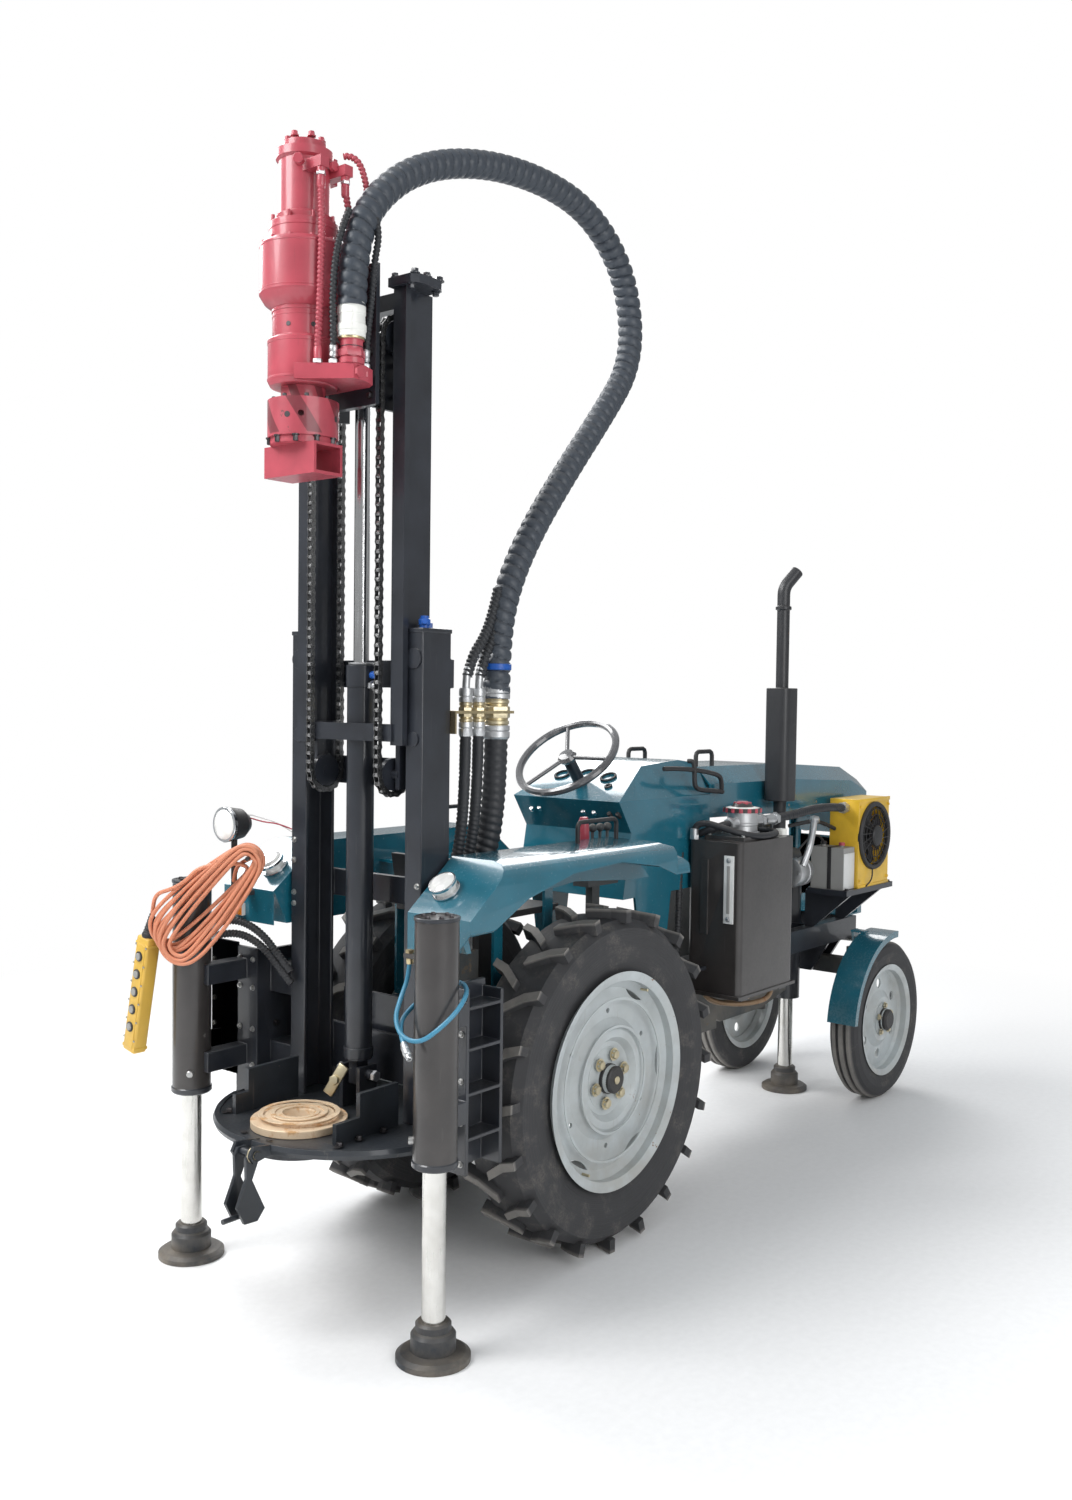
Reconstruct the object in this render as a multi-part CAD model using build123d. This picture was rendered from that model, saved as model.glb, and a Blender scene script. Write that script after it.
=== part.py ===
from build123d import *
import math
import os

os.makedirs("parts", exist_ok=True)

# Millimetres, X forward, Y to the left, Z up. Places along X are given from the
# rear axle, and every piece is moved by AXLE_X when it is written out.

# Named clearances
RUN_GAP = 6.0          # between sliding or turning pieces
SEAT_GAP = 0.3         # between pieces that sit on each other
PIN_GAP = 0.4          # between a pin and its eye

# Wheels
WHEELBASE = 2050.0
REAR_R = 520.0
REAR_TYRE_WIDTH = 216.0
REAR_TRACK = 710.0
REAR_WALL = 188.0
REAR_RIM_R = REAR_R - REAR_WALL
LUG_HEIGHT = 26.0
LUGS_A_SIDE = 20
FRONT_R = 330.0
FRONT_TYRE_WIDTH = 116.0
FRONT_TRACK = 670.0
FRONT_WALL = 96.0
FRONT_RIM_R = FRONT_R - FRONT_WALL
REAR_SEAT_DROP = 24.0
HUB_REACH = 128.0
FRONT_SEAT_DROP = 18.0
RIM_WALL = 6.0

# Chassis
RAIL_Y = 165.0
RAIL_WIDTH = 50.0
RAIL_BOTTOM = 650.0
RAIL_TOP = 740.0
RAIL_REAR = -530.0
RAIL_FRONT = WHEELBASE + 100.0
KINGPIN_Y = 225.0
KINGPIN_R = 16.0
AXLE_BEAM_Z = 535.0
CASE_TOP = 640.0
STEER_ARM = 120.0

# Places ahead of the driver, as shares of the wheelbase or from the front axle
ENGINE_X = (0.527 * WHEELBASE, 0.829 * WHEELBASE)
TANK_X = (0.3463 * WHEELBASE, 0.5317 * WHEELBASE)
TANK_BASE_Z = 644.0
TANK_TOP = 1186.0
EXHAUST_X = 0.6293 * WHEELBASE
COOLER_X = (WHEELBASE - 260.0, WHEELBASE + 25.0)
COOLER_Y = (-365.0, -235.0)
FAN_X = WHEELBASE - 120.0
SHELF_X = (WHEELBASE - 372.0, WHEELBASE + 60.0)
EXHAUST_Y = -275.0

# Driver's place
STEER_X = 310.0
STEER_Z = 1476.0
STEER_R = 190.0
COLUMN_TILT = 40.0
STEER_HUB_DROP = 14.0
SEAT_HALF = 190.0

# Rear fenders: sheet, inner side, fold, outer lip, top and the rear edge's place
FENDER_SHEET = 5.0
FENDER_INNER_Y = 275.0
FENDER_FOLD_Y = 425.0
FENDER_LIP_Y = 500.0
FENDER_TOP = 1236.0
FENDER_REAR = (-735.0, 1100.0)
FENDER_BEND_X = -560.0
FENDER_LAMP_X = -663.0

# Bonnet and nose
BONNET_REAR_X = 872.0
BONNET_END_X = WHEELBASE + 200.0
BONNET_END_LOW = 1200.0
NOSE_X = WHEELBASE + 186.0
LID_PIN_X = WHEELBASE + 208.0
LID_PIN_R = 5.0

# Drill line and mast
DRILL_X = -870.0
OUTER_X = (-675.0, -562.0)
OUTER_Y = (202.0, 264.0)
OUTER_TOP = 1858.0
OUTER_WALL = 10.0
INNER_X = (-680.0, -578.0)
INNER_Y = (167.0, 196.0)
INNER_FLANGE_Y = 213.0
INNER_FLANGE = 19.0
INNER_WALL = 14.0
WEB = 10.0
ROLLER_GAP = 1.0
INNER_BOTTOM = 1542.0
INNER_TOP = 2775.0
CHAIN_Y = 137.0
CHAIN_PITCH = 25.4
CHAIN_RUN_PITCHES = 47
CHAIN_TURN_PITCHES = 7
CHAIN_LOW_Z = 1460.0
CHAIN_X = -660.0
CHAIN_WIDTH = 22.0
CYLINDER_X = -650.0
BARREL_R = 39.0
BARREL_Z = (640.0, 1763.0)
ROD_R = 22.0
ROD_FOOT = 1440.0

# Drill table
TABLE_X = -650.0
TABLE_R = 400.0
TABLE_TOP = 500.0
TABLE_THICK = 16.0
BUSH_R = 132.0
BUSH_BORE_R = 45.0
BUSH_TOP = 533.0

# Outrigger legs
LEG_X = -856.0
LEG_Y = 496.0
TUBE_R = 56.5
TUBE_Z = (496.0, 1127.0)
LEG_ROD_R = 31.0
FOOT_R = 96.0
FOOT_HEIGHT = 100.0
FRONT_LEG_X = WHEELBASE - 170.0
FRONT_TUBE_Z = (400.0, 900.0)

# Power head
HEAD_TOP = 3149.0
CARRIAGE_Z = (2460.0, 2836.0)
CARRIAGE_X = (-750.0, -736.0)
CARRIAGE_Y = 152.0
SWIVEL_X = -852.0
SWIVEL_Y = -166.0
ELBOW_TOP = 2604.0
COUPLING_TOP = 2690.0

# Hinged bracket on the table's rim
BRACKET_X = TABLE_X - TABLE_R - 38.0
BRACKET_Y = -45.0
BRACKET_Z = 488.0
BRACKET_REACH = 77.0

# The frame's origin is under the middle of the whole length
FRONT_END = WHEELBASE + FRONT_R
REAR_END = BRACKET_X - BRACKET_REACH
AXLE_X = -(FRONT_END + REAR_END) / 2

pieces = {}
ARM_TOP = 2540.0
MOTOR_PORT_Z = 3062.0
MOTOR_PORT_Y = -104.0
# columns: places along X of the motor's ports
MOTOR_PORTS = [-905.0, -820.0]

# Hoses and cables
AIR_LINE_D = 12.0
MANIFOLD_TOP = 935.0
MANIFOLD_Y = -150.0
LAMP_AT = (-800.0, 372.0, 1296.0)
COIL_MIDDLE = (-890.0, 370.0, 1080.0)
COIL_HALF_LENGTH = 205.0
COIL_HALF_WIDTH = 62.0
COIL_SECTION = 20.0
COIL_LONG = Vector(-0.352, 0.590, -0.727)
COIL_WIDE = Vector(-0.436, 0.584, 0.685)
COIL_PEG_R = 6.0
PENDANT_TOP = (-956.0, 566.0, 962.0)
PENDANT_TILT = 12.0


def spot(axis, along, pair):
    """A point from a place along an axis and a pair across it."""
    a, b = pair
    return {"x": (along, a, b), "y": (a, along, b), "z": (a, b, along)}[axis]


def prism(axis, start, stop, pairs):
    """A closed outline across an axis, extruded along it."""
    outline = Polyline(*[spot(axis, start, pair) for pair in pairs], close=True)
    way = {"x": (1, 0, 0), "y": (0, 1, 0), "z": (0, 0, 1)}[axis]
    return extrude(make_face(outline), amount=stop - start, dir=way)


def rod(axis, start, stop, pair, radius):
    """A round bar along an axis."""
    turn = {"x": (0, 90, 0), "y": (90, 0, 0), "z": (0, 0, 0)}[axis]
    middle = spot(axis, (start + stop) / 2, pair)
    return Pos(*middle) * Rot(*turn) * Cylinder(radius, abs(stop - start))


def block(x, y, z):
    """A box from three pairs of limits."""
    size = (x[1] - x[0], y[1] - y[0], z[1] - z[0])
    return Pos(sum(x) / 2, sum(y) / 2, sum(z) / 2) * Box(*size)


def turned(axis, pair, profile):
    """A profile of (radius, place along the axis), turned about an axis."""
    flat = {"x": lambda r, a: (a, r, 0), "y": lambda r, a: (r, a, 0), "z": lambda r, a: (r, 0, a)}[axis]
    face = make_face(Polyline(*[flat(r, a) for r, a in profile], close=True))
    about = {"x": Axis.X, "y": Axis.Y, "z": Axis.Z}[axis]
    return Pos(*spot(axis, 0, pair)) * revolve(face, axis=about)


def around(count, axis, pair, shape, start=0.0):
    """Copies of a shape turned about an axis line."""
    turns = {"x": (1, 0, 0), "y": (0, 1, 0), "z": (0, 0, 1)}[axis]
    place = Pos(*spot(axis, 0, pair))
    copies = []
    for i in range(count):
        angle = start + 360.0 * i / count
        copies.append(place * Rot(*[t * angle for t in turns]) * place.inverse() * shape)
    return copies


def fused(*shapes):
    """Shapes joined in one solid."""
    return shapes[0].fuse(*shapes[1:]) if len(shapes) > 1 else shapes[0]


def apart(*shapes):
    """Solids kept apart in one node."""
    solids = []
    for shape in shapes:
        solids.extend(shape.solids())
    return Compound(solids)


def mirrored(shape):
    """The same shape on the other side."""
    return mirror(shape, Plane.XZ)


def both(name, left):
    """A left piece and its mirrored right one."""
    pieces[name + "_left"] = left
    pieces[name + "_right"] = mirrored(left)


# Wheels and tyres

def rim(x, z, middle_y, width, flange_r, seat_drop, well_drop):
    """A rim's turned section, open in the middle."""
    half = width / 2
    seat = flange_r - seat_drop
    well = seat - well_drop
    outer = [(flange_r, -half), (seat, -half + 8), (seat, -half + 34), (well, -half + 50),
             (well, half - 50), (seat, half - 34), (seat, half - 8), (flange_r, half)]
    inner = [(r - RIM_WALL, a) for r, a in reversed(outer)]
    return turned("y", (x, z), [(r, a + middle_y) for r, a in outer + inner])


def tyre_body(x, z, middle_y, width, outer_r, rim_r, bore_r, crown):
    """A tyre's turned section without its tread bars."""
    half = width / 2
    profile = [(bore_r, -half * 0.72), (rim_r + 6, -half * 0.80), ((rim_r + outer_r) / 2 - 4, -half),
               (outer_r - crown * 2.2, -half * 0.96), (outer_r - crown * 0.5, -half * 0.72),
               (outer_r, 0), (outer_r - crown * 0.5, half * 0.72), (outer_r - crown * 2.2, half * 0.96),
               ((rim_r + outer_r) / 2 - 4, half), (rim_r + 6, half * 0.80), (bore_r, half * 0.72)]
    return turned("y", (x, z), [(r, a + middle_y) for r, a in profile])


def rear_tyre():
    """The driven tyre with its two rows of slanted lugs."""
    y = REAR_TRACK / 2
    body = tyre_body(0, REAR_R, y, REAR_TYRE_WIDTH, REAR_R - LUG_HEIGHT, REAR_RIM_R,
                      REAR_RIM_R - REAR_SEAT_DROP + SEAT_GAP, 14)
    half = REAR_TYRE_WIDTH / 2
    step = 360.0 / LUGS_A_SIDE
    reach = 43.0
    crown = math.sqrt(REAR_R ** 2 - reach ** 2)
    # columns: place across the tread, place along it
    lug = [(-4, -reach), (half * 0.55, 1), (half * 0.98, 17), (half * 0.98, reach), (half * 0.5, 27), (-4, -15)]
    shapes = [body]
    for side in (1, -1):
        base = REAR_R - LUG_HEIGHT - 16
        bar = prism("z", base, crown, [(along, side * across) for across, along in lug])
        placed = Pos(0, y, 0) * bar
        turn = 0.0 if side > 0 else step / 2
        for one in around(LUGS_A_SIDE, "y", (0, 0), placed, turn):
            shapes.append(Pos(0, 0, REAR_R) * one)
    return fused(*shapes)


def rear_wheel():
    """The driven rim with its scalloped disc, hub and nuts' seats."""
    y = REAR_TRACK / 2
    face = y + REAR_TYRE_WIDTH / 2 - 28
    hoop = rim(0, REAR_R, y, REAR_TYRE_WIDTH - 8, REAR_RIM_R, REAR_SEAT_DROP, 26)
    reach = REAR_RIM_R - REAR_SEAT_DROP - RIM_WALL
    disc = turned("y", (0, REAR_R), [(40, face - 26), (112, face - 26), (128, face - 6), (150, face - 6),
                                     (186, face - 26), (reach + 3, face - 26), (reach + 3, face - 34),
                                     (182, face - 34), (146, face - 14), (132, face - 14), (118, face - 34),
                                     (40, face - 34)])
    notch = Pos(0, face - 30, REAR_R + reach + 70) * Rot(90, 0, 0) * Cylinder(112, 40)
    hole = rod("y", face - 50, face, (0, REAR_R + reach - 94), 8)
    disc = disc.cut(*around(6, "y", (0, REAR_R), notch, 30), *around(6, "y", (0, REAR_R), hole))
    hub = turned("y", (0, REAR_R), [(0, y - HUB_REACH), (62, y - HUB_REACH), (62, face - 34.5), (96, face - 34.5),
                                    (96, face - 25), (46, face - 25), (40, face + 8), (0, face + 12)])
    nuts = around(6, "y", (0, REAR_R), rod("y", face - 28, face - 8, (0, REAR_R + 74), 13), 15)
    return fused(hoop, disc, hub, *nuts)


def front_wheel():
    """The steered rim with its holed disc and hub."""
    y = FRONT_TRACK / 2
    face = y + FRONT_TYRE_WIDTH / 2 - 26
    x = WHEELBASE
    hoop = rim(x, FRONT_R, y, FRONT_TYRE_WIDTH - 6, FRONT_RIM_R, FRONT_SEAT_DROP, 14)
    reach = FRONT_RIM_R - FRONT_SEAT_DROP - 14 - RIM_WALL
    disc = turned("y", (x, FRONT_R), [(30, face), (92, face), (120, face - 18), (reach + 4, face - 22),
                                      (reach + 4, face - 30), (116, face - 26), (88, face - 8),
                                      (30, face - 8)])
    slot = rod("y", face - 60, face + 20, (x, FRONT_R + 150), 20)
    disc = disc.cut(*around(6, "y", (x, FRONT_R), slot))
    hub = turned("y", (x, FRONT_R), [(KINGPIN_R + PIN_GAP + 4, y - 34), (52, y - 34), (52, face - 8.5),
                                     (72, face - 8.5), (72, face + 4), (46, face + 4), (42, face + 26),
                                     (0, face + 34), (0, y + 12), (KINGPIN_R + PIN_GAP + 4, y + 12)])
    nuts = around(5, "y", (x, FRONT_R), rod("y", face, face + 14, (x, FRONT_R + 60), 9))
    return fused(hoop, disc, hub, *nuts)


def front_tyre():
    """The steered tyre with three round ribs."""
    y = FRONT_TRACK / 2
    half = FRONT_TYRE_WIDTH / 2
    r = FRONT_R
    rim_r = FRONT_RIM_R
    side = [(rim_r - FRONT_SEAT_DROP + SEAT_GAP, half * 0.78), (rim_r + 8, half * 0.9), ((rim_r + r) / 2, half),
            (r - 20, half * 0.92), (r - 8, half * 0.72), (r - 2, half * 0.62), (r - 2, half * 0.42),
            (r - 11, half * 0.38), (r - 11, half * 0.2), (r, half * 0.14)]
    profile = [(a, -b) for a, b in side] + [(a, b) for a, b in reversed(side)]
    return turned("y", (WHEELBASE, FRONT_R), [(a, b + y) for a, b in profile])


both("rear_tyre", rear_tyre())
both("rear_wheel", rear_wheel())
both("front_tyre", front_tyre())
both("front_wheel", front_wheel())


# Legs

def rail(points, radius):
    """A bent bar along a path with round corners."""
    line = FilletPolyline(*points, radius=18)
    way = (Vector(*points[1]) - Vector(*points[0])).normalized()
    return sweep(Plane(origin=points[0], z_dir=tuple(way)) * Circle(radius), path=line)


def leg(x, y):
    """A sliding leg: bright rod and stepped foot."""
    profile = [(0, 0), (FOOT_R, 0), (FOOT_R, 14), (FOOT_R - 12, 22), (58, 26), (58, 66), (52, 74), (46, 78),
               (46, FOOT_HEIGHT - 6), (40, FOOT_HEIGHT), (LEG_ROD_R, FOOT_HEIGHT), (LEG_ROD_R, 700), (0, 700)]
    return turned("z", (x, y), profile)


def tube(x, y, low, high):
    """A leg's outer tube, closed by a thin cap."""
    body = rod("z", low, high, (x, y), TUBE_R) - rod("z", low - 1, high - 12, (x, y), LEG_ROD_R + PIN_GAP + 10)
    gland = rod("z", low, low + 60, (x, y), TUBE_R) - rod("z", low - 1, low + 61, (x, y), LEG_ROD_R + PIN_GAP)
    return fused(body, gland)


# Chassis

def frame_rails():
    """Two long rails with cross plates."""
    inner = RAIL_Y - RAIL_WIDTH / 2
    outer = RAIL_Y + RAIL_WIDTH / 2
    left = block((RAIL_REAR, RAIL_FRONT), (inner, outer), (RAIL_BOTTOM, RAIL_TOP))
    left = left - block((RAIL_REAR - 1, RAIL_FRONT + 1), (inner + 8, outer - 8), (RAIL_BOTTOM + 8, RAIL_TOP - 8))
    # columns: rear face, front face, bottom, top
    crosses = [(RAIL_REAR, RAIL_REAR + 14, RAIL_BOTTOM - 90, RAIL_TOP + 60),
               (FRONT_LEG_X - 100, FRONT_LEG_X - 88, RAIL_BOTTOM, RAIL_TOP),
               (RAIL_FRONT - 14, RAIL_FRONT, RAIL_BOTTOM, RAIL_TOP)]
    shapes = [left, mirrored(left)]
    for x, reach in ((-120, 100), (ENGINE_X[0] - 130, 110)):
        foot = block((x, x + 80), (reach, outer - 4), (CASE_TOP + SEAT_GAP, RAIL_BOTTOM + 1))
        shapes.extend([foot, mirrored(foot)])
    for rear, front, low, high in crosses:
        shapes.append(block((rear, front), (-outer, outer), (low, high)))
    return fused(*shapes)


def gearbox():
    """The gearbox and the rear axle's housings."""
    flange = REAR_TRACK / 2 - 140
    middle = prism("y", -120, 120, [(-190, 400), (-190, 600), (-150, CASE_TOP), (420, CASE_TOP), (460, 600), (460, 430),
                                    (380, 380), (-120, 370)])
    front = ENGINE_X[0] - SEAT_GAP
    bell = prism("z", 430, CASE_TOP, [(460, -105), (460, 105), (front - 180, 140), (front, 140), (front, -140),
                                     (front - 180, -140)])
    end = REAR_TRACK / 2 - HUB_REACH - PIN_GAP
    tube = turned("y", (0, REAR_R), [(0, 0), (100, 0), (100, 128), (64, 150), (52, flange), (44, flange), (44, end),
                                     (0, end)])
    return fused(middle, bell, tube, mirrored(tube))


def engine():
    """The open engine as its own stepped masses."""
    x = ENGINE_X
    sump = prism("y", -95, 95, [(x[0], 480), (x[0], 640), (x[1], 640), (x[1], 470), (x[1] - 200, 430),
                                (x[0] + 100, 430)])
    block_low = block(x, (-112, 112), (600, 960))
    head = block((x[0] + 70, x[1] - 60), (-100, 100), (960, 1120))
    cover = block((x[0] + 90, x[1] - 80), (-60, 60), (1120, 1175))
    shapes = [sump, block_low, head, cover]
    for i in range(3):
        shapes.append(rod("y", -165, -90, (x[0] + 150 + 0.266 * (x[1] - x[0]) * i, 1045), 30))
    shapes.append(rod("x", x[0] + 100, x[1] - 80, (-165, 1045), 34))
    shapes.append(rod("x", x[1], x[1] + 45, (0, 760), 95))
    shapes.append(rod("z", 830, 1000, (x[1] - 220, -150), 42))
    shapes.append(block((x[1] - 260, x[1] - 180), (-152, -100), (880, 950)))
    return fused(*shapes)


def front_axle():
    """The front axle beam with its kingpin tubes and its pivot."""
    x = WHEELBASE
    beam = block((x - 26, x + 26), (-KINGPIN_Y, KINGPIN_Y), (AXLE_BEAM_Z - 35, AXLE_BEAM_Z + 35))
    shapes = [beam]
    for side in (1, -1):
        shapes.append(rod("z", AXLE_BEAM_Z - 60, AXLE_BEAM_Z + 60, (x, side * KINGPIN_Y), 27))
    shapes.append(rod("x", x - 45, x + 45, (0, AXLE_BEAM_Z + 20), 40))
    body = fused(*shapes)
    for side in (1, -1):
        body = body - rod("z", AXLE_BEAM_Z - 90, AXLE_BEAM_Z + 90, (x, side * KINGPIN_Y), KINGPIN_R + PIN_GAP)
    return body - rod("x", x - 60, x + 60, (0, AXLE_BEAM_Z + 20), 18 + PIN_GAP)


def axle_carrier():
    """Two plates that hang the front axle's pivot under the rails."""
    shapes = []
    low = AXLE_BEAM_Z - 30
    for x0 in (WHEELBASE - 62, WHEELBASE + 46):
        plate = prism("x", x0, x0 + 16, [(-150, RAIL_BOTTOM + 1), (150, RAIL_BOTTOM + 1), (60, low), (-60, low)])
        shapes.append(plate)
    pin = rod("x", WHEELBASE - 62, WHEELBASE + 62, (0, AXLE_BEAM_Z + 20), 18)
    top = block((WHEELBASE - 62, WHEELBASE + 62), (-150, 150), (RAIL_BOTTOM - 12, RAIL_BOTTOM + 1))
    return fused(*shapes, pin, top)


def knuckle():
    """A steering knuckle: kingpin, stub axle, arm and the fender's stay."""
    x = WHEELBASE
    y = KINGPIN_Y
    pin = rod("z", FRONT_R - 40, AXLE_BEAM_Z + 76, (x, y), KINGPIN_R)
    shoulder = rod("z", FRONT_R - 46, AXLE_BEAM_Z - 60 - SEAT_GAP, (x, y), 28)
    cap = rod("z", AXLE_BEAM_Z + 60 + SEAT_GAP, AXLE_BEAM_Z + 84, (x, y), 27)
    stub = rod("y", y, FRONT_TRACK / 2 + 10, (x, FRONT_R), KINGPIN_R + 4)
    arm = prism("z", AXLE_BEAM_Z + 64, AXLE_BEAM_Z + 80, [(x, y - 20), (x + STEER_ARM, y - 16),
                                                          (x + STEER_ARM + 16, y), (x + STEER_ARM, y + 16),
                                                          (x, y + 20)])
    return fused(pin, shoulder, cap, stub, arm)


def tie_rod():
    """The rod that joins the two steering arms."""
    x = WHEELBASE + STEER_ARM
    z = AXLE_BEAM_Z + 96
    shapes = [rod("y", -KINGPIN_Y, KINGPIN_Y, (x, z), 11)]
    for side in (1, -1):
        shapes.append(rod("z", AXLE_BEAM_Z + 80 + PIN_GAP, z + 12, (x, side * KINGPIN_Y), 16))
    return fused(*shapes)


pieces["gearbox"] = gearbox()
pieces["engine"] = engine()
pieces["front_axle"] = front_axle()
both("knuckle", knuckle())
pieces["tie_rod"] = tie_rod()


# Fenders and body



def fender_outline(drop):
    """The fender's upper outline from its rear edge to its front tip."""
    return [(FENDER_REAR[0] + drop * 0.8, FENDER_REAR[1] - drop), (FENDER_BEND_X, FENDER_TOP - drop),
            (168, FENDER_TOP - drop), (236, FENDER_TOP - 20 - drop), (308, FENDER_TOP - 74 - drop),
            (372, FENDER_TOP - 121 - drop), (412 - drop, FENDER_TOP - 152 - drop)]


def rear_fender():
    """A pressed fender: flat top, sloped skirt and rear apron."""
    low = 900.0

    def mound(drop):
        top = fender_outline(drop)
        side = [(top[0][0], low)] + top + [(top[-1][0], low)]
        body = prism("y", FENDER_INNER_Y - 1 + drop * 0.2, FENDER_LIP_Y - drop, side)
        slopes = []
        # columns: place along X where it starts and stops, the fender's top there
        for start, stop, fall in ((-800, 236, 0), (236, 308, 40), (308, 500, 92)):
            fold = FENDER_FOLD_Y - drop * 0.6
            lip = FENDER_LIP_Y - drop
            z = FENDER_TOP - fall - drop
            slopes.append(prism("x", start, stop, [(fold, z + 60), (fold, z), (fold + 34, z - 6), (lip - 16, z - 20),
                                                   (lip - 4, z - 38), (lip, z - 60), (lip + 60, z - 130),
                                                   (lip + 60, z + 60)]))
        return body.cut(*slopes)

    shell = mound(0) - (Pos(0, -10, 0) * mound(FENDER_SHEET)) - mound(FENDER_SHEET)
    arch = [(-660, 800), (-640, 1062), (-500, 1132), (-300, 1182), (-60, 1194), (130, 1166), (230, 1130), (300, 1092),
            (412, 1062), (470, 1040), (470, 800)]
    shell = shell - prism("y", FENDER_INNER_Y + 8, FENDER_LIP_Y + 20, arch)
    shell = shell - prism("y", 200, FENDER_LIP_Y + 20, [(-600, 800), (-600, 1040), (-420, 1130), (500, 1130),
                                                        (500, 800)])
    apron = prism("y", FENDER_INNER_Y, FENDER_LIP_Y - 60, [(-729, 1095), (-700, 1110), (-636, 922), (-643, 922)])
    panel = prism("y", FENDER_INNER_Y, FENDER_INNER_Y + FENDER_SHEET,
                  [(-729, 1097), (-560, FENDER_TOP - 2), (168, FENDER_TOP - 2), (236, FENDER_TOP - 22),
                   (308, FENDER_TOP - 76), (372, FENDER_TOP - 123), (404, FENDER_TOP - 150), (300, 1086),
                   (0, 1110), (-300, 1086), (-440, 1010), (-540, 922), (-643, 922)])
    stays = []
    for x in (-300, -60):
        inner = SEAT_HALF + RUN_GAP
        stays.append(block((x, x + 40), (inner, inner + 10), (RAIL_TOP + SEAT_GAP, 1160)))
        stays.append(block((x, x + 40), (RAIL_Y, inner + 10), (RAIL_TOP + SEAT_GAP, RAIL_TOP + 12)))
        stays.append(block((x, x + 40), (inner, FENDER_INNER_Y + 1), (1150, 1160)))
    return fused(shell, apron, panel, *stays)


def front_fender():
    """A round fender on its stay, turning with its wheel."""
    gap = 46
    r = FRONT_R + gap
    x = WHEELBASE
    z = FRONT_R
    band = turned("y", (x, z), [(r, 300), (r + 4, 300), (r + 4, 424), (r - 22, 424), (r - 22, 420), (r, 420)])
    sector = prism("y", 200, 500, [(x - 20, z), (x - 600, z + 70), (x - 600, z + 600), (x + 40, z + 600)])
    band = band & sector
    stay = prism("y", 258, 268, [(x - 60, AXLE_BEAM_Z + 62), (x + 30, AXLE_BEAM_Z + 62), (x - 40, z + r + 3),
                                 (x - 90, z + r + 3)])
    shelf = prism("x", x - 90, x - 50, [(258, z + r + 3), (258, z + r - 6), (320, z + r - 6), (320, z + r + 3)])
    foot = block((x - 20, x + 20), (KINGPIN_Y + 10, 258 - SEAT_GAP), (AXLE_BEAM_Z + 62, AXLE_BEAM_Z + 78))
    return fused(band, stay, shelf), foot


fender_band, stay_foot = front_fender()
pieces["knuckle_left"] = fused(pieces["knuckle_left"], stay_foot)
pieces["knuckle_right"] = mirrored(pieces["knuckle_left"])
pieces["rear_fenders"] = apart(rear_fender(), mirrored(rear_fender()))
both("front_fender", fender_band)


def bonnet():
    """The engine's cover, a thin shell lofted from rounded sections."""
    def section(x, half, low, high, corner):
        """One section's outline at a place along the length."""
        pts = [(x, -half, low), (x, -half, high - corner), (x, -half + corner, high), (x, half - corner, high),
               (x, half, high - corner), (x, half, low)]
        return make_face(Polyline(*pts, close=True))

    # columns: place, half width, lower edge, top, corner
    length = BONNET_END_X - BONNET_REAR_X
    table = [(BONNET_REAR_X, 222, 1250, 1432, 62), (BONNET_REAR_X + 0.456 * length, 212, 1232, 1424, 60),
             (BONNET_REAR_X + 0.855 * length, 200, 1205, 1392, 56),
             (BONNET_END_X, 178, BONNET_END_LOW, 1330, 50)]
    outer = loft([section(*row) for row in table], ruled=True)
    inner = loft([section(x - 5 if x == BONNET_END_X else x - 1, h - 6, lo - 1, hi - 6, c - 3)
                  for x, h, lo, hi, c in table], ruled=True)
    shell = outer - inner - block((BONNET_END_X - 20, BONNET_END_X + 10), (-38, 38),
                                  (BONNET_END_LOW - 10, BONNET_END_LOW + 24))
    low = BONNET_END_LOW
    outline = [(BONNET_END_X - 5, low + 22), (BONNET_END_X - 5, low + 42), (BONNET_END_X, low + 42),
               (LID_PIN_X + 9, low + 5), (LID_PIN_X + 9, low - 7), (LID_PIN_X - 8, low - 7)]
    lugs = [prism("y", a, b, outline) for a, b in ((-18, -4), (4, 18))]
    eye = rod("y", -30, 30, (LID_PIN_X, low), LID_PIN_R + PIN_GAP)
    cover = fused(shell, *lugs) - eye
    bars = [rail([(885, y, 1432.3), (885, y, 1485), (995, y, 1485), (995, y, 1431)], 6) for y in (-150, 150)]
    return apart(cover, *bars)


def nose():
    """The front panel with its slotted grille."""
    x = NOSE_X
    top = BONNET_END_LOW - SEAT_GAP
    panel = block((x - 40, x), (-172, 172), (RAIL_TOP + SEAT_GAP, top))
    panel = panel - block((x - 41, x - 8), (-164, 164), (700, top - 8))
    foot = block((x - 140, x - 8), (-172, 172), (RAIL_TOP + SEAT_GAP, RAIL_TOP + 6))
    ear = [(x - 1, top - 30), (LID_PIN_X + 8, top - 24), (LID_PIN_X + 8, top + 8), (LID_PIN_X - 6, top + 8),
           (LID_PIN_X - 6, top - 10), (x - 1, top - 10)]
    ears = [prism("y", a, b, ear) for a, b in ((-32, -20), (20, 32))]
    pin = rod("y", -32, 32, (LID_PIN_X, BONNET_END_LOW), LID_PIN_R)
    panel = fused(panel, foot, *ears, pin)
    shapes = []
    for i in range(9):
        z = 800 + 34 * i
        shapes.append(block((x - 30, x + 5), (-130, 130), (z, z + 16)))
    return panel.cut(*shapes)


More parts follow.
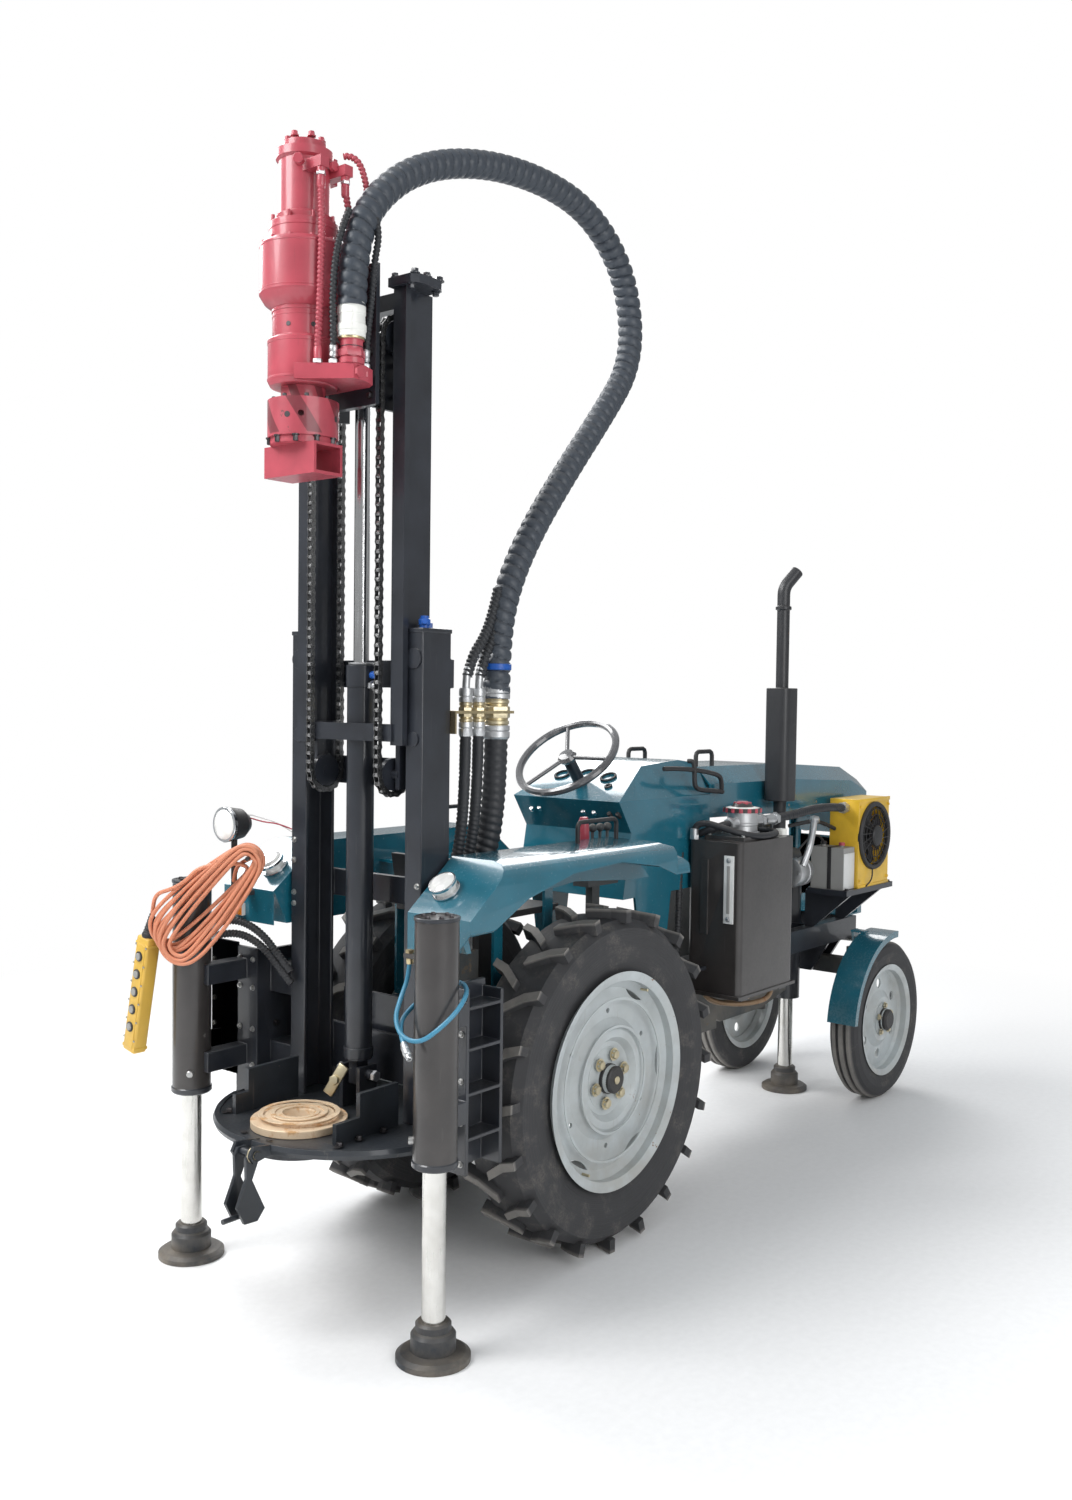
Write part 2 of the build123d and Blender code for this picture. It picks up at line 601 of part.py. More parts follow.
def dash():
    """The cowl behind the bonnet, with faceted shoulders."""
    side = [(330, 1010), (372, 1229), (300, 1336), (520, 1445), (760, 1460), (866, 1446), (866, 1010)]
    body = prism("y", -226, 226, side)
    for y in (1, -1):
        cut = prism("x", 200, 900, [(y * 150, 1462), (y * 262, 1462), (y * 262, 1290), (y * 227, 1335)])
        body = body - cut
    hollow = prism("y", -214, 214, [(345, 1000), (385, 1226), (325, 1322), (520, 1395), (740, 1410), (867, 1400),
                                    (867, 1000)])
    shapes = [body - hollow]
    for y in (-226, 216):
        shapes.append(prism("y", y, y + 10, [(400, 1020), (620, 1020), (580, RAIL_TOP + 10 + SEAT_GAP),
                                             (450, RAIL_TOP + 10 + SEAT_GAP)]))
    return fused(*shapes)


def steering_column(radius):
    """The slanted steering column."""
    angle = math.radians(COLUMN_TILT)
    length = 330.0
    drop = length / 2 + STEER_HUB_DROP + PIN_GAP
    middle = (STEER_X + drop * math.sin(angle), 0, STEER_Z - drop * math.cos(angle))
    return Pos(*middle) * Rot(0, -COLUMN_TILT, 0) * Cylinder(radius, length)


def steering_wheel():
    """The steering wheel with three spokes."""
    hoop = turned("z", (0, 0), [(STEER_R - 13 + 13 * math.cos(a * math.pi / 4), 13 * math.sin(a * math.pi / 4))
                                for a in range(8)])
    hub = turned("z", (0, 0), [(0, -STEER_HUB_DROP), (26, -STEER_HUB_DROP), (34, 0), (26, 12), (0, 16)])
    spokes = around(3, "z", (0, 0), rod("x", 20, STEER_R - 14, (0, 0), 7), 30)
    return Pos(STEER_X, 0, STEER_Z) * Rot(0, -COLUMN_TILT, 0) * fused(hoop, hub, *spokes)



pieces["bonnet"] = bonnet()
pieces["nose_panel"] = nose()
pieces["dash_cowl"] = dash()
pieces["steering_column"] = steering_column(21)
pieces["dash_cowl"] = pieces["dash_cowl"] - steering_column(21 + PIN_GAP)
pieces["steering_wheel"] = steering_wheel()


def seat():
    """A sheet seat pan on its post."""
    pan = block((-310, 30), (-SEAT_HALF, SEAT_HALF), (1010, 1030))
    back = prism("y", 10 - SEAT_HALF, SEAT_HALF - 10, [(-310, 1010), (-290, 1010), (-325, 1190), (-345, 1190)])
    post = block((-200, -100), (-60, 60), (CASE_TOP, 1011))
    return fused(pan, back, post)


def floor():
    """The footboards on both sides of the gearbox."""
    inner = REAR_TRACK / 2 - REAR_TYRE_WIDTH / 2 - RUN_GAP - 4
    left = block((330, TANK_X[0] - 20), (RAIL_Y, inner), (RAIL_TOP - 1, RAIL_TOP + 10))
    wide = block((REAR_R, TANK_X[0] - 20), (inner - 1, 330), (RAIL_TOP - 1, RAIL_TOP + 10))
    left = fused(left, wide)
    return left, mirrored(left)


def exhaust():
    """The upright silencer with its thin pipe and bent tip."""
    x = EXHAUST_X
    y = EXHAUST_Y
    can = Pos(x, y, 1508) * Box(105, 100, 430)
    can = fillet(can.edges().filter_by(Axis.Z), 30)
    pipe = rod("z", 1720, 2040, (x, y), 24)
    collar = rod("z", 2020, 2034, (x, y), 30)
    tip_line = FilletPolyline((x, y, 2030), (x, y, 2105), (x + 50, y - 30, 2170), radius=70)
    tip = sweep(Plane(origin=(x, y, 2030), z_dir=(0, 0, 1)) * Circle(24), path=tip_line)
    low_line = FilletPolyline((x, -199.3, 1045), (x, y, 1045), (x, y, 1300), radius=50)
    low = sweep(Plane(origin=(x, -199.3, 1045), z_dir=(0, -1, 0)) * Circle(24), path=low_line)
    return fused(can, pipe, collar, tip, low)


def oil_tank():
    """The square oil tank on the right side."""
    rear, front = TANK_X
    middle = (rear + front) / 2
    body = block((rear, front), (-450, -236), (TANK_BASE_Z, TANK_TOP))
    body = fillet(body.edges().filter_by(Axis.Z), 22)
    base = block((rear - 10, front + 10), (-455, -232), (TANK_BASE_Z, TANK_BASE_Z + 12))
    lid = block((rear + 50, front - 110), (-430, -270), (TANK_TOP - 1, TANK_TOP + 14))
    cap = rod("z", TANK_TOP + 13, TANK_TOP + 92, (middle, -340), 52)
    red = rod("z", TANK_TOP + 91, TANK_TOP + 106, (middle, -340), 68)
    knob = turned("z", (middle, -340), [(0, TANK_TOP + 105), (44, TANK_TOP + 105), (30, TANK_TOP + 122),
                                        (16, TANK_TOP + 128), (0, TANK_TOP + 128)])
    gauge = block((rear - 5, rear + 1), (-320, -292), (TANK_TOP - 326, TANK_TOP - 66))
    return fused(body, base, lid, cap, red, knob, gauge)


def tank_arms():
    """Arms under the tank, welded to the right rail."""
    outer = RAIL_Y + RAIL_WIDTH / 2
    arms = []
    for x in (TANK_X[0] + 30, TANK_X[1] - 80):
        shelf = block((x, x + 50), (-440, 1 - outer), (634, TANK_BASE_Z - SEAT_GAP))
        arms.append(fused(shelf, block((x, x + 50), (1 - outer - 8, 1 - outer), (590, RAIL_TOP - 10))))
    return arms


def cooler():
    """The oil cooler's box with its fan opening."""
    body = block(COOLER_X, COOLER_Y, (912, 1275))
    body = body - rod("y", -370, -280, (FAN_X, 1120), 132)
    return fused(body, rod("y", -300 + PIN_GAP, -279, (FAN_X, 1120), 30))


def cooler_fan():
    """The cooler's fan: a guard ring is fixed, the blades turn."""
    shapes = [rod("y", -352, -300, (FAN_X, 1120), 40)]
    blade = prism("y", -340, -330, [(FAN_X - 16, 1150), (FAN_X + 16, 1150), (FAN_X + 44, 1240), (FAN_X - 6, 1244)])
    shapes.extend(around(7, "y", (FAN_X, 1120), blade))
    return fused(*shapes)


def cooler_bracket():
    """The shelf that carries the cooler and the battery."""
    shelf = block(SHELF_X, (-372, -196), (890, 911.7))
    leg = prism("x", SHELF_X[0] + 72, SHELF_X[0] + 88, [(-196, 891), (-360, 891), (-186, RAIL_TOP - 1),
                                                        (-150, RAIL_TOP - 1), (-150, 891)])
    leg2 = Pos(280, 0, 0) * leg
    return fused(shelf, leg, leg2)


def battery():
    """The battery block with two posts."""
    front = COOLER_X[0] - RUN_GAP
    box = block((front - 96, front), (-350, -206), (912, 1082))
    posts = [rod("z", 1082, 1096, (front - 48, y), 9) for y in (-318, -238)]
    return fused(box, *posts)


front_tube = fused(tube(FRONT_LEG_X, 0, *FRONT_TUBE_Z),
                   block((FRONT_LEG_X - 56, FRONT_LEG_X - 40), (-RAIL_Y, RAIL_Y), (660, 730)))
pieces["frame_rails"] = fused(frame_rails(), axle_carrier(), *floor(), *tank_arms(), cooler_bracket(), front_tube)
pieces["seat"] = seat()
pieces["exhaust"] = exhaust()
pieces["oil_tank"] = oil_tank()
pieces["oil_cooler"] = cooler()
pieces["cooler_fan"] = cooler_fan()
pieces["battery"] = battery()


# Outriggers

def carrier():
    """The box that joins a leg's tube to the mast's foot."""
    web_y = (372.0, 384.0)
    shapes = [block((-700, -540), web_y, (410, 910)), block((-712, -700), (372, 470), (420, 915)),
              block((-552, -540), (372, 450), (410, 890))]
    for z in (500, 620, 740, 850):
        shapes.append(block((-700, -552), (384, 450), (z, z + 10)))
    for z in (560, 820):
        shapes.append(block((LEG_X, -712), (420, 470), (z, z + 60)))
    for z in (540, 780):
        shapes.append(block((-660, -570), (OUTER_Y[1] + SEAT_GAP, 372), (z, z + 90)))
    body = fused(*shapes)
    return body - rod("z", 300, 1200, (LEG_X, LEG_Y), TUBE_R + SEAT_GAP)


both("outrigger_leg", leg(LEG_X, LEG_Y))
leg_tube = tube(LEG_X, LEG_Y, *TUBE_Z)
clip = block((LEG_X - 18, LEG_X + 6), (-LEG_Y + TUBE_R - 2, -396), (1013, 1025))
pieces["outrigger_tubes"] = apart(leg_tube, fused(mirrored(leg_tube), clip))
leg_carrier = carrier()
pieces["outrigger_carriers"] = apart(leg_carrier, mirrored(leg_carrier))
pieces["front_leg"] = leg(FRONT_LEG_X, 0)


# Mast

def outer_mast():
    """The fixed mast frame: two channels open to the inside, and their cross members."""
    x0, x1 = OUTER_X
    y0, y1 = OUTER_Y
    column = block(OUTER_X, OUTER_Y, (TABLE_TOP + SEAT_GAP, OUTER_TOP))
    column = column - block((x0 + OUTER_WALL, x1 - OUTER_WALL), (y0 - 1, y1 - OUTER_WALL), (0, OUTER_TOP + 1))
    shapes = [column, mirrored(column)]
    # columns: lower edge, upper edge of each cross plate on the front side
    for low, high in [(560, 700), (1080, 1160), (1700, 1780)]:
        shapes.append(block((x1, x1 + 14), (-y1, y1), (low, high)))
    return fused(*shapes)


def inner_mast():
    """The sliding mast: two channels, top plates, cross beams and chain wheels."""
    x0, x1 = INNER_X
    y0, y1 = INNER_Y
    web = block(INNER_X, INNER_Y, (INNER_BOTTOM, INNER_TOP))
    web = web - block((x0 + INNER_WALL, x1 - INNER_WALL), (y0 - 1, y1 - WEB), (INNER_BOTTOM + 12, INNER_TOP - 12))
    flange = block((x0 - INNER_FLANGE, x0), (y0, INNER_FLANGE_Y), (INNER_BOTTOM, INNER_TOP))
    top = prism("z", INNER_TOP, INNER_TOP + 24, [(-716, 162), (-716, 246), (-698, 262), (-612, 262), (-594, 246),
                                                 (-594, 162)])
    chain_top = CHAIN_LOW_Z + CHAIN_RUN_PITCHES * CHAIN_PITCH
    low = block((x0 + 10, x1), (y0 - 8, y0 + 8), (CHAIN_LOW_Z - 40, INNER_BOTTOM + 60))
    high = block((x0 + 10, x1), (y0 - 8, y0 + 2), (chain_top - 10, INNER_TOP))
    column = fused(web, flange, top, low, high)
    wheel_r = (chain_turn() - 9) * math.cos(math.pi / 12) - SEAT_GAP
    for z in (CHAIN_LOW_Z, chain_top):
        column = fused(column, rod("y", CHAIN_Y - 9, y0 + 2, (CHAIN_X, z), 14),
                       rod("y", CHAIN_Y - 8, CHAIN_Y + 8, (CHAIN_X, z), wheel_r))
    beam = block((x0 + 10, x1), (-y0 - 4, y0 + 4), (chain_top + chain_turn() + 20, INNER_TOP))
    foot = block((x1 - 12, x1), (-y0 - 4, y0 + 4), (CHAIN_LOW_Z - 40, CHAIN_LOW_Z + 40))
    tie_front = x0 - INNER_FLANGE + 1
    tie = block((tie_front - 8, tie_front), (-y0 - 10, y0 + 10), (INNER_BOTTOM + 10, INNER_BOTTOM + 58))
    return fused(column, mirrored(column), beam, foot, tie)


def chain_turn():
    """The loop's turn radius, a whole number of links."""
    return CHAIN_TURN_PITCHES * CHAIN_PITCH / math.pi


def chain(y):
    """One chain as a closed band whose outline shows its links."""
    r = chain_turn()
    run = CHAIN_RUN_PITCHES * CHAIN_PITCH
    total = 2 * (CHAIN_RUN_PITCHES + CHAIN_TURN_PITCHES)

    def place(s, out):
        """A point a length s along the loop, moved outward."""
        turn = math.pi * r
        if s < run:
            return (CHAIN_X - r - out, CHAIN_LOW_Z + s)
        if s < run + turn:
            a = (s - run) / r
            return (CHAIN_X - (r + out) * math.cos(a), CHAIN_LOW_Z + run + (r + out) * math.sin(a))
        if s < 2 * run + turn:
            return (CHAIN_X + r + out, CHAIN_LOW_Z + run - (s - run - turn))
        a = (s - 2 * run - turn) / r
        return (CHAIN_X + (r + out) * math.cos(a), CHAIN_LOW_Z - (r + out) * math.sin(a))

    outer = []
    for i in range(2 * total):
        outer.append(place(i * CHAIN_PITCH / 2, 11 if i % 2 else 6))
    inner = [place(0, -9), place(run, -9)]
    inner += [place(run + math.pi * r * k / 6, -9) for k in range(1, 6)]
    inner += [place(run + math.pi * r, -9), place(2 * run + math.pi * r, -9)]
    inner += [place(2 * run + math.pi * r * (1 + k / 6), -9) for k in range(1, 6)]
    band = prism("y", y - CHAIN_WIDTH / 2, y + CHAIN_WIDTH / 2, outer)
    return band - prism("y", y - CHAIN_WIDTH, y + CHAIN_WIDTH, inner)


pieces["outer_mast"] = outer_mast()
pieces["inner_mast"] = inner_mast()
pieces["chains"] = apart(chain(CHAIN_Y), chain(-CHAIN_Y))


def lift_cylinder():
    """The lift cylinder's barrel on its foot clevis, with the clamp band."""
    z0, z1 = BARREL_Z
    barrel = rod("z", z0, z1, (CYLINDER_X, 0), BARREL_R) - rod("z", z0 + 30, z1 + 1, (CYLINDER_X, 0), ROD_R + 6)
    gland = rod("z", z1 - 50, z1, (CYLINDER_X, 0), BARREL_R + 3) - rod("z", z1 - 60, z1 + 1, (CYLINDER_X, 0),
                                                                     ROD_R + PIN_GAP)
    eye = block((CYLINDER_X - 22, CYLINDER_X + 22), (-16, 16), (z0 - 70, z0))
    pin = rod("y", -60, 60, (CYLINDER_X, z0 - 40), 14)
    ears = [block((CYLINDER_X - 34, CYLINDER_X + 34), (y - 7, y + 7), (TABLE_TOP + SEAT_GAP, z0 - 16))
            for y in (-34, 34)]
    return fused(barrel, gland, eye, pin, *ears)


def lift_rod():
    """The lift cylinder's bright rod."""
    chain_top = CHAIN_LOW_Z + CHAIN_RUN_PITCHES * CHAIN_PITCH
    return rod("z", ROD_FOOT, chain_top + chain_turn() + 20 - SEAT_GAP, (CYLINDER_X, 0), ROD_R)


pieces["lift_cylinder"] = lift_cylinder()
pieces["lift_rod"] = lift_rod()


def drill_table():
    """The round table: rolled rim, guide plates and holes."""
    z0 = TABLE_TOP - TABLE_THICK
    disc = rod("z", z0, TABLE_TOP, (TABLE_X, 0), TABLE_R)
    ring = turned("z", (TABLE_X, 0), [(TABLE_R - 14, z0 - 4), (TABLE_R, z0 - 4), (TABLE_R + 5, z0 + 8),
                                      (TABLE_R, TABLE_TOP + 4), (TABLE_R - 14, TABLE_TOP + 4)])
    keep = prism("z", z0 - 10, TABLE_TOP + 10, [(-1200, -370), (-548, -370), (-548, -200), (-420, -200),
                                                (-420, 200), (-548, 200), (-548, 370), (-1200, 370)])
    body = fused(disc, ring) & keep
    body = body - rod("z", z0 - 9, TABLE_TOP + 9, (DRILL_X, 0), BUSH_R - 14)
    # columns: side of the table, plate's rear end, step, front end
    for y, rear, step, front in [(205.0, -930.0, -885.0, -700.0), (-205.0, -930.0, -845.0, -700.0)]:
        plate = prism("y", y - 7, y + 7, [(rear, TABLE_TOP - 4), (rear, TABLE_TOP + 56), (step, TABLE_TOP + 56),
                                          (step, TABLE_TOP + 120), (front, TABLE_TOP + 120),
                                          (front, TABLE_TOP - 4)])
        body = fused(body, plate)
    ring_low = turned("z", (DRILL_X, 0), [(BUSH_R - 14, z0 - 40), (BUSH_R + 2, z0 - 40), (BUSH_R + 2, z0 + 2),
                                          (BUSH_R - 14, z0 + 2)])
    root = TABLE_X - TABLE_R + 30
    lugs = [prism("y", BRACKET_Y + a, BRACKET_Y + b, [(root, z0 - 2), (root, TABLE_TOP + 2),
                                                      (BRACKET_X - 10, TABLE_TOP + 12),
                                                      (BRACKET_X - 22, BRACKET_Z), (BRACKET_X - 10, z0 - 16)])
            for a, b in ((-40, -30), (30, 40))]
    body = fused(body, ring_low, *lugs)
    body = body - rod("y", BRACKET_Y - 60, BRACKET_Y + 60, (BRACKET_X, BRACKET_Z), 10 + PIN_GAP)
    return body


def drill_bush():
    """The rusty bush of nested rings in the table."""
    return turned("z", (DRILL_X, 0), [(BUSH_BORE_R, TABLE_TOP - 16), (BUSH_R - 15, TABLE_TOP - 16),
                                      (BUSH_R - 15, TABLE_TOP + SEAT_GAP), (BUSH_R, TABLE_TOP + SEAT_GAP),
                                      (BUSH_R, BUSH_TOP - 12), (100, BUSH_TOP - 10), (96, BUSH_TOP - 4),
                                      (74, BUSH_TOP - 2), (70, BUSH_TOP), (BUSH_BORE_R + 4, BUSH_TOP),
                                      (BUSH_BORE_R, BUSH_TOP - 6)])


def rim_bracket():
    """The hinged bracket that hangs from the table's rim."""
    x, y, z = BRACKET_X, BRACKET_Y, BRACKET_Z
    outline = [(x - 14, z + 12), (x + 12, z + 12), (x + 16, z - 20), (x - 4, z - 66), (x + 38, z - 150),
               (x + 14, z - 178), (x - 28, z - 176), (x - 52, z - 128), (x - 22, z - 60), (x - 24, z - 8)]
    plates = [prism("y", y + a, y + b, outline) for a, b in ((-28, -18), (18, 28))]
    pin = rod("y", y - 48, y + 48, (x, z), 10)
    spacer = rod("y", y - 28, y + 28, (x - 2, z - 150), 12)
    bolt = rod("x", x - BRACKET_REACH, x + 20, (y, z - 162), 7)
    return fused(*plates, pin, spacer, bolt)


pieces["drill_table"] = drill_table()
pieces["drill_bush"] = drill_bush()
pieces["rim_bracket"] = rim_bracket()


# Power head

def carriage():
    """The plate that carries the power head, with side plates and guide rollers."""
    z0, z1 = CARRIAGE_Z
    channel = (INNER_X[0] + INNER_WALL, INNER_X[1] - INNER_WALL)
    middle = sum(channel) / 2
    roller_r = (channel[1] - channel[0]) / 2 - ROLLER_GAP
    side_y = CHAIN_Y - CHAIN_WIDTH / 2 - RUN_GAP - 12
    shapes = [block(CARRIAGE_X, (-CARRIAGE_Y, CARRIAGE_Y), CARRIAGE_Z)]
    for side in (1, -1):
        inner = sorted((side * side_y, side * (side_y + 12)))
        shapes.append(block((CARRIAGE_X[1], middle + 30), inner, (z0, z0 + 200)))
        for z in (z0 + 45, z0 + 130):
            out = INNER_Y[1] - WEB - RUN_GAP
            shapes.append(rod("y", side * side_y, side * (out - 2), (middle, z), 8))
            shapes.append(rod("y", side * (INNER_Y[0] + 1), side * out, (middle, z), roller_r))
    shapes.append(block((CARRIAGE_X[1], CARRIAGE_X[1] + 12), (-side_y, side_y), (z0, z0 + 200)))
    return fused(*shapes)


def head_body():
    """The red power head: gearbox, neck and lower body."""
    profile = [(0, 2497), (88, 2497), (95, 2510), (95, 2619), (83, 2624), (83, 2700), (105, 2716), (117, 2735),
               (117, 2866), (110, 2874), (92, 2874), (92, 2927), (0, 2927)]
    body = turned("z", (DRILL_X, 0), profile)
    back = block((DRILL_X, CARRIAGE_X[0] - SEAT_GAP), (-70, 70), (2505, 2615))
    return fused(body, back)


def head_motor():
    """The motor on top of the head."""
    profile = [(0, 2927.3), (78, 2927.3), (78, 2945), (68, 2952), (68, 3090), (76, 3096), (76, 3118), (58, 3124),
               (58, 3140), (30, HEAD_TOP), (0, HEAD_TOP)]
    body = turned("z", (DRILL_X, 0), profile)
    ports = []
    for x in MOTOR_PORTS:
        ports.append(block((x - 14, x + 14), (MOTOR_PORT_Y - 14, -30), (MOTOR_PORT_Z - 14, MOTOR_PORT_Z + 14)))
        ports.append(rod("z", MOTOR_PORT_Z - 26, MOTOR_PORT_Z, (x, MOTOR_PORT_Y), 12))
    return fused(body, block((DRILL_X + 20, DRILL_X + 86), (-34, 34), (3050, 3120)), *ports)


def air_swivel():
    """The air inlet's arm, elbow and coupling on the right of the head."""
    x = SWIVEL_X
    y = SWIVEL_Y
    arm = prism("z", 2500, ARM_TOP, [(DRILL_X - 92, -66), (x + 78, -40), (x + 86, y + 20), (x + 70, y - 8),
                                  (x + 24, y - 28), (x - 18, y - 28)])
    arm = arm - rod("z", 2400, 2700, (DRILL_X, 0), 95 + SEAT_GAP)
    arm = arm - block((CARRIAGE_X[0] - SEAT_GAP, 0), (-300, 300), (2400, 2700))
    elbow = rod("z", 2535, ELBOW_TOP, (x, y), 30)
    coupling = rod("z", ELBOW_TOP - 1, COUPLING_TOP, (x, y), 33)
    return fused(arm, elbow, coupling)


def spindle():
    """The turning chuck, its flange and the open box tube."""
    profile = [(0, 2361), (95, 2361), (95, 2460), (60, 2466), (60, 2497 - SEAT_GAP), (0, 2497 - SEAT_GAP)]
    chuck = turned("z", (DRILL_X, 0), profile)
    holes = around(4, "z", (DRILL_X, 0), rod("x", DRILL_X + 70, DRILL_X + 100, (0, 2415), 8), 45)
    chuck = chuck.cut(*holes)
    plate = rod("z", 2343, 2361, (DRILL_X, 0), 88)
    box = block((DRILL_X - 50, DRILL_X + 50), (-100, 100), (2260, 2343))
    box = box - block((DRILL_X - 42, DRILL_X + 42), (-101, 101), (2268, 2335))
    return fused(chuck, plate, box)


pieces["carriage"] = carriage()
pieces["head_body"] = head_body()
pieces["head_motor"] = head_motor()
pieces["air_swivel"] = air_swivel() - pieces["head_body"]
pieces["spindle"] = spindle()

# Hoses, cords and what they end in

def cord_radii(points):
    """A corner radius for each inner point: 0.45 of the shorter run over the tangent of half the turn."""
    radii = []
    for before, here, after in zip(points, points[1:], points[2:]):
        a = Vector(*here) - Vector(*before)
        b = Vector(*after) - Vector(*here)
        turn = math.radians(a.get_angle(b))
        radii.append(0.45 * min(a.length, b.length) / math.tan(turn / 2))
    return radii


def cord(points, diameter, label):
    """A round cord along straight runs and tangent arcs."""
    radii = cord_radii(points)
    edges = []
    start = Vector(*points[0])
    for i, radius in enumerate(radii):
        here = Vector(*points[i + 1])
        a = (here - Vector(*points[i])).normalized()
        b = (Vector(*points[i + 2]) - here).normalized()
        turn = math.radians(a.get_angle(b))
        back = radius * math.tan(turn / 2)
        arc_start = here - a * back
        arc_end = here + b * back
        middle = here + (b - a).normalized() * (radius / math.cos(turn / 2) - radius)
        edges.append(Line(start, arc_start))
        edges.append(ThreePointArc(arc_start, middle, arc_end))
        start = arc_end
    edges.append(Line(start, Vector(*points[-1])))
    path = Wire(edges)
    first = (Vector(*points[1]) - Vector(*points[0])).normalized()
    tube_shape = sweep(Plane(origin=points[0], z_dir=tuple(first)) * Circle(diameter / 2), path=path)
    section = math.pi * diameter ** 2 / 4
    print(label, "length", round(path.length), "least radius", round(min(radii)), "of", diameter,
          "volume ratio", round(tube_shape.volume / (section * path.length), 4))
    return tube_shape


AIR_HOSE_D = 80.0
AIR_HOSE = [(SWIVEL_X, SWIVEL_Y, COUPLING_TOP + SEAT_GAP), (SWIVEL_X, SWIVEL_Y, 2840), (-780, -170, 2990),
            (-620, -177, 3120), (-380, -185, 3205), (-110, -193, 3235), (120, -200, 3205), (290, -207, 3080),
            (350, -213, 2900), (320, -217, 2740), (190, -225, 2590), (-20, -236, 2370), (-200, -244, 2165),
            (-310, -248, 1990), (-352, -250, 1830), (-352, -250, 1672.3)]

BULKHEAD_Z = 1634.0
BULKHEAD_Y = -250.0
# columns: place along X, fitting's radius, its height above and below the plate
FITTINGS = [(-352.0, 34.0, 38.0), (-430.0, 17.0, 44.0), (-484.0, 17.0, 44.0)]


def hose_bulkhead():
    """The bulkhead plate on the mast's right side with its fittings."""
    plate = block((OUTER_X[1] - 4, -310), (BULKHEAD_Y - 32, BULKHEAD_Y + 24), (BULKHEAD_Z - 4, BULKHEAD_Z + 4))
    web = block((OUTER_X[1] - 4, OUTER_X[1] + 6), (BULKHEAD_Y - 32, BULKHEAD_Y + 24),
                (BULKHEAD_Z - 60, BULKHEAD_Z + 4))
    plate = fused(plate, web) - block((-700, OUTER_X[1] + SEAT_GAP), (-400, 0), (1500, 1700))
    shapes = [plate]
    for x, r, reach in FITTINGS:
        shapes.append(rod("z", BULKHEAD_Z - reach, BULKHEAD_Z + reach, (x, BULKHEAD_Y), r))
    return fused(*shapes)


LOWER_HOSE_TOP = BULKHEAD_Z - 44.0 - SEAT_GAP
LOWER_HOSES = [
    (70.0, [(-352, -250, BULKHEAD_Z - 38.3), (-352, -250, 1380), (-380, -228, 1180), (-392, -150, 1035),
            (-392, MANIFOLD_Y, MANIFOLD_TOP + SEAT_GAP)]),
    (34.0, [(-430, -250, LOWER_HOSE_TOP), (-430, -250, 1380), (-446, -228, 1190), (-454, -150, 1035),
            (-454, MANIFOLD_Y, MANIFOLD_TOP + SEAT_GAP)]),
    (34.0, [(-484, -250, LOWER_HOSE_TOP), (-484, -250, 1380), (-494, -228, 1190), (-497, -150, 1035),
            (-497, MANIFOLD_Y, MANIFOLD_TOP + SEAT_GAP)]),
]


def lower_hoses():
    """The three guarded hoses that run down from the bulkhead."""
    hoses = []
    for i, (diameter, points) in enumerate(LOWER_HOSES):
        hoses.append(cord(points, diameter, "lower hose " + str(i + 1)))
    return apart(*hoses)


PORT_END = MOTOR_PORT_Z - 26 - SEAT_GAP
HEAD_HOSES = [
    (18.0, [(MOTOR_PORTS[0], MOTOR_PORT_Y, PORT_END), (MOTOR_PORTS[0], MOTOR_PORT_Y, 2990), (-921, -126, 2900),
            (-926, -128, 2780), (-921, -118, 2660), (-920, -112, 2600), (-920, -112, ARM_TOP + SEAT_GAP)]),
    (18.0, [(MOTOR_PORTS[1], MOTOR_PORT_Y, PORT_END), (MOTOR_PORTS[1], MOTOR_PORT_Y, 2990), (-792, -118, 2900),
            (-786, -118, 2780), (-787, -115, 2660), (-788, -114, 2600), (-788, -114, ARM_TOP + SEAT_GAP)]),
    (18.0, [(-894, -143, ARM_TOP + SEAT_GAP), (-894, -143, 2590), (-907, -152, 2710), (-904, -158, 2810),
            (-884, -164, 2895)]),
    (18.0, [(-807, -173, ARM_TOP + SEAT_GAP), (-807, -173, 2590), (-799, -184, 2710), (-798, -192, 2810),
            (-790, -206, 2895)]),
]


def head_hoses():
    """The guarded hoses painted with the head."""
    return apart(*[cord(points, diameter, "head hose " + str(i + 1))
                   for i, (diameter, points) in enumerate(HEAD_HOSES)])


pieces["air_hose"] = cord(AIR_HOSE, AIR_HOSE_D, "air hose")
pieces["hose_bulkhead"] = hose_bulkhead()
pieces["lower_hoses"] = lower_hoses()
pieces["head_hoses"] = head_hoses()


# The pendant on its coiled cable, hung over the work lamp's neck



def cable_coil():
    """The hank of cable as one closed band."""
    plane = Plane(origin=COIL_MIDDLE, x_dir=tuple(COIL_LONG), z_dir=tuple(COIL_LONG.cross(COIL_WIDE)))
    straight = COIL_HALF_LENGTH - COIL_HALF_WIDTH
    outer = SlotCenterToCenter(2 * straight, 2 * (COIL_HALF_WIDTH + COIL_SECTION))
    inner = SlotCenterToCenter(2 * straight, 2 * (COIL_HALF_WIDTH - COIL_SECTION))
    band = extrude(plane * (outer - inner), amount=COIL_SECTION, both=True)
    return band




def pendant():
    """The long yellow push-button pendant with its boot."""
    body = Pos(0, 0, -180) * Box(46, 58, 360)
    body = fillet(body.edges().filter_by(Axis.Z), 8)
    boot = turned("z", (0, 0), [(0, -2), (22, -2), (12, 70), (0, 70)])
    buttons = [rod("x", -32, 0, (0, -60 - 55 * i), 13) for i in range(5)]
    return Pos(*PENDANT_TOP) * Rot(PENDANT_TILT, 0, 0) * fused(body, boot, *buttons)


def pendant_point(height):
    """A point on the pendant's own axis."""
    a = math.radians(PENDANT_TILT)
    return (PENDANT_TOP[0], PENDANT_TOP[1] - height * math.sin(a), PENDANT_TOP[2] + height * math.cos(a))


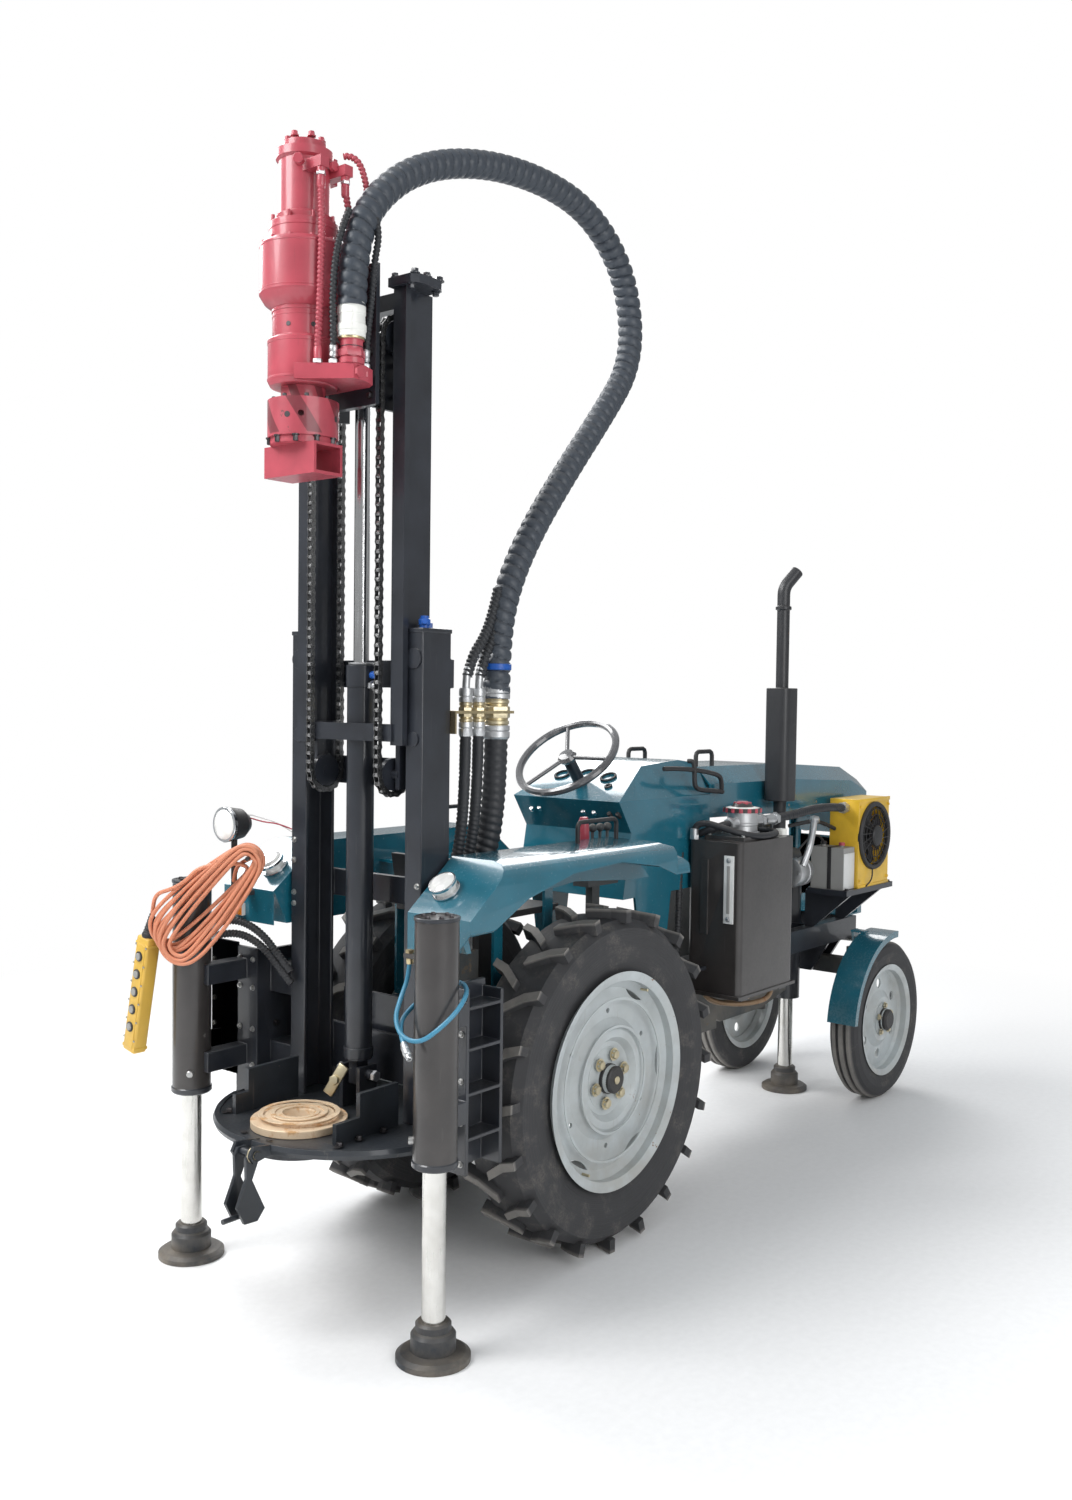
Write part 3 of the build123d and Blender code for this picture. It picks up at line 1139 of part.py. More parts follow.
PENDANT_CABLE = [pendant_point(70 + SEAT_GAP), pendant_point(130), (-946.5, 472.8, 1108.2), (-932, 427.5, 1133.2),
                 (-907.4, 386.2, 1184.1)]

AIR_LINE = [(-862, -408, 1012.7), (-864, -407, 965), (-893, -407, 915), (-922, -414, 866), (-936, -455, 828),
            (-936, -515, 826),
            (-922, -560, 860), (-872, -584, 905), (-812, -566, 945), (-776, -500, 955), (-792, -432, 925),
            (-852, -404, 885), (-922, -424, 850), (-944, -470, 815)]


def air_coupler():
    """The air line's silver coupler."""
    end = Vector(*AIR_LINE[-1])
    way = (end - Vector(*AIR_LINE[-2])).normalized()
    start = end + way * SEAT_GAP
    flat = Plane(origin=tuple(start), z_dir=tuple(way))
    body = extrude(flat * Circle(11), amount=34)
    tip = extrude(Plane(origin=tuple(start + way * 33), z_dir=tuple(way)) * Circle(8), amount=14)
    return fused(body, tip)




def work_lamp():
    """The round work lamp on its neck and foot."""
    x, y, z = LAMP_AT
    body = turned("x", (y, z), [(0, x + 46), (26, x + 44), (44, x + 20), (50, x - 20), (50, x - 34), (42, x - 38),
                                (0, x - 30)])
    neck = rod("z", 1090, z - 40, (x, y), 9)
    foot = block((x - 14, -735.3), (y - 14, y + 14), (1082, 1096))
    across = COIL_LONG.cross(COIL_WIDE).normalized()
    inside = COIL_HALF_LENGTH - COIL_SECTION - COIL_PEG_R - SEAT_GAP
    hold = Vector(*COIL_MIDDLE) - COIL_LONG.normalized() * inside
    corner = hold + across * 81
    peg = rail([(x, y, corner.Z), tuple(corner), tuple(hold - across * 34)], COIL_PEG_R)
    return fused(body, neck, foot, peg)


def lamps():
    """The fender lamps, the reflectors and the two headlamps."""
    shapes = []
    for side in (1, -1):
        y = side * 350
        rise = FENDER_TOP - FENDER_REAR[1]
        run = FENDER_BEND_X - FENDER_REAR[0]
        lean = math.degrees(math.atan2(rise, run))
        spot_z = FENDER_REAR[1] + (FENDER_LAMP_X - FENDER_REAR[0]) * rise / run
        housing = turned("z", (0, 0), [(0, SEAT_GAP), (30, SEAT_GAP), (30, 16), (38, 20), (38, 34), (26, 41), (0, 42)])
        shapes.append(Pos(FENDER_LAMP_X, y, spot_z) * Rot(0, -lean, 0) * housing)
        shapes.append(block((-748, -735.3), sorted((side * 400, side * 440)), (1016, 1052)))
        shapes.append(rod("x", NOSE_X + SEAT_GAP, NOSE_X + 48, (side * 110, 1130), 46))
    return apart(*shapes)


def grab_rails():
    """The black grab bars on the rear fenders."""
    shapes = []
    for side in (1, -1):
        y = side * 330
        shapes.append(rail([(-60, y, FENDER_TOP + SEAT_GAP), (-60, y, 1300), (140, y, 1300),
                            (140, y, FENDER_TOP + SEAT_GAP)], 7))
    return apart(*shapes)


def valve_bank():
    """The valve block with its levers beside the seat."""
    body = block((90, 250), (-262, -200), (1080, 1160))
    shapes = [body]
    for i in range(4):
        x = 110 + 40 * i
        shapes.append(rod("z", 1150, 1250, (x, -230), 5))
        shapes.append(Pos(x, -230, 1262) * Sphere(14))
    shapes.append(block((150, 190), (-232, -206), (RAIL_TOP + SEAT_GAP, 1081)))
    shapes.append(block((150, 190), (-232, -RAIL_Y), (RAIL_TOP + SEAT_GAP, RAIL_TOP + 12)))
    manifold = block((-515, -350), (MANIFOLD_Y - 40, MANIFOLD_Y + 40), (RAIL_TOP + SEAT_GAP, MANIFOLD_TOP))
    return apart(fused(*shapes), manifold)


pieces["cable_coil"] = cable_coil()
pieces["pendant"] = pendant()
pieces["pendant_cable"] = cord(PENDANT_CABLE, 12.0, "pendant cable")
pieces["air_line"] = cord(AIR_LINE, AIR_LINE_D, "air line")
pieces["air_coupler"] = air_coupler()
pieces["work_lamp"] = work_lamp()
pieces["lamps"] = lamps()
pieces["grab_rails"] = grab_rails()
pieces["valve_bank"] = valve_bank()

for name, shape in pieces.items():
    export_step(Pos(AXLE_X, 0, 0) * shape, "parts/" + name + ".step")
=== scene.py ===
"""Looks for the tractor-mounted water well drilling rig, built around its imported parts."""
import logging
import math
import random
from dataclasses import dataclass, field
from enum import Enum
from typing import Callable, Iterable, List, Optional, Sequence, Tuple

import bmesh
import bpy
from mathutils import Matrix, Vector


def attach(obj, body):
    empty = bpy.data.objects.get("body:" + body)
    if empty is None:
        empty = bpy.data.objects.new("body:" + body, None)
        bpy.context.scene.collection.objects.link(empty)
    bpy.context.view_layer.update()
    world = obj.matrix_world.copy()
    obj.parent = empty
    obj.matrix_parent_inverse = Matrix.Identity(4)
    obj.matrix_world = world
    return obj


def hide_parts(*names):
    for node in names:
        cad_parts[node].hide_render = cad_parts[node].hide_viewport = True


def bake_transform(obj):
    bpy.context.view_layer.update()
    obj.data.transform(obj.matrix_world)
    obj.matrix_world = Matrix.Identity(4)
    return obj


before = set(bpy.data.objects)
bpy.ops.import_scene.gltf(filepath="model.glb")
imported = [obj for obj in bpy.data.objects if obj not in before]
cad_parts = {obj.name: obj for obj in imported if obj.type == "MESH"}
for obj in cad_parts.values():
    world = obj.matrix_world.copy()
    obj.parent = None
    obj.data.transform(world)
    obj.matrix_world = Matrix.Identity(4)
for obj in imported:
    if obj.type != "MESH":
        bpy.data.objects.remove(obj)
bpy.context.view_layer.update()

Point = Tuple[float, float, float]
Colour = Tuple[float, float, float]

LOG = logging.getLogger("rig")
REAR_AXLE_X = -0.6075
WHEELBASE = 2.050

# Camera fitted to the photograph, in the frame of the parts
CAMERA_AT = (-3.9393, -2.8084, 1.6827)
CAMERA_RIGHT = (0.62904, -0.77727, 0.01260)
CAMERA_UP = (0.02317, 0.03495, 0.99912)
CAMERA_BACK = (-0.77703, -0.62819, 0.04000)
CAMERA_LENS = 32.589
CAMERA_SENSOR = 36.0

# Lamps as name, place, size and power, and the point that they face
LAMPS = (("key", (-5.2, 1.8, 5.6), 3.4, 330.0), ("fill", (-2.6, -6.0, 3.2), 4.5, 170.0),
         ("rim", (4.6, 3.6, 4.8), 4.0, 170.0), ("sky", (-0.9, 3.0, 4.6), 2.6, 120.0))
LAMP_AIM = (-0.6, 0.0, 1.3)
SKY_STRENGTH = 0.62
FLOOR_SIZE = 40.0
FLOOR_DROP = 0.0005
FLOOR_FADE = (2.2, 4.6)

# Colours that more than one finish has
DUST = (0.30, 0.25, 0.19)
WORN_BAR = (0.27, 0.255, 0.235)

# Radii of the tyres and of their walls' outer rings; an axle's height is its tyre's radius
REAR_RADIUS, REAR_WALL = 0.520, 0.345
FRONT_RADIUS, FRONT_WALL = 0.330, 0.245


def place(x: float, y: float, z: float) -> Vector:
    """A point given from the rear axle's middle on the ground, in the frame of the parts.

    Args:
        x: metres forward of the rear axle.
        y: metres to the left.
        z: metres above the ground.

    Returns:
        The point in the shared frame.
    """
    return Vector((x + REAR_AXLE_X, y, z))


def once(found: Iterable) -> List:
    """Each thing once, in the order in which it is found first."""
    return list(dict.fromkeys(found))


def placed(route: Sequence[Point]) -> List[Point]:
    """A route's points in the shared frame."""
    return [tuple(place(*point)) for point in route]


class Side(Enum):
    """The two sides of the tractor, with their sign along Y."""

    LEFT = 1
    RIGHT = -1


# Shader building

class Tree:
    """Adds and joins the nodes of one material or node group."""

    def __init__(self, tree: bpy.types.NodeTree) -> None:
        """Keeps the tree to build in."""
        self.tree = tree
        self.column = 0

    def add(self, kind: str, **settings: object) -> bpy.types.Node:
        """Adds a node.

        Args:
            kind: the node's type name.
            settings: properties to set on it.

        Returns:
            The new node.
        """
        node = self.tree.nodes.new(kind)
        self.column += 1
        node.location = (180 * (self.column % 12), -220 * (self.column // 12))
        for name, value in settings.items():
            setattr(node, name, value)
        return node

    def feed(self, socket: bpy.types.NodeSocket, value: object) -> None:
        """Links an output to a socket, or sets the socket's own value."""
        if isinstance(value, bpy.types.NodeSocket):
            self.tree.links.new(value, socket)
        elif value is not None:
            socket.default_value = value

    def math(self, operation: str, a: object, b: object = None, clamp: bool = False) -> bpy.types.NodeSocket:
        """A Math node's result for one or two values."""
        node = self.add("ShaderNodeMath", operation=operation, use_clamp=clamp)
        self.feed(node.inputs[0], a)
        if b is not None:
            self.feed(node.inputs[1], b)
        return node.outputs[0]

    def noise(self, vector: object, scale: object, detail: float = 4.0, rough: float = 0.55) -> bpy.types.NodeSocket:
        """A noise value over a vector."""
        node = self.add("ShaderNodeTexNoise")
        self.feed(node.inputs["Vector"], vector)
        self.feed(node.inputs["Scale"], scale)
        node.inputs["Detail"].default_value = detail
        node.inputs["Roughness"].default_value = rough
        return node.outputs["Fac"]

    def span(self, value: object, low: object, high: object, to_low: object = 0.0,
             to_high: object = 1.0) -> bpy.types.NodeSocket:
        """A value's range mapped to another, clamped."""
        node = self.add("ShaderNodeMapRange", clamp=True)
        for i, item in enumerate((value, low, high, to_low, to_high)):
            self.feed(node.inputs[i], item)
        return node.outputs[0]

    def mix(self, factor: object, a: object, b: object) -> bpy.types.NodeSocket:
        """Two colours mixed by a factor."""
        node = self.add("ShaderNodeMix", data_type="RGBA")
        self.feed(node.inputs[0], factor)
        self.feed(node.inputs[6], a)
        self.feed(node.inputs[7], b)
        return node.outputs[2]

    def fill(self, node: bpy.types.Node, **values: object) -> None:
        """Feeds a node's inputs by name, with underscores for spaces."""
        for name, value in values.items():
            self.feed(node.inputs[name.replace("_", " ")], value)

    def group(self, tree: bpy.types.NodeTree, **values: object) -> bpy.types.Node:
        """A shared group placed here with its own values."""
        node = self.add("ShaderNodeGroup", node_tree=tree)
        self.fill(node, **values)
        return node

    def mask(self, tree: bpy.types.NodeTree, **values: object) -> bpy.types.NodeSocket:
        """The mask that a shared group gives for these values."""
        return self.group(tree, **values).outputs["Mask"]

    def times(self, a: object, b: object, clamp: bool = False) -> bpy.types.NodeSocket:
        """Two values multiplied."""
        return self.math("MULTIPLY", a, b, clamp)

    def plus(self, a: object, b: object, clamp: bool = False) -> bpy.types.NodeSocket:
        """Two values added."""
        return self.math("ADD", a, b, clamp)

    def split(self, vector: object) -> Sequence[bpy.types.NodeSocket]:
        """A vector's X, Y and Z."""
        node = self.add("ShaderNodeSeparateXYZ")
        self.feed(node.inputs[0], vector)
        return node.outputs

    def stretch(self, vector: object, scale: Point, turn: Point = (0.0, 0.0, 0.0)) -> bpy.types.NodeSocket:
        """A vector scaled along each axis and turned."""
        node = self.add("ShaderNodeMapping")
        self.fill(node, Vector=vector, Scale=scale, Rotation=turn)
        return node.outputs[0]

    def bump(self, body: bpy.types.Node, height: object, strength: float, distance: float) -> None:
        """Raises a surface by a height."""
        node = self.add("ShaderNodeBump")
        self.fill(node, Strength=strength, Distance=distance, Height=height)
        self.feed(body.inputs["Normal"], node.outputs[0])


def new_group(name: str, inputs: Sequence[Tuple[str, str, object]], outputs: Sequence[Tuple[str, str]]) \
        -> Tuple[bpy.types.NodeTree, Tree, bpy.types.Node, bpy.types.Node]:
    """Starts a shared node group.

    Args:
        name: the group's name.
        inputs: rows of name, socket type and default.
        outputs: rows of name and socket type.

    Returns:
        The group, its builder, and its input and output nodes.
    """
    tree = bpy.data.node_groups.new(name, "ShaderNodeTree")
    for title, kind, default in inputs:
        socket = tree.interface.new_socket(title, in_out="INPUT", socket_type=kind)
        if default is not None:
            socket.default_value = default
    for title, kind in outputs:
        tree.interface.new_socket(title, in_out="OUTPUT", socket_type=kind)
    build = Tree(tree)
    return tree, build, build.add("NodeGroupInput"), build.add("NodeGroupOutput")


class SharedEffects:
    """The node groups that more than one finish uses."""

    def __init__(self) -> None:
        """Builds every shared group once."""
        self.chips = self._chips()
        self.dust = self._dust()
        self.grain = self._grain()

    def _chips(self) -> bpy.types.NodeTree:
        """Paint chips and scratches: a mask and its height."""
        tree, t, src, out = new_group(
            "paint_chips",
            [("Vector", "NodeSocketVector", None), ("Scale", "NodeSocketFloat", 30.0),
             ("Amount", "NodeSocketFloat", 0.3)],
            [("Mask", "NodeSocketFloat"), ("Height", "NodeSocketFloat")])
        vector, scale, amount = src.outputs[0], src.outputs[1], src.outputs[2]
        fine = t.noise(vector, scale, 8.0, 0.7)
        wide = t.noise(vector, t.times(scale, 0.12), 3.0, 0.5)
        lines = t.noise(t.stretch(vector, (1.0, 1.0, 0.08), (0.5, 0.3, 0.2)), t.times(scale, 3.0), 2.0, 0.4)
        scratch = t.span(lines, 0.70, 0.73)
        both = t.times(fine, wide)
        level = t.span(amount, 0.0, 1.0, 0.50, 0.22)
        spots = t.span(both, level, t.plus(level, 0.015))
        mask = t.math("MAXIMUM", spots, t.times(scratch, t.times(amount, 0.5)), clamp=True)
        t.feed(out.inputs[0], mask)
        t.feed(out.inputs[1], t.math("SUBTRACT", 1.0, mask))
        return tree

    def _dust(self) -> bpy.types.NodeTree:
        """Dust that lies on upward faces and thickens towards the ground."""
        tree, t, src, out = new_group(
            "settled_dust",
            [("Vector", "NodeSocketVector", None), ("Low", "NodeSocketFloat", 0.0), ("High", "NodeSocketFloat", 1.2),
             ("Ground", "NodeSocketFloat", 0.3), ("Top", "NodeSocketFloat", 0.2)],
            [("Mask", "NodeSocketFloat")])
        vector = src.outputs[0]
        facing = t.split(t.add("ShaderNodeNewGeometry").outputs["Normal"])
        low = t.span(t.split(vector)[2], src.outputs[1], src.outputs[2], 1.0, 0.0)
        cloud = t.noise(vector, 7.0, 6.0, 0.62)
        patch = t.span(cloud, 0.38, 0.68)
        ground = t.times(t.times(low, src.outputs[3]), patch)
        up = t.span(facing[2], 0.35, 0.95)
        top = t.times(t.times(up, src.outputs[4]), t.span(cloud, 0.25, 0.75))
        t.feed(out.inputs[0], t.math("MAXIMUM", ground, top, clamp=True))
        return tree

    def _grain(self) -> bpy.types.NodeTree:
        """Fine unevenness of a surface, for roughness and bump."""
        tree, t, src, out = new_group(
            "fine_grain",
            [("Vector", "NodeSocketVector", None), ("Scale", "NodeSocketFloat", 120.0)],
            [("Fine", "NodeSocketFloat"), ("Wide", "NodeSocketFloat")])
        t.feed(out.inputs[0], t.noise(src.outputs[0], src.outputs[1], 6.0, 0.6))
        t.feed(out.inputs[1], t.noise(src.outputs[0], t.times(src.outputs[1], 0.07), 4.0, 0.55))
        return tree


EFFECTS = SharedEffects()


def shader(name: str) -> Tuple[bpy.types.Material, Tree, bpy.types.Node, bpy.types.NodeSocket]:
    """Starts a material.

    Args:
        name: the material's name.

    Returns:
        The material, its builder, its Principled node and the object's coordinates.
    """
    material = bpy.data.materials.new(name)
    material.use_nodes = True
    material.node_tree.nodes.clear()
    t = Tree(material.node_tree)
    body = t.add("ShaderNodeBsdfPrincipled")
    out = t.add("ShaderNodeOutputMaterial")
    t.feed(out.inputs[0], body.outputs[0])
    coordinates = t.add("ShaderNodeTexCoord").outputs["Object"]
    return material, t, body, coordinates


def tint(colour: Colour, factor: float = 1.0) -> Tuple[float, float, float, float]:
    """A colour scaled in brightness, with its alpha."""
    return (min(colour[0] * factor, 1.0), min(colour[1] * factor, 1.0), min(colour[2] * factor, 1.0), 1.0)


@dataclass(frozen=True)
class Paint:
    """Sprayed paint over metal, with fading, chips, dust and orange peel."""

    name: str
    colour: Colour
    roughness: float = 0.3
    coat: float = 0.5
    mottle: float = 0.18
    chips: float = 0.25
    chip_scale: float = 34.0
    chip_colour: Colour = (0.16, 0.13, 0.11)
    dust: float = 0.25
    top_dust: float = 0.15
    dust_high: float = 1.3
    dust_colour: Colour = DUST
    metallic: float = 0.0
    peel: float = 0.25
    bands: Optional[Tuple[float, float]] = None

    def slanting_dark_bands(self, t: Tree, at: bpy.types.NodeSocket) -> bpy.types.NodeSocket:
        """Slanting darker bands round an upright axis, above a set height."""
        split = t.split(at)
        angle = t.math("ARCTAN2", t.math("SUBTRACT", split[1], self.bands[1]),
                       t.math("SUBTRACT", split[0], self.bands[0]))
        slant = t.plus(t.times(angle, 5.0), t.times(split[2], 34.0))
        wave = t.math("SINE", slant)
        return t.times(t.span(wave, 0.42, 0.5), t.span(split[2], 2.366, 2.369), clamp=True)

    def build(self) -> bpy.types.Material:
        """Makes the material."""
        material, t, body, at = shader(self.name)
        grain = t.group(EFFECTS.grain, Vector=at, Scale=110.0)
        fade = t.span(grain.outputs["Wide"], 0.3, 0.72, 1.0 - self.mottle, 1.0 + self.mottle)
        base = t.add("ShaderNodeMix", data_type="RGBA", blend_type="MULTIPLY")
        base.inputs[0].default_value = 1.0
        base.inputs[6].default_value = tint(self.colour)
        grey = t.add("ShaderNodeCombineColor")
        for i in range(3):
            t.feed(grey.inputs[i], fade)
        t.feed(base.inputs[7], grey.outputs[0])
        chips = t.group(EFFECTS.chips, Vector=at, Scale=self.chip_scale, Amount=self.chips)
        dust = t.mask(EFFECTS.dust, Vector=at, Low=0.0, High=self.dust_high, Ground=self.dust, Top=self.top_dust)
        painted = base.outputs[2]
        if self.bands:
            # Slanting bands darkened to 42 per cent of the paint's colour on the chuck
            painted = t.mix(self.slanting_dark_bands(t, at), painted, tint(self.colour, 0.42))
        colour = t.mix(chips.outputs["Mask"], painted, tint(self.chip_colour))
        colour = t.mix(dust, colour, tint(self.dust_colour))
        t.fill(body, Base_Color=colour)
        rough = t.span(grain.outputs["Fine"], 0.25, 0.75, self.roughness - 0.06, self.roughness + 0.08)
        rough = t.plus(rough, t.times(dust, 0.5), clamp=True)
        rough = t.plus(rough, t.times(chips.outputs["Mask"], 0.3), clamp=True)
        t.fill(body, Roughness=rough)
        t.fill(body, Metallic=self.metallic, Coat_Roughness=0.08)
        clear = t.times(t.math("SUBTRACT", 1.0, t.math("MAXIMUM", dust, chips.outputs["Mask"])), self.coat)
        t.fill(body, Coat_Weight=clear)
        peel = t.noise(at, 260.0, 2.0, 0.4)
        height = t.plus(t.times(peel, self.peel), t.times(chips.outputs["Height"], 0.8))
        t.bump(body, height, 0.25, 0.0008)
        return material


@dataclass(frozen=True)
class BareMetal:
    """Bright or dull metal with fine scratches, stains and rust."""

    name: str
    colour: Colour
    roughness: float = 0.3
    metallic: float = 1.0
    rust: float = 0.0
    rust_colour: Colour = (0.23, 0.10, 0.045)
    rust_scale: float = 22.0
    brushed: Point = (1.0, 1.0, 1.0)
    stain: float = 0.2
    dust: float = 0.1

    def build(self) -> bpy.types.Material:
        """Makes the material."""
        material, t, body, at = shader(self.name)
        lines = t.noise(t.stretch(at, self.brushed), 300.0, 5.0, 0.6)
        wide = t.noise(at, 9.0, 5.0, 0.6)
        patch = t.noise(at, self.rust_scale, 8.0, 0.68)
        level = 0.75 - 0.45 * self.rust
        rust = t.span(patch, level, level + 0.12, 0.0, 1.0 if self.rust else 0.0)
        dust = t.mask(EFFECTS.dust, Vector=at, Low=0.0, High=0.9, Ground=self.dust, Top=self.dust)
        colour = t.mix(t.span(wide, 0.35, 0.7, 0.0, self.stain), tint(self.colour), tint(self.colour, 0.5))
        colour = t.mix(rust, colour, tint(self.rust_colour))
        colour = t.mix(dust, colour, tint(DUST))
        t.fill(body, Base_Color=colour)
        cover = t.math("MAXIMUM", rust, dust, clamp=True)
        t.fill(body, Metallic=t.times(t.math("SUBTRACT", 1.0, cover), self.metallic))
        rough = t.span(lines, 0.3, 0.7, self.roughness - 0.08, self.roughness + 0.1)
        t.fill(body, Roughness=t.plus(rough, t.times(cover, 0.55), clamp=True))
        t.bump(body, t.plus(t.times(lines, 0.4), t.times(patch, 0.8)), 0.2, 0.0006)
        return material


@dataclass(frozen=True)
class Moulded:
    """Plastic or rubber with a fine texture, scuffs and dust."""

    name: str
    colour: Colour
    roughness: float = 0.5
    texture: float = 0.3
    scuff: float = 0.2
    dust: float = 0.15
    scale: float = 180.0
    dust_high: float = 1.2

    def build(self) -> bpy.types.Material:
        """Makes the material."""
        material, t, body, at = shader(self.name)
        grain = t.group(EFFECTS.grain, Vector=at, Scale=self.scale)
        scuff = t.mask(EFFECTS.chips, Vector=at, Scale=26.0, Amount=self.scuff)
        dust = t.mask(EFFECTS.dust, Vector=at, Low=0.0, High=self.dust_high, Ground=self.dust, Top=self.dust)
        colour = t.mix(t.span(grain.outputs["Wide"], 0.3, 0.7, 0.0, 0.35), tint(self.colour), tint(self.colour, 0.72))
        colour = t.mix(t.times(scuff, 0.4), colour, tint(self.colour, 2.2))
        colour = t.mix(dust, colour, (0.30, 0.26, 0.21, 1.0))
        t.fill(body, Base_Color=colour)
        rough = t.span(grain.outputs["Fine"], 0.3, 0.7, self.roughness - 0.08, self.roughness + 0.1)
        t.fill(body, Roughness=t.plus(rough, t.times(dust, 0.35), clamp=True))
        t.bump(body, grain.outputs["Fine"], self.texture, 0.0006)
        return material


@dataclass(frozen=True)
class TyreRubber:
    """Tyre rubber: dark in the grooves, pale and dusty on the worn bars."""

    name: str
    centre: Point
    tread_radius: float
    wall_radius: float
    colour: Colour = (0.030, 0.030, 0.032)
    dust_colour: Colour = (0.20, 0.18, 0.15)

    def build(self) -> bpy.types.Material:
        """Makes the material."""
        material, t, body, at = shader(self.name)
        split = t.split(at)
        dx = t.math("SUBTRACT", split[0], self.centre[0])
        dz = t.math("SUBTRACT", split[2], self.centre[2])
        radius = t.math("SQRT", t.plus(t.times(dx, dx), t.times(dz, dz)))
        worn = t.span(radius, self.tread_radius - 0.012, self.tread_radius - 0.002)
        cloud = t.noise(at, 14.0, 7.0, 0.65)
        fine = t.noise(at, 150.0, 5.0, 0.6)
        wave = t.math("SINE", t.times(radius, 2 * math.pi / 0.011))
        wall = t.times(t.span(radius, self.wall_radius, self.wall_radius + 0.01),
                      t.span(radius, self.tread_radius - 0.055, self.tread_radius - 0.065))
        rings = t.times(t.span(wave, 0.7, 0.95), wall)
        wear = t.times(worn, t.span(cloud, 0.25, 0.7, 0.45, 0.95))
        mud = t.times(t.span(cloud, 0.52, 0.72, 0.0, 0.45), t.span(fine, 0.35, 0.6))
        colour = t.mix(t.span(cloud, 0.3, 0.7), tint(self.colour), tint(self.colour, 1.7))
        colour = t.mix(wear, colour, tint(WORN_BAR))
        colour = t.mix(mud, colour, tint(self.dust_colour))
        t.fill(body, Base_Color=colour)
        t.fill(body, Roughness=t.span(cloud, 0.3, 0.7, 0.62, 0.86))
        height = t.plus(t.times(fine, 0.5), t.times(rings, 1.0))
        t.bump(body, height, 0.45, 0.0015)
        return material


@dataclass(frozen=True)
class RodAndFoot:
    """A leg's finish: bright rod above, black paint on the foot below."""

    name: str
    foot_top: float = 0.1005

    def build(self) -> bpy.types.Material:
        """Makes the material."""
        material, t, body, at = shader(self.name)
        split = t.split(at)
        foot = t.math("LESS_THAN", split[2], self.foot_top)
        chips = t.group(EFFECTS.chips, Vector=at, Scale=38.0, Amount=0.5)
        dust = t.mask(EFFECTS.dust, Vector=at, Low=0.0, High=0.12, Ground=0.7, Top=0.6)
        smear = t.noise(at, 16.0, 5.0, 0.6)
        lines = t.noise(t.stretch(at, (1.0, 1.0, 0.06)), 160.0, 4.0, 0.6)
        rod = t.mix(t.span(smear, 0.45, 0.75, 0.0, 0.4), (0.72, 0.71, 0.68, 1.0), (0.42, 0.40, 0.36, 1.0))
        paint = t.mix(chips.outputs["Mask"], (0.022, 0.026, 0.032, 1.0), (0.10, 0.09, 0.08, 1.0))
        paint = t.mix(dust, paint, (0.26, 0.22, 0.17, 1.0))
        t.fill(body, Base_Color=t.mix(foot, rod, paint))
        t.fill(body, Metallic=t.math("SUBTRACT", 1.0, foot))
        shine = t.span(lines, 0.3, 0.7, 0.12, 0.3)
        t.fill(body, Roughness=t.plus(shine, t.times(foot, 0.25)))
        t.bump(body, t.plus(lines, chips.outputs["Height"]), 0.12, 0.0005)
        return material


@dataclass(frozen=True)
class Lens:
    """Clear or tinted lamp plastic with pressed ribs."""

    name: str
    colour: Colour
    transmission: float = 0.35
    ribs: float = 380.0

    def build(self) -> bpy.types.Material:
        """Makes the material."""
        material, t, body, at = shader(self.name)
        split = t.split(at)
        wave = t.math("SINE", t.times(split[1], self.ribs))
        cross = t.math("SINE", t.times(split[2], self.ribs))
        cloud = t.noise(at, 40.0, 3.0, 0.5)
        t.fill(body, Base_Color=t.mix(t.span(cloud, 0.3, 0.7, 0.0, 0.4), tint(self.colour), tint(self.colour, 0.82)))
        t.fill(body, Roughness=t.span(cloud, 0.3, 0.7, 0.08, 0.2))
        t.fill(body, Transmission_Weight=self.transmission, Coat_Weight=0.6)
        t.bump(body, t.times(wave, cross), 0.35, 0.001)
        return material


# Finishes

TEAL = Paint("teal_paint", (0.010, 0.122, 0.178), roughness=0.22, coat=0.9, mottle=0.12, chips=0.10, dust=0.25,
             top_dust=0.06, dust_high=0.9)
BLACK = Paint("mast_black_paint", (0.018, 0.021, 0.028), roughness=0.34, coat=0.45, mottle=0.3, chips=0.2,
              chip_colour=(0.12, 0.115, 0.11), dust=0.18, top_dust=0.12, dust_high=0.9,
              dust_colour=(0.20, 0.18, 0.15))
TABLE_BLACK = Paint("table_black_paint", (0.018, 0.022, 0.028), roughness=0.4, coat=0.3, mottle=0.3, chips=0.42,
                    chip_colour=(0.16, 0.14, 0.12), dust=0.16, top_dust=0.14, dust_high=0.7,
                    dust_colour=(0.15, 0.15, 0.14))
WARM_BLACK = Paint("leg_black_paint", (0.034, 0.030, 0.029), roughness=0.36, coat=0.45, mottle=0.25, chips=0.2,
                   chip_colour=(0.12, 0.115, 0.11), dust=0.14, top_dust=0.12, dust_high=0.9,
                   dust_colour=(0.20, 0.18, 0.15))
STEERING = Paint("steering_wheel_gloss", (0.085, 0.085, 0.090), roughness=0.2, coat=1.0, mottle=0.1, chips=0.05,
                 dust=0.05, top_dust=0.05)
RED = Paint("head_red_paint", (0.44, 0.062, 0.088), roughness=0.36, coat=0.35, mottle=0.16, chips=0.22,
            chip_colour=(0.10, 0.05, 0.05), dust=0.0, top_dust=0.12, dust_colour=(0.35, 0.22, 0.20))
CHUCK_RED = Paint("chuck_red_paint", (0.44, 0.062, 0.088), roughness=0.4, coat=0.3, mottle=0.2, chips=0.3,
                  chip_colour=(0.10, 0.05, 0.05), dust=0.0, top_dust=0.1, bands=(-0.870 + REAR_AXLE_X, 0.0))
GREY = Paint("rim_grey_paint", (0.46, 0.50, 0.51), roughness=0.36, coat=0.25, mottle=0.14, chips=0.26,
             chip_colour=(0.22, 0.13, 0.08), dust=0.5, top_dust=0.2, dust_high=1.0)
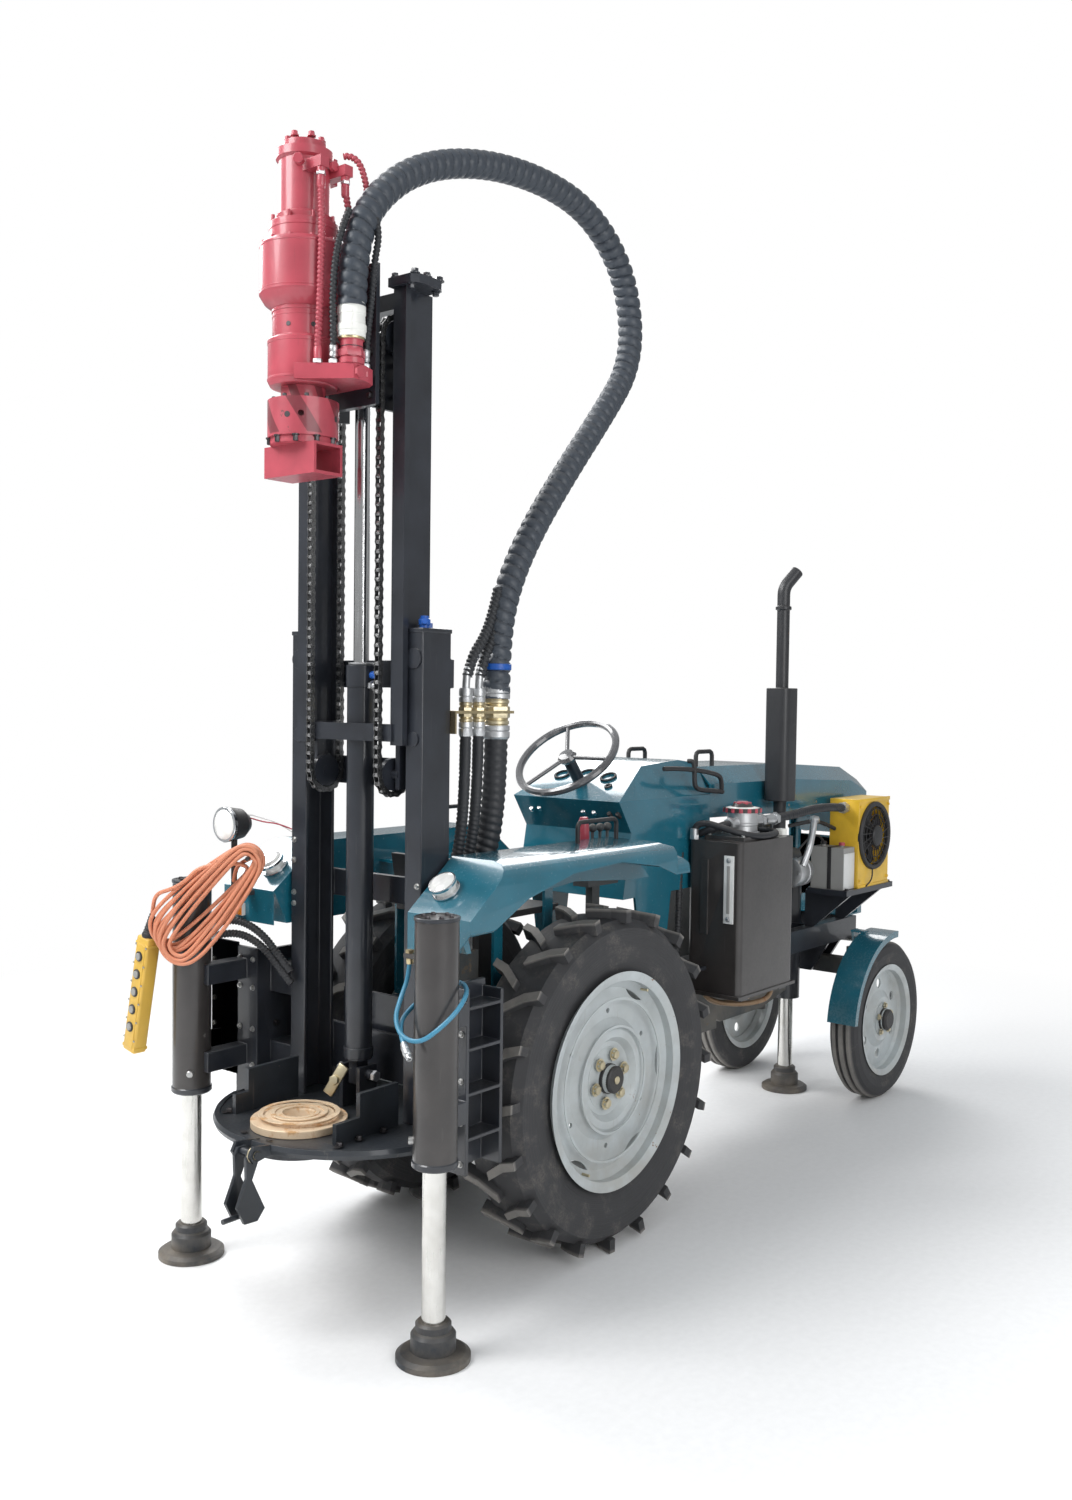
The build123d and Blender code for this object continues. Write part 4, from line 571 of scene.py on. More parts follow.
YELLOW = Paint("cooler_yellow_paint", (0.74, 0.46, 0.035), roughness=0.35, coat=0.3, chips=0.12)
CASTING = Paint("casting_paint", (0.045, 0.050, 0.052), roughness=0.55, coat=0.1, mottle=0.35, chips=0.45,
                chip_colour=(0.10, 0.08, 0.06), dust=0.5, top_dust=0.4, dust_high=1.1, peel=0.8)
SOOT = Paint("silencer_black_paint", (0.020, 0.021, 0.024), roughness=0.45, coat=0.2, chips=0.2, dust=0.1,
             chip_colour=(0.12, 0.07, 0.05))
YELLOW_CASE = Moulded("pendant_yellow_plastic", (0.72, 0.45, 0.075), roughness=0.42, dust=0.1, scuff=0.25)
BLACK_PLASTIC = Moulded("black_plastic", (0.022, 0.022, 0.024), roughness=0.5, dust=0.15)
HOSE = Moulded("hose_guard_plastic", (0.045, 0.055, 0.070), roughness=0.42, dust=0.22, scuff=0.3, dust_high=0.2)
HOSE_BLACK = Moulded("black_hose_rubber", (0.022, 0.024, 0.028), roughness=0.5, dust=0.18, scuff=0.2)
RED_HOSE = Moulded("painted_hose_guard", (0.42, 0.065, 0.090), roughness=0.45, dust=0.12, scuff=0.3)
ORANGE = Moulded("orange_cable_sheath", (0.66, 0.250, 0.140), roughness=0.45, dust=0.12, scuff=0.12, scale=240.0)
BLUE = Moulded("blue_line_plastic", (0.05, 0.24, 0.38), roughness=0.3, dust=0.1, scuff=0.15)
BLUE_CAP = Moulded("blue_cap_plastic", (0.01, 0.09, 0.40), roughness=0.35, dust=0.05)
GREY_PLASTIC = Moulded("battery_grey_plastic", (0.32, 0.32, 0.31), roughness=0.5, dust=0.3)
WHITE_PAINT = Paint("white_coupling_paint", (0.80, 0.80, 0.76), roughness=0.4, coat=0.3, chips=0.25, dust=0.1)
CHROME = BareMetal("polished_rod", (0.78, 0.79, 0.80), roughness=0.14, brushed=(1.0, 1.0, 0.05), stain=0.25)
STEEL = BareMetal("plain_steel", (0.50, 0.50, 0.49), roughness=0.34, stain=0.35, rust=0.2)
CHAIN_STEEL = BareMetal("oily_chain_steel", (0.26, 0.26, 0.26), roughness=0.3, stain=0.5, rust=0.15)
ZINC = BareMetal("yellow_zinc", (0.66, 0.58, 0.40), roughness=0.38, stain=0.35)
BRASS = BareMetal("dull_brass", (0.64, 0.53, 0.32), roughness=0.32, stain=0.4)
ALUMINIUM = BareMetal("cast_aluminium", (0.62, 0.63, 0.64), roughness=0.42, stain=0.3)
RUSTY = BareMetal("rusty_bush_steel", (0.80, 0.62, 0.43), roughness=0.5, metallic=0.15, rust=0.5,
                  rust_colour=(0.55, 0.32, 0.15), stain=0.3, dust=0.05)
LEG = RodAndFoot("leg_rod_and_foot")
WHITE_PLASTIC = Moulded("white_plastic", (0.72, 0.73, 0.72), roughness=0.35, dust=0.15, scuff=0.2)
PIPE_BROWN = BareMetal("brown_pipe", (0.30, 0.20, 0.12), roughness=0.45, metallic=0.5, stain=0.5, rust=0.4)
DARK_BOLT = BareMetal("dark_bolt_steel", (0.10, 0.095, 0.10), roughness=0.42, stain=0.4, rust=0.2)
LAMP_LENS = Lens("work_lamp_lens", (0.90, 0.90, 0.87), transmission=0.05, ribs=260.0)
CLEAR = Lens("clear_lens", (0.86, 0.86, 0.84), transmission=0.25)
AMBER = Lens("amber_lens", (0.80, 0.24, 0.02), transmission=0.2, ribs=900.0)


class Finishes:
    """Builds each finish once and gives it to whoever asks."""

    made: dict = {}

    @classmethod
    def get(cls, finish: object) -> bpy.types.Material:
        """The material of a finish."""
        if finish.name not in cls.made:
            cls.made[finish.name] = finish.build()
        return cls.made[finish.name]


# Mesh helpers

def dress(piece: bpy.types.Object, body: str, finish: object, replaces: Sequence[str] = ()) \
        -> bpy.types.Object:
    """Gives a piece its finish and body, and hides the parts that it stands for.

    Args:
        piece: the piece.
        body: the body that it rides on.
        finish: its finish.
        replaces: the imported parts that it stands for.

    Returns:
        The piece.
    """
    if not piece.data.materials:
        piece.data.materials.append(Finishes.get(finish))
    if replaces:
        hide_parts(*replaces)
    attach(piece, body)
    LOG.info("%s: %d faces on %s", piece.name, len(piece.data.polygons), body)
    return piece


def to_object(name: str, mesh: bmesh.types.BMesh, smooth: float = 35.0) -> bpy.types.Object:
    """Turns a bmesh into an object of the scene.

    Args:
        name: the object's name.
        mesh: the bmesh, which is freed.
        smooth: the angle in degrees up to which faces are shaded as one.

    Returns:
        The object, at the origin.
    """
    data = bpy.data.meshes.new(name)
    mesh.normal_update()
    limit = math.radians(smooth)
    for face in mesh.faces:
        face.smooth = True
    for edge in mesh.edges:
        if len(edge.link_faces) == 2 and edge.calc_face_angle(0.0) > limit:
            edge.smooth = False
    mesh.to_mesh(data)
    mesh.free()
    piece = bpy.data.objects.new(name, data)
    bpy.context.scene.collection.objects.link(piece)
    return piece


def frame_at(origin: Vector, axis: Vector, turn: float = 0.0) -> Matrix:
    """A matrix that carries local Z onto an axis at an origin.

    Args:
        origin: where local zero goes.
        axis: where local Z points.
        turn: degrees turned about the axis.

    Returns:
        The matrix.
    """
    turned = Vector(axis).normalized().to_track_quat("Z", "Y").to_matrix().to_4x4()
    return Matrix.Translation(origin) @ turned @ Matrix.Rotation(math.radians(turn), 4, "Z")


def add_prism(mesh: bmesh.types.BMesh, sides: int, radius: float, height: float, matrix: Matrix,
              bevel: float = 0.0, top_radius: Optional[float] = None) -> None:
    """Adds a closed prism or cone that stands on local Z=0.

    Args:
        mesh: the bmesh to add to.
        sides: how many sides it has.
        radius: radius at the foot.
        height: its height.
        matrix: where it goes.
        bevel: width of the bevel round its upper edge.
        top_radius: radius at the top, if it differs.
    """
    made = bmesh.ops.create_cone(mesh, cap_ends=True, segments=sides, radius1=radius,
                                 radius2=radius if top_radius is None else top_radius, depth=height,
                                 matrix=Matrix.Translation((0, 0, height / 2)))
    verts = made["verts"]
    if bevel:
        top = [e for e in once(e for v in verts for e in v.link_edges)
               if all(v.co.z > height - 1e-6 for v in e.verts)]
        done = bmesh.ops.bevel(mesh, geom=top, offset=bevel, segments=2, profile=0.5, affect="EDGES", material=-1)
        alive = set(mesh.verts)
        verts = once([*(v for v in verts if v in alive), *done["verts"]])
    bmesh.ops.transform(mesh, matrix=matrix, verts=[v for v in verts if v.is_valid])


def add_block(mesh: bmesh.types.BMesh, low: Vector, high: Vector, bevel: float = 0.0,
              matrix: Matrix = Matrix.Identity(4)) -> None:
    """Adds a box between two corners, its edges bevelled.

    Args:
        mesh: the bmesh to add to.
        low: lowest corner.
        high: highest corner.
        bevel: width of the bevel on its edges.
        matrix: where it goes afterwards.
    """
    size = Vector(high) - Vector(low)
    made = bmesh.ops.create_cube(mesh, size=1.0, matrix=Matrix.Translation((Vector(low) + Vector(high)) / 2)
                                 @ Matrix.Diagonal((size.x, size.y, size.z, 1.0)))
    verts = made["verts"]
    if bevel:
        edges = once(e for v in verts for e in v.link_edges)
        done = bmesh.ops.bevel(mesh, geom=edges, offset=bevel, segments=2, profile=0.5, affect="EDGES", material=-1)
        verts = once([*done["verts"], *(v for v in verts if v.is_valid)])
    bmesh.ops.transform(mesh, matrix=matrix, verts=verts)


def add_bolt(mesh: bmesh.types.BMesh, where: Matrix, radius: float, height: float) -> None:
    """Adds a bolt head on its washer, which stands on local Z=0."""
    add_prism(mesh, 12, radius * 1.4, height * 0.25, where)
    add_prism(mesh, 6, radius, height, where @ Matrix.Translation((0, 0, height * 0.24)), radius * 0.12)


def add_turned(mesh: bmesh.types.BMesh, profile: Sequence[Tuple[float, float]], matrix: Matrix,
               steps: int = 32) -> None:
    """Adds a turned form about local Z.

    Args:
        mesh: the bmesh to add to.
        profile: rows of radius and height, from one end to the other.
        matrix: where it goes.
        steps: how many steps make the full turn.
    """
    line = [mesh.verts.new((r, 0.0, z)) for r, z in profile]
    edges = [mesh.edges.new(pair) for pair in zip(line, line[1:])]
    before = set(mesh.verts) - set(line)
    bmesh.ops.spin(mesh, geom=line + edges, cent=(0, 0, 0), axis=(0, 0, 1), angle=2 * math.pi, steps=steps,
                   use_merge=True)
    mine = [v for v in mesh.verts if v not in before]
    bmesh.ops.remove_doubles(mesh, verts=mine, dist=1e-6)
    mine = [v for v in mesh.verts if v not in before]
    faces = once(f for v in mine for f in v.link_faces)
    bmesh.ops.recalc_face_normals(mesh, faces=faces)
    bmesh.ops.transform(mesh, matrix=matrix, verts=mine)


@dataclass
class Softened:
    """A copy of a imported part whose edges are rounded."""

    node: str
    body: str
    slot: str
    width: float
    cuts: Tuple[Tuple[Point, Point], ...] = ()
    segments: int = 2
    angle: float = 24.0

    def trim(self, mesh: bmesh.types.BMesh) -> None:
        """Cuts a sheet's side parts off at the planes given and closes the cut edges."""
        for spot, normal in self.cuts:
            wide = [f for f in mesh.faces if all(abs(v.co.y) > 0.27 and v.co.y * spot[1] > 0 for v in f.verts)]
            parts = once([*wide, *(part for face in wide for part in (*face.edges, *face.verts))])
            bmesh.ops.bisect_plane(mesh, geom=parts, plane_co=place(*spot), plane_no=normal, clear_outer=True)
            loose = [e for e in mesh.edges if len(e.link_faces) == 1]
            bmesh.ops.holes_fill(mesh, edges=loose, sides=0)

    def build(self) -> bpy.types.Object:
        """Copies, merges and rounds the part."""
        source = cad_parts[self.node]
        mesh = bmesh.new()
        mesh.from_mesh(source.data)
        bmesh.ops.remove_doubles(mesh, verts=mesh.verts, dist=2e-5)
        bmesh.ops.dissolve_limit(mesh, angle_limit=math.radians(0.6), verts=mesh.verts, edges=mesh.edges)
        self.trim(mesh)
        piece = to_object(self.node + "_finished", mesh, 30)
        rounding = piece.modifiers.new("rounding", "BEVEL")
        rounding.width = self.width
        rounding.segments = self.segments
        rounding.limit_method = "ANGLE"
        rounding.angle_limit = math.radians(self.angle)
        rounding.miter_outer = "MITER_ARC"
        rounding.use_clamp_overlap = True
        rounding.harden_normals = False
        return dress(piece, self.body, NODE_FINISHES[self.node], (self.node,))


# Hoses and cables

def curve_object(name: str, route: Sequence[Point], steps: int) -> bpy.types.Object:
    """A smooth curve through the scene along a route.

    Args:
        name: the object's name.
        route: control points in the shared frame.
        steps: points per part of the curve.

    Returns:
        The curve object, with no thickness.
    """
    curve = bpy.data.curves.new(name, "CURVE")
    curve.dimensions = "3D"
    curve.resolution_u = steps
    spline = curve.splines.new("NURBS")
    spline.points.add(len(route) - 1)
    for point, spot in zip(spline.points, route):
        point.co = (*spot, 1.0)
    spline.order_u = 3
    spline.use_endpoint_u = True
    piece = bpy.data.objects.new(name, curve)
    bpy.context.scene.collection.objects.link(piece)
    return piece


def smooth_line(route: Sequence[Point], steps: int) -> List[Vector]:
    """The points of the smooth line of a route.

    Args:
        route: the route's control points in the shared frame.
        steps: points per part of the line.

    Returns:
        Points along the smooth line, end to end.
    """
    holder = curve_object("route", route, steps)
    curve = holder.data
    bpy.context.view_layer.update()
    data = bpy.data.meshes.new_from_object(holder)
    points = [v.co.copy() for v in data.vertices]
    bpy.data.objects.remove(holder)
    bpy.data.meshes.remove(data)
    bpy.data.curves.remove(curve)
    return points


def line_length(points: Sequence[Vector]) -> float:
    """The length of a line of points."""
    return sum((b - a).length for a, b in zip(points, points[1:]))


def add_sweep(mesh: bmesh.types.BMesh, points: Sequence[Vector], sides: int,
              radius: Callable[[float, float], float]) -> None:
    """Adds a closed tube that follows a line of points.

    Args:
        mesh: the bmesh to add to.
        points: the line that the ring follows.
        sides: vertices round the ring.
        radius: gives a radius for a length along the line and an angle round it.
    """
    rings = []
    way = (points[1] - points[0]).normalized()
    side = way.orthogonal().normalized()
    run = 0.0
    for i, spot in enumerate(points):
        ahead = points[min(i + 1, len(points) - 1)] - points[max(i - 1, 0)]
        new_way = ahead.normalized()
        side = (way.rotation_difference(new_way) @ side).normalized()
        way = new_way
        cross = way.cross(side)
        if i:
            run += (spot - points[i - 1]).length
        ring = []
        for k in range(sides):
            a = 2 * math.pi * k / sides
            out = side * math.cos(a) + cross * math.sin(a)
            ring.append(mesh.verts.new(spot + out * radius(run, a)))
        rings.append(ring)
    for low, high in zip(rings, rings[1:]):
        for k in range(sides):
            mesh.faces.new((low[k], low[(k + 1) % sides], high[(k + 1) % sides], high[k]))
    mesh.faces.new(list(reversed(rings[0])))
    mesh.faces.new(rings[-1])


@dataclass
class GuardedHose:
    """A hose in a spiral guard along its route."""

    name: str
    route: List[Point]
    diameter: float
    pitch: float
    rise: float
    steps: int
    sides: int = 20
    sharp: float = 5.0

    def line(self) -> List[Vector]:
        """The smooth line of the hose."""
        return smooth_line(placed(self.route), self.steps)

    def build(self) -> Tuple[bpy.types.Object, List[Vector]]:
        """Builds the tube.

        Returns:
            The tube and the line that it follows.
        """
        points = self.line()
        core = self.diameter / 2

        def radius(run: float, angle: float) -> float:
            """The guard's outline at a place on the hose."""
            phase = (run / self.pitch + angle / (2 * math.pi)) % 1.0
            off = abs(phase - 0.5) * 2
            return core - self.rise * off ** self.sharp - 0.25 * self.rise * off ** 2

        mesh = bmesh.new()
        add_sweep(mesh, points, self.sides, radius)
        return to_object(self.name, mesh, 60), points


@dataclass
class AirHose:
    """The big air hose from the head's coupling over the mast to the bulkhead."""

    route: List[Point] = field(default_factory=lambda: [
        (-0.852, -0.166, 2.6903), (-0.852, -0.166, 2.84), (-0.780, -0.170, 2.99), (-0.620, -0.177, 3.12),
        (-0.380, -0.185, 3.205), (-0.110, -0.193, 3.235), (0.120, -0.200, 3.205), (0.290, -0.207, 3.08),
        (0.350, -0.213, 2.90), (0.320, -0.217, 2.74), (0.190, -0.225, 2.59), (-0.020, -0.236, 2.37),
        (-0.200, -0.244, 2.165), (-0.310, -0.248, 1.99), (-0.352, -0.250, 1.83), (-0.352, -0.250, 1.6723)])
    diameter: float = 0.080

    def build(self) -> bpy.types.Object:
        """Builds the hose."""
        hose = GuardedHose("air_hose_guard", self.route, self.diameter, 0.034, 0.0075, 52, 24)
        piece, points = hose.build()
        piece.data.materials.append(Finishes.get(HOSE))
        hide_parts("air_hose")
        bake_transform(piece)
        LOG.info("air hose %.3f m", line_length(points))
        return piece


@dataclass
class FixedHoses:
    """The hoses that are held along their whole route."""

    lower: List[Tuple[float, float, float, List[Point]]] = field(default_factory=lambda: [
        (0.070, 0.022, 0.0035, [(-0.352, -0.250, 1.5957), (-0.352, -0.250, 1.38), (-0.380, -0.228, 1.18),
                                (-0.392, -0.150, 1.035), (-0.392, -0.150, 0.9353)]),
        (0.034, 0.013, 0.0025, [(-0.430, -0.250, 1.5957), (-0.430, -0.250, 1.38), (-0.446, -0.228, 1.19),
                                (-0.454, -0.150, 1.035), (-0.454, -0.150, 0.9353)]),
        (0.034, 0.013, 0.0025, [(-0.484, -0.250, 1.5957), (-0.484, -0.250, 1.38), (-0.494, -0.228, 1.19),
                                (-0.497, -0.150, 1.035), (-0.497, -0.150, 0.9353)])])
    upper: List[Tuple[float, float, float, List[Point]]] = field(default_factory=lambda: [
        (0.0195, 0.0115, 0.0030, [(-0.905, -0.104, 3.0357), (-0.905, -0.104, 2.99), (-0.921, -0.126, 2.90),
                                 (-0.926, -0.128, 2.78), (-0.921, -0.118, 2.66), (-0.920, -0.112, 2.60),
                                 (-0.920, -0.112, 2.5403)]),
        (0.0195, 0.0115, 0.0030, [(-0.820, -0.104, 3.0357), (-0.820, -0.104, 2.99), (-0.792, -0.118, 2.90),
                                 (-0.786, -0.118, 2.78), (-0.787, -0.115, 2.66), (-0.788, -0.114, 2.60),
                                 (-0.788, -0.114, 2.5403)]),
        (0.0185, 0.0115, 0.0030, [(-0.812, -0.088, 3.108), (-0.792, -0.118, 3.112), (-0.771, -0.138, 3.03),
                                 (-0.768, -0.139, 2.92), (-0.792, -0.134, 2.80), (-0.812, -0.112, 2.73),
                                 (-0.822, -0.090, 2.70)])])
    black: List[Tuple[float, float, float, List[Point]]] = field(default_factory=lambda: [
        (0.0195, 0.0115, 0.0030, [(-0.894, -0.143, 2.5403), (-0.894, -0.143, 2.59), (-0.907, -0.152, 2.71),
                                 (-0.904, -0.158, 2.81), (-0.884, -0.164, 2.895), (-0.862, -0.166, 2.94)]),
        (0.0195, 0.0115, 0.0030, [(-0.807, -0.173, 2.5403), (-0.807, -0.173, 2.59), (-0.799, -0.184, 2.71),
                                 (-0.798, -0.192, 2.81), (-0.790, -0.206, 2.895), (-0.796, -0.190, 2.94)])])

    def build(self) -> None:
        """Builds both groups."""
        for prefix, rows, node, body, finish, slot in (
                ("lower_hose", self.lower, "lower_hoses", "chassis", HOSE_BLACK, "hose_rubber"),
                ("head_hose", self.upper, "head_hoses", "carriage", RED_HOSE, "red_hose"),
                ("head_oil_hose", self.black, "head_hoses", "carriage", HOSE_BLACK, "hose_rubber")):
            for i, (diameter, pitch, rise, route) in enumerate(rows):
                hose = GuardedHose(f"{prefix}_{i + 1}", route, diameter, pitch, rise, 44, 16, sharp=2.2)
                dress(hose.build()[0], body, finish, (node,))


def bevelled_curve(name: str, route: Sequence[Point], radius: float, finish: object) -> bpy.types.Object:
    """A round cord along a smooth route.

    Args:
        name: the object's name.
        route: control points in the shared frame.
        radius: the cord's radius.
        finish: its finish.

    Returns:
        The curve object.
    """
    piece = curve_object(name, route, 8)
    piece.data.bevel_depth = radius
    piece.data.bevel_resolution = 4
    piece.data.use_fill_caps = True
    piece.data.materials.append(Finishes.get(finish))
    return piece


@dataclass
class Pendant:
    """The long yellow push-button pendant at the orange cable's end."""

    top: Point = (-0.956, 0.566, 0.962)
    tilt: float = 12.0
    length: float = 0.360
    depth: float = 0.046
    width: float = 0.058
    first_button: float = 0.060
    button_step: float = 0.055
    buttons: int = 5

    def matrix(self) -> Matrix:
        """Where the pendant's own frame is."""
        return Matrix.Translation(place(*self.top)) @ Matrix.Rotation(math.radians(self.tilt), 4, "X")

    def build(self) -> List[bpy.types.Object]:
        """Builds case, seam screws, buttons and boot."""
        where = self.matrix()
        x, y, z = self.depth / 2, self.width / 2, self.length
        case = bmesh.new()
        add_block(case, Vector((-x, -y, -z)), Vector((x, y, -0.001)), 0.007, where)
        add_block(case, Vector((-x - 0.003, -y + 0.008, -z + 0.012)), Vector((-x + 0.004, y - 0.008, -0.022)), 0.0025,
                  where)
        for end in (-z + 0.016, -0.022):
            add_block(case, Vector((-x - 0.001, -y - 0.001, end - 0.006)), Vector((x + 0.001, y + 0.001, end + 0.004)),
                      0.002, where)
        shell = dress(to_object("pendant_case", case, 50), "chassis", YELLOW_CASE, ("pendant",))
        heads = bmesh.new()
        for side in (-1, 1):
            for i in range(6):
                spot = where @ Matrix.Translation((-x - 0.0005, side * (y - 0.0045), -0.028 - 0.058 * i))
                add_prism(heads, 10, 0.0032, 0.0026, spot @ Matrix.Rotation(math.radians(-90), 4, "Y"), 0.0006)
        screws = dress(to_object("pendant_screws", heads), "chassis", STEEL)
        caps = bmesh.new()
        rings = bmesh.new()
        for i in range(self.buttons):
            spot = where @ Matrix.Translation((-x - 0.0025, 0, -self.first_button - self.button_step * i)) \
                @ Matrix.Rotation(math.radians(-90), 4, "Y")
            add_turned(rings, [(0.0, 0.0), (0.0150, 0.0), (0.0150, 0.003), (0.0135, 0.0045), (0.0118, 0.0045),
                               (0.0112, 0.002), (0.0, 0.002)], spot, 28)
            add_turned(caps, [(0.0, 0.0008), (0.0108, 0.0008), (0.0108, 0.006), (0.0096, 0.0076), (0.0, 0.0082)],
                       spot, 24)
        collars = dress(to_object("pendant_button_rings", rings), "chassis", BLACK_PLASTIC)
        knobs = dress(to_object("pendant_buttons", caps), "chassis", GREY_PLASTIC)
        sleeve = bmesh.new()
        profile = [(0.0, -0.002), (0.0215, -0.002), (0.0225, 0.004), (0.0205, 0.010)]
        for i in range(5):
            z0 = 0.012 + 0.0105 * i
            r = 0.0188 - 0.0021 * i
            profile.extend([(r, z0), (r, z0 + 0.006), (r - 0.0028, z0 + 0.0075), (r - 0.0028, z0 + 0.0095)])
        profile.extend([(0.0085, 0.066), (0.0072, 0.070), (0.0, 0.070)])
        add_turned(sleeve, profile, where, 28)
        boot = dress(to_object("pendant_boot", sleeve), "chassis", BLACK_PLASTIC)
        return [shell, screws, collars, knobs, boot]


@dataclass
class CableHank:
    """The orange cable: a loose hank over the lamp's peg, with the pendant on its end."""

    middle: Point = (-0.890, 0.370, 1.080)
    long_way: Point = (-0.352, 0.590, -0.727)
    wide_way: Point = (-0.436, 0.584, 0.685)
    loops: int = 9
    half_length: float = 0.205
    half_width: float = 0.060
    diameter: float = 0.012
    seed: int = 11

    def stadium(self, half: float, width_top: float, width_foot: float) -> List[Tuple[float, float]]:
        """One turn's places along and across, from the top round to the top again."""
        top = half - width_top
        foot = half - width_foot
        turn = [(-top - width_top * math.cos(math.radians(a)), width_top * math.sin(math.radians(a)))
                for a in (-22.5, 22.5, 67.5)]
        turn.extend([(-top * 0.35, width_top * 0.35 + width_foot * 0.65), (foot * 0.40, width_foot * 1.02)])
        turn.extend([(foot + width_foot * math.cos(math.radians(a)), width_foot * math.sin(math.radians(a)))
                     for a in (67.5, 22.5, -22.5, -67.5)])
        turn.extend([(foot * 0.40, -width_foot * 1.02), (-top * 0.35, -width_top * 0.35 - width_foot * 0.65)])
        turn.append((-top - width_top * math.cos(math.radians(-67.5)), width_top * math.sin(math.radians(-67.5))))
        return turn

    def control_points(self) -> List[Point]:
        """The route from the lamp's neck, round the loops and down to the pendant."""
        chance = random.Random(self.seed)
        long_way = Vector(self.long_way).normalized()
        wide = Vector(self.wide_way).normalized()
        across = long_way.cross(wide)
        middle = place(*self.middle)
        points = placed([(-0.806, 0.366, 1.128), (-0.812, 0.352, 1.160), (-0.822, 0.318, 1.188)])
        pivot = -self.half_length * 0.8
        for loop in range(self.loops):
            layer, column = loop // 3, loop % 3
            nest = column if layer % 2 == 0 else 2 - column
            width = self.half_width * (1.22, 0.92, 0.60)[nest] + chance.uniform(-0.003, 0.003)
            reach = self.half_length + (0.008, -0.004, -0.018)[nest] + chance.uniform(-0.004, 0.003)
            lean = math.radians((-5.0, 0.5, 5.5)[layer] + chance.uniform(-0.6, 0.6))
            turn = self.stadium(reach, width * 0.72, width)
            for k, (along, side) in enumerate(turn):
                lift = 0.0145 * (layer - 1) + 0.003 * (k / len(turn) - 0.5) + chance.uniform(-0.0015, 0.0015)
                u = pivot + (along - pivot) * math.cos(lean) - side * math.sin(lean)
                v = (along - pivot) * math.sin(lean) + side * math.cos(lean)
                points.append(tuple(middle + long_way * u + wide * v + across * lift))
        points.extend(placed([(-0.9074, 0.3862, 1.1841), (-0.932, 0.4275, 1.1332), (-0.9465, 0.4728, 1.1082),
                              (-0.956, 0.539, 1.0892), (-0.956, 0.5514, 1.0308)]))
        for depth in (-0.03, -0.12, -0.25):
            points.append(tuple(Pendant().matrix() @ Vector((0.0, 0.0, depth))))
        return points

    def build(self) -> None:
        pieces = Pendant().build()
        route = self.control_points()
        cable = bevelled_curve("orange_cable", route, self.diameter / 2, ORANGE)
        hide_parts("cable_coil", "pendant_cable")
        length = line_length(smooth_line(route, 12))
        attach(cable, "chassis")
        LOG.info("orange cable %.3f m", length)


@dataclass
class AirLine:
    """The thin blue air line hung beside the right leg's tube, with its coupler."""

    diameter: float = 0.012
    route: List[Point] = field(default_factory=lambda: [
        (-0.862, -0.408, 1.0127), (-0.864, -0.407, 0.965), (-0.893, -0.407, 0.915), (-0.922, -0.414, 0.866),
        (-0.936, -0.455, 0.828), (-0.936, -0.515, 0.826), (-0.922, -0.560, 0.860), (-0.872, -0.584, 0.905),
        (-0.812, -0.566, 0.945), (-0.776, -0.500, 0.955), (-0.792, -0.432, 0.925), (-0.852, -0.404, 0.885),
        (-0.922, -0.424, 0.850), (-0.944, -0.470, 0.815)])

    def build(self) -> None:
        """Builds the line and the coupler on its end."""
        route = placed(self.route)
        line = bevelled_curve("blue_air_line", route, self.diameter / 2, BLUE)
        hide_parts("air_line")
        end = Vector(route[-1])
        way = (end - Vector(route[-2])).normalized()
        mesh = bmesh.new()
        where = frame_at(end - way * 0.006, way)
        add_turned(mesh, [(0.0, 0.0), (0.0072, 0.0), (0.0085, 0.003), (0.0085, 0.010), (0.0100, 0.011),
                          (0.0108, 0.013), (0.0108, 0.021), (0.0096, 0.0225), (0.0096, 0.0245), (0.0110, 0.026),
                          (0.0110, 0.038), (0.0094, 0.041), (0.0080, 0.042), (0.0080, 0.052), (0.0066, 0.054),
                          (0.0040, 0.054), (0.0040, 0.046), (0.0, 0.046)], where, 28)
        coupler = dress(to_object("air_line_coupler", mesh, 30), "chassis", ALUMINIUM, ("air_coupler",))
        length = line_length(smooth_line(route, 12))
        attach(line, "chassis")
        clamp = bmesh.new()
        add_turned(clamp, [(0.0, -0.016), (0.0085, -0.016), (0.0095, -0.014), (0.0095, -0.002), (0.0078, 0.0),
                           (0.0, 0.0)], frame_at(place(-0.862, -0.408, 1.0132), Vector((0, 0, 1))), 20)
        add_prism(clamp, 6, 0.0115, 0.009, frame_at(place(-0.862, -0.408, 1.0245), Vector((0, 0, 1))), 0.001)
        dress(to_object("air_line_fitting", clamp), "chassis", BRASS)
        LOG.info("air line %.3f m", length)


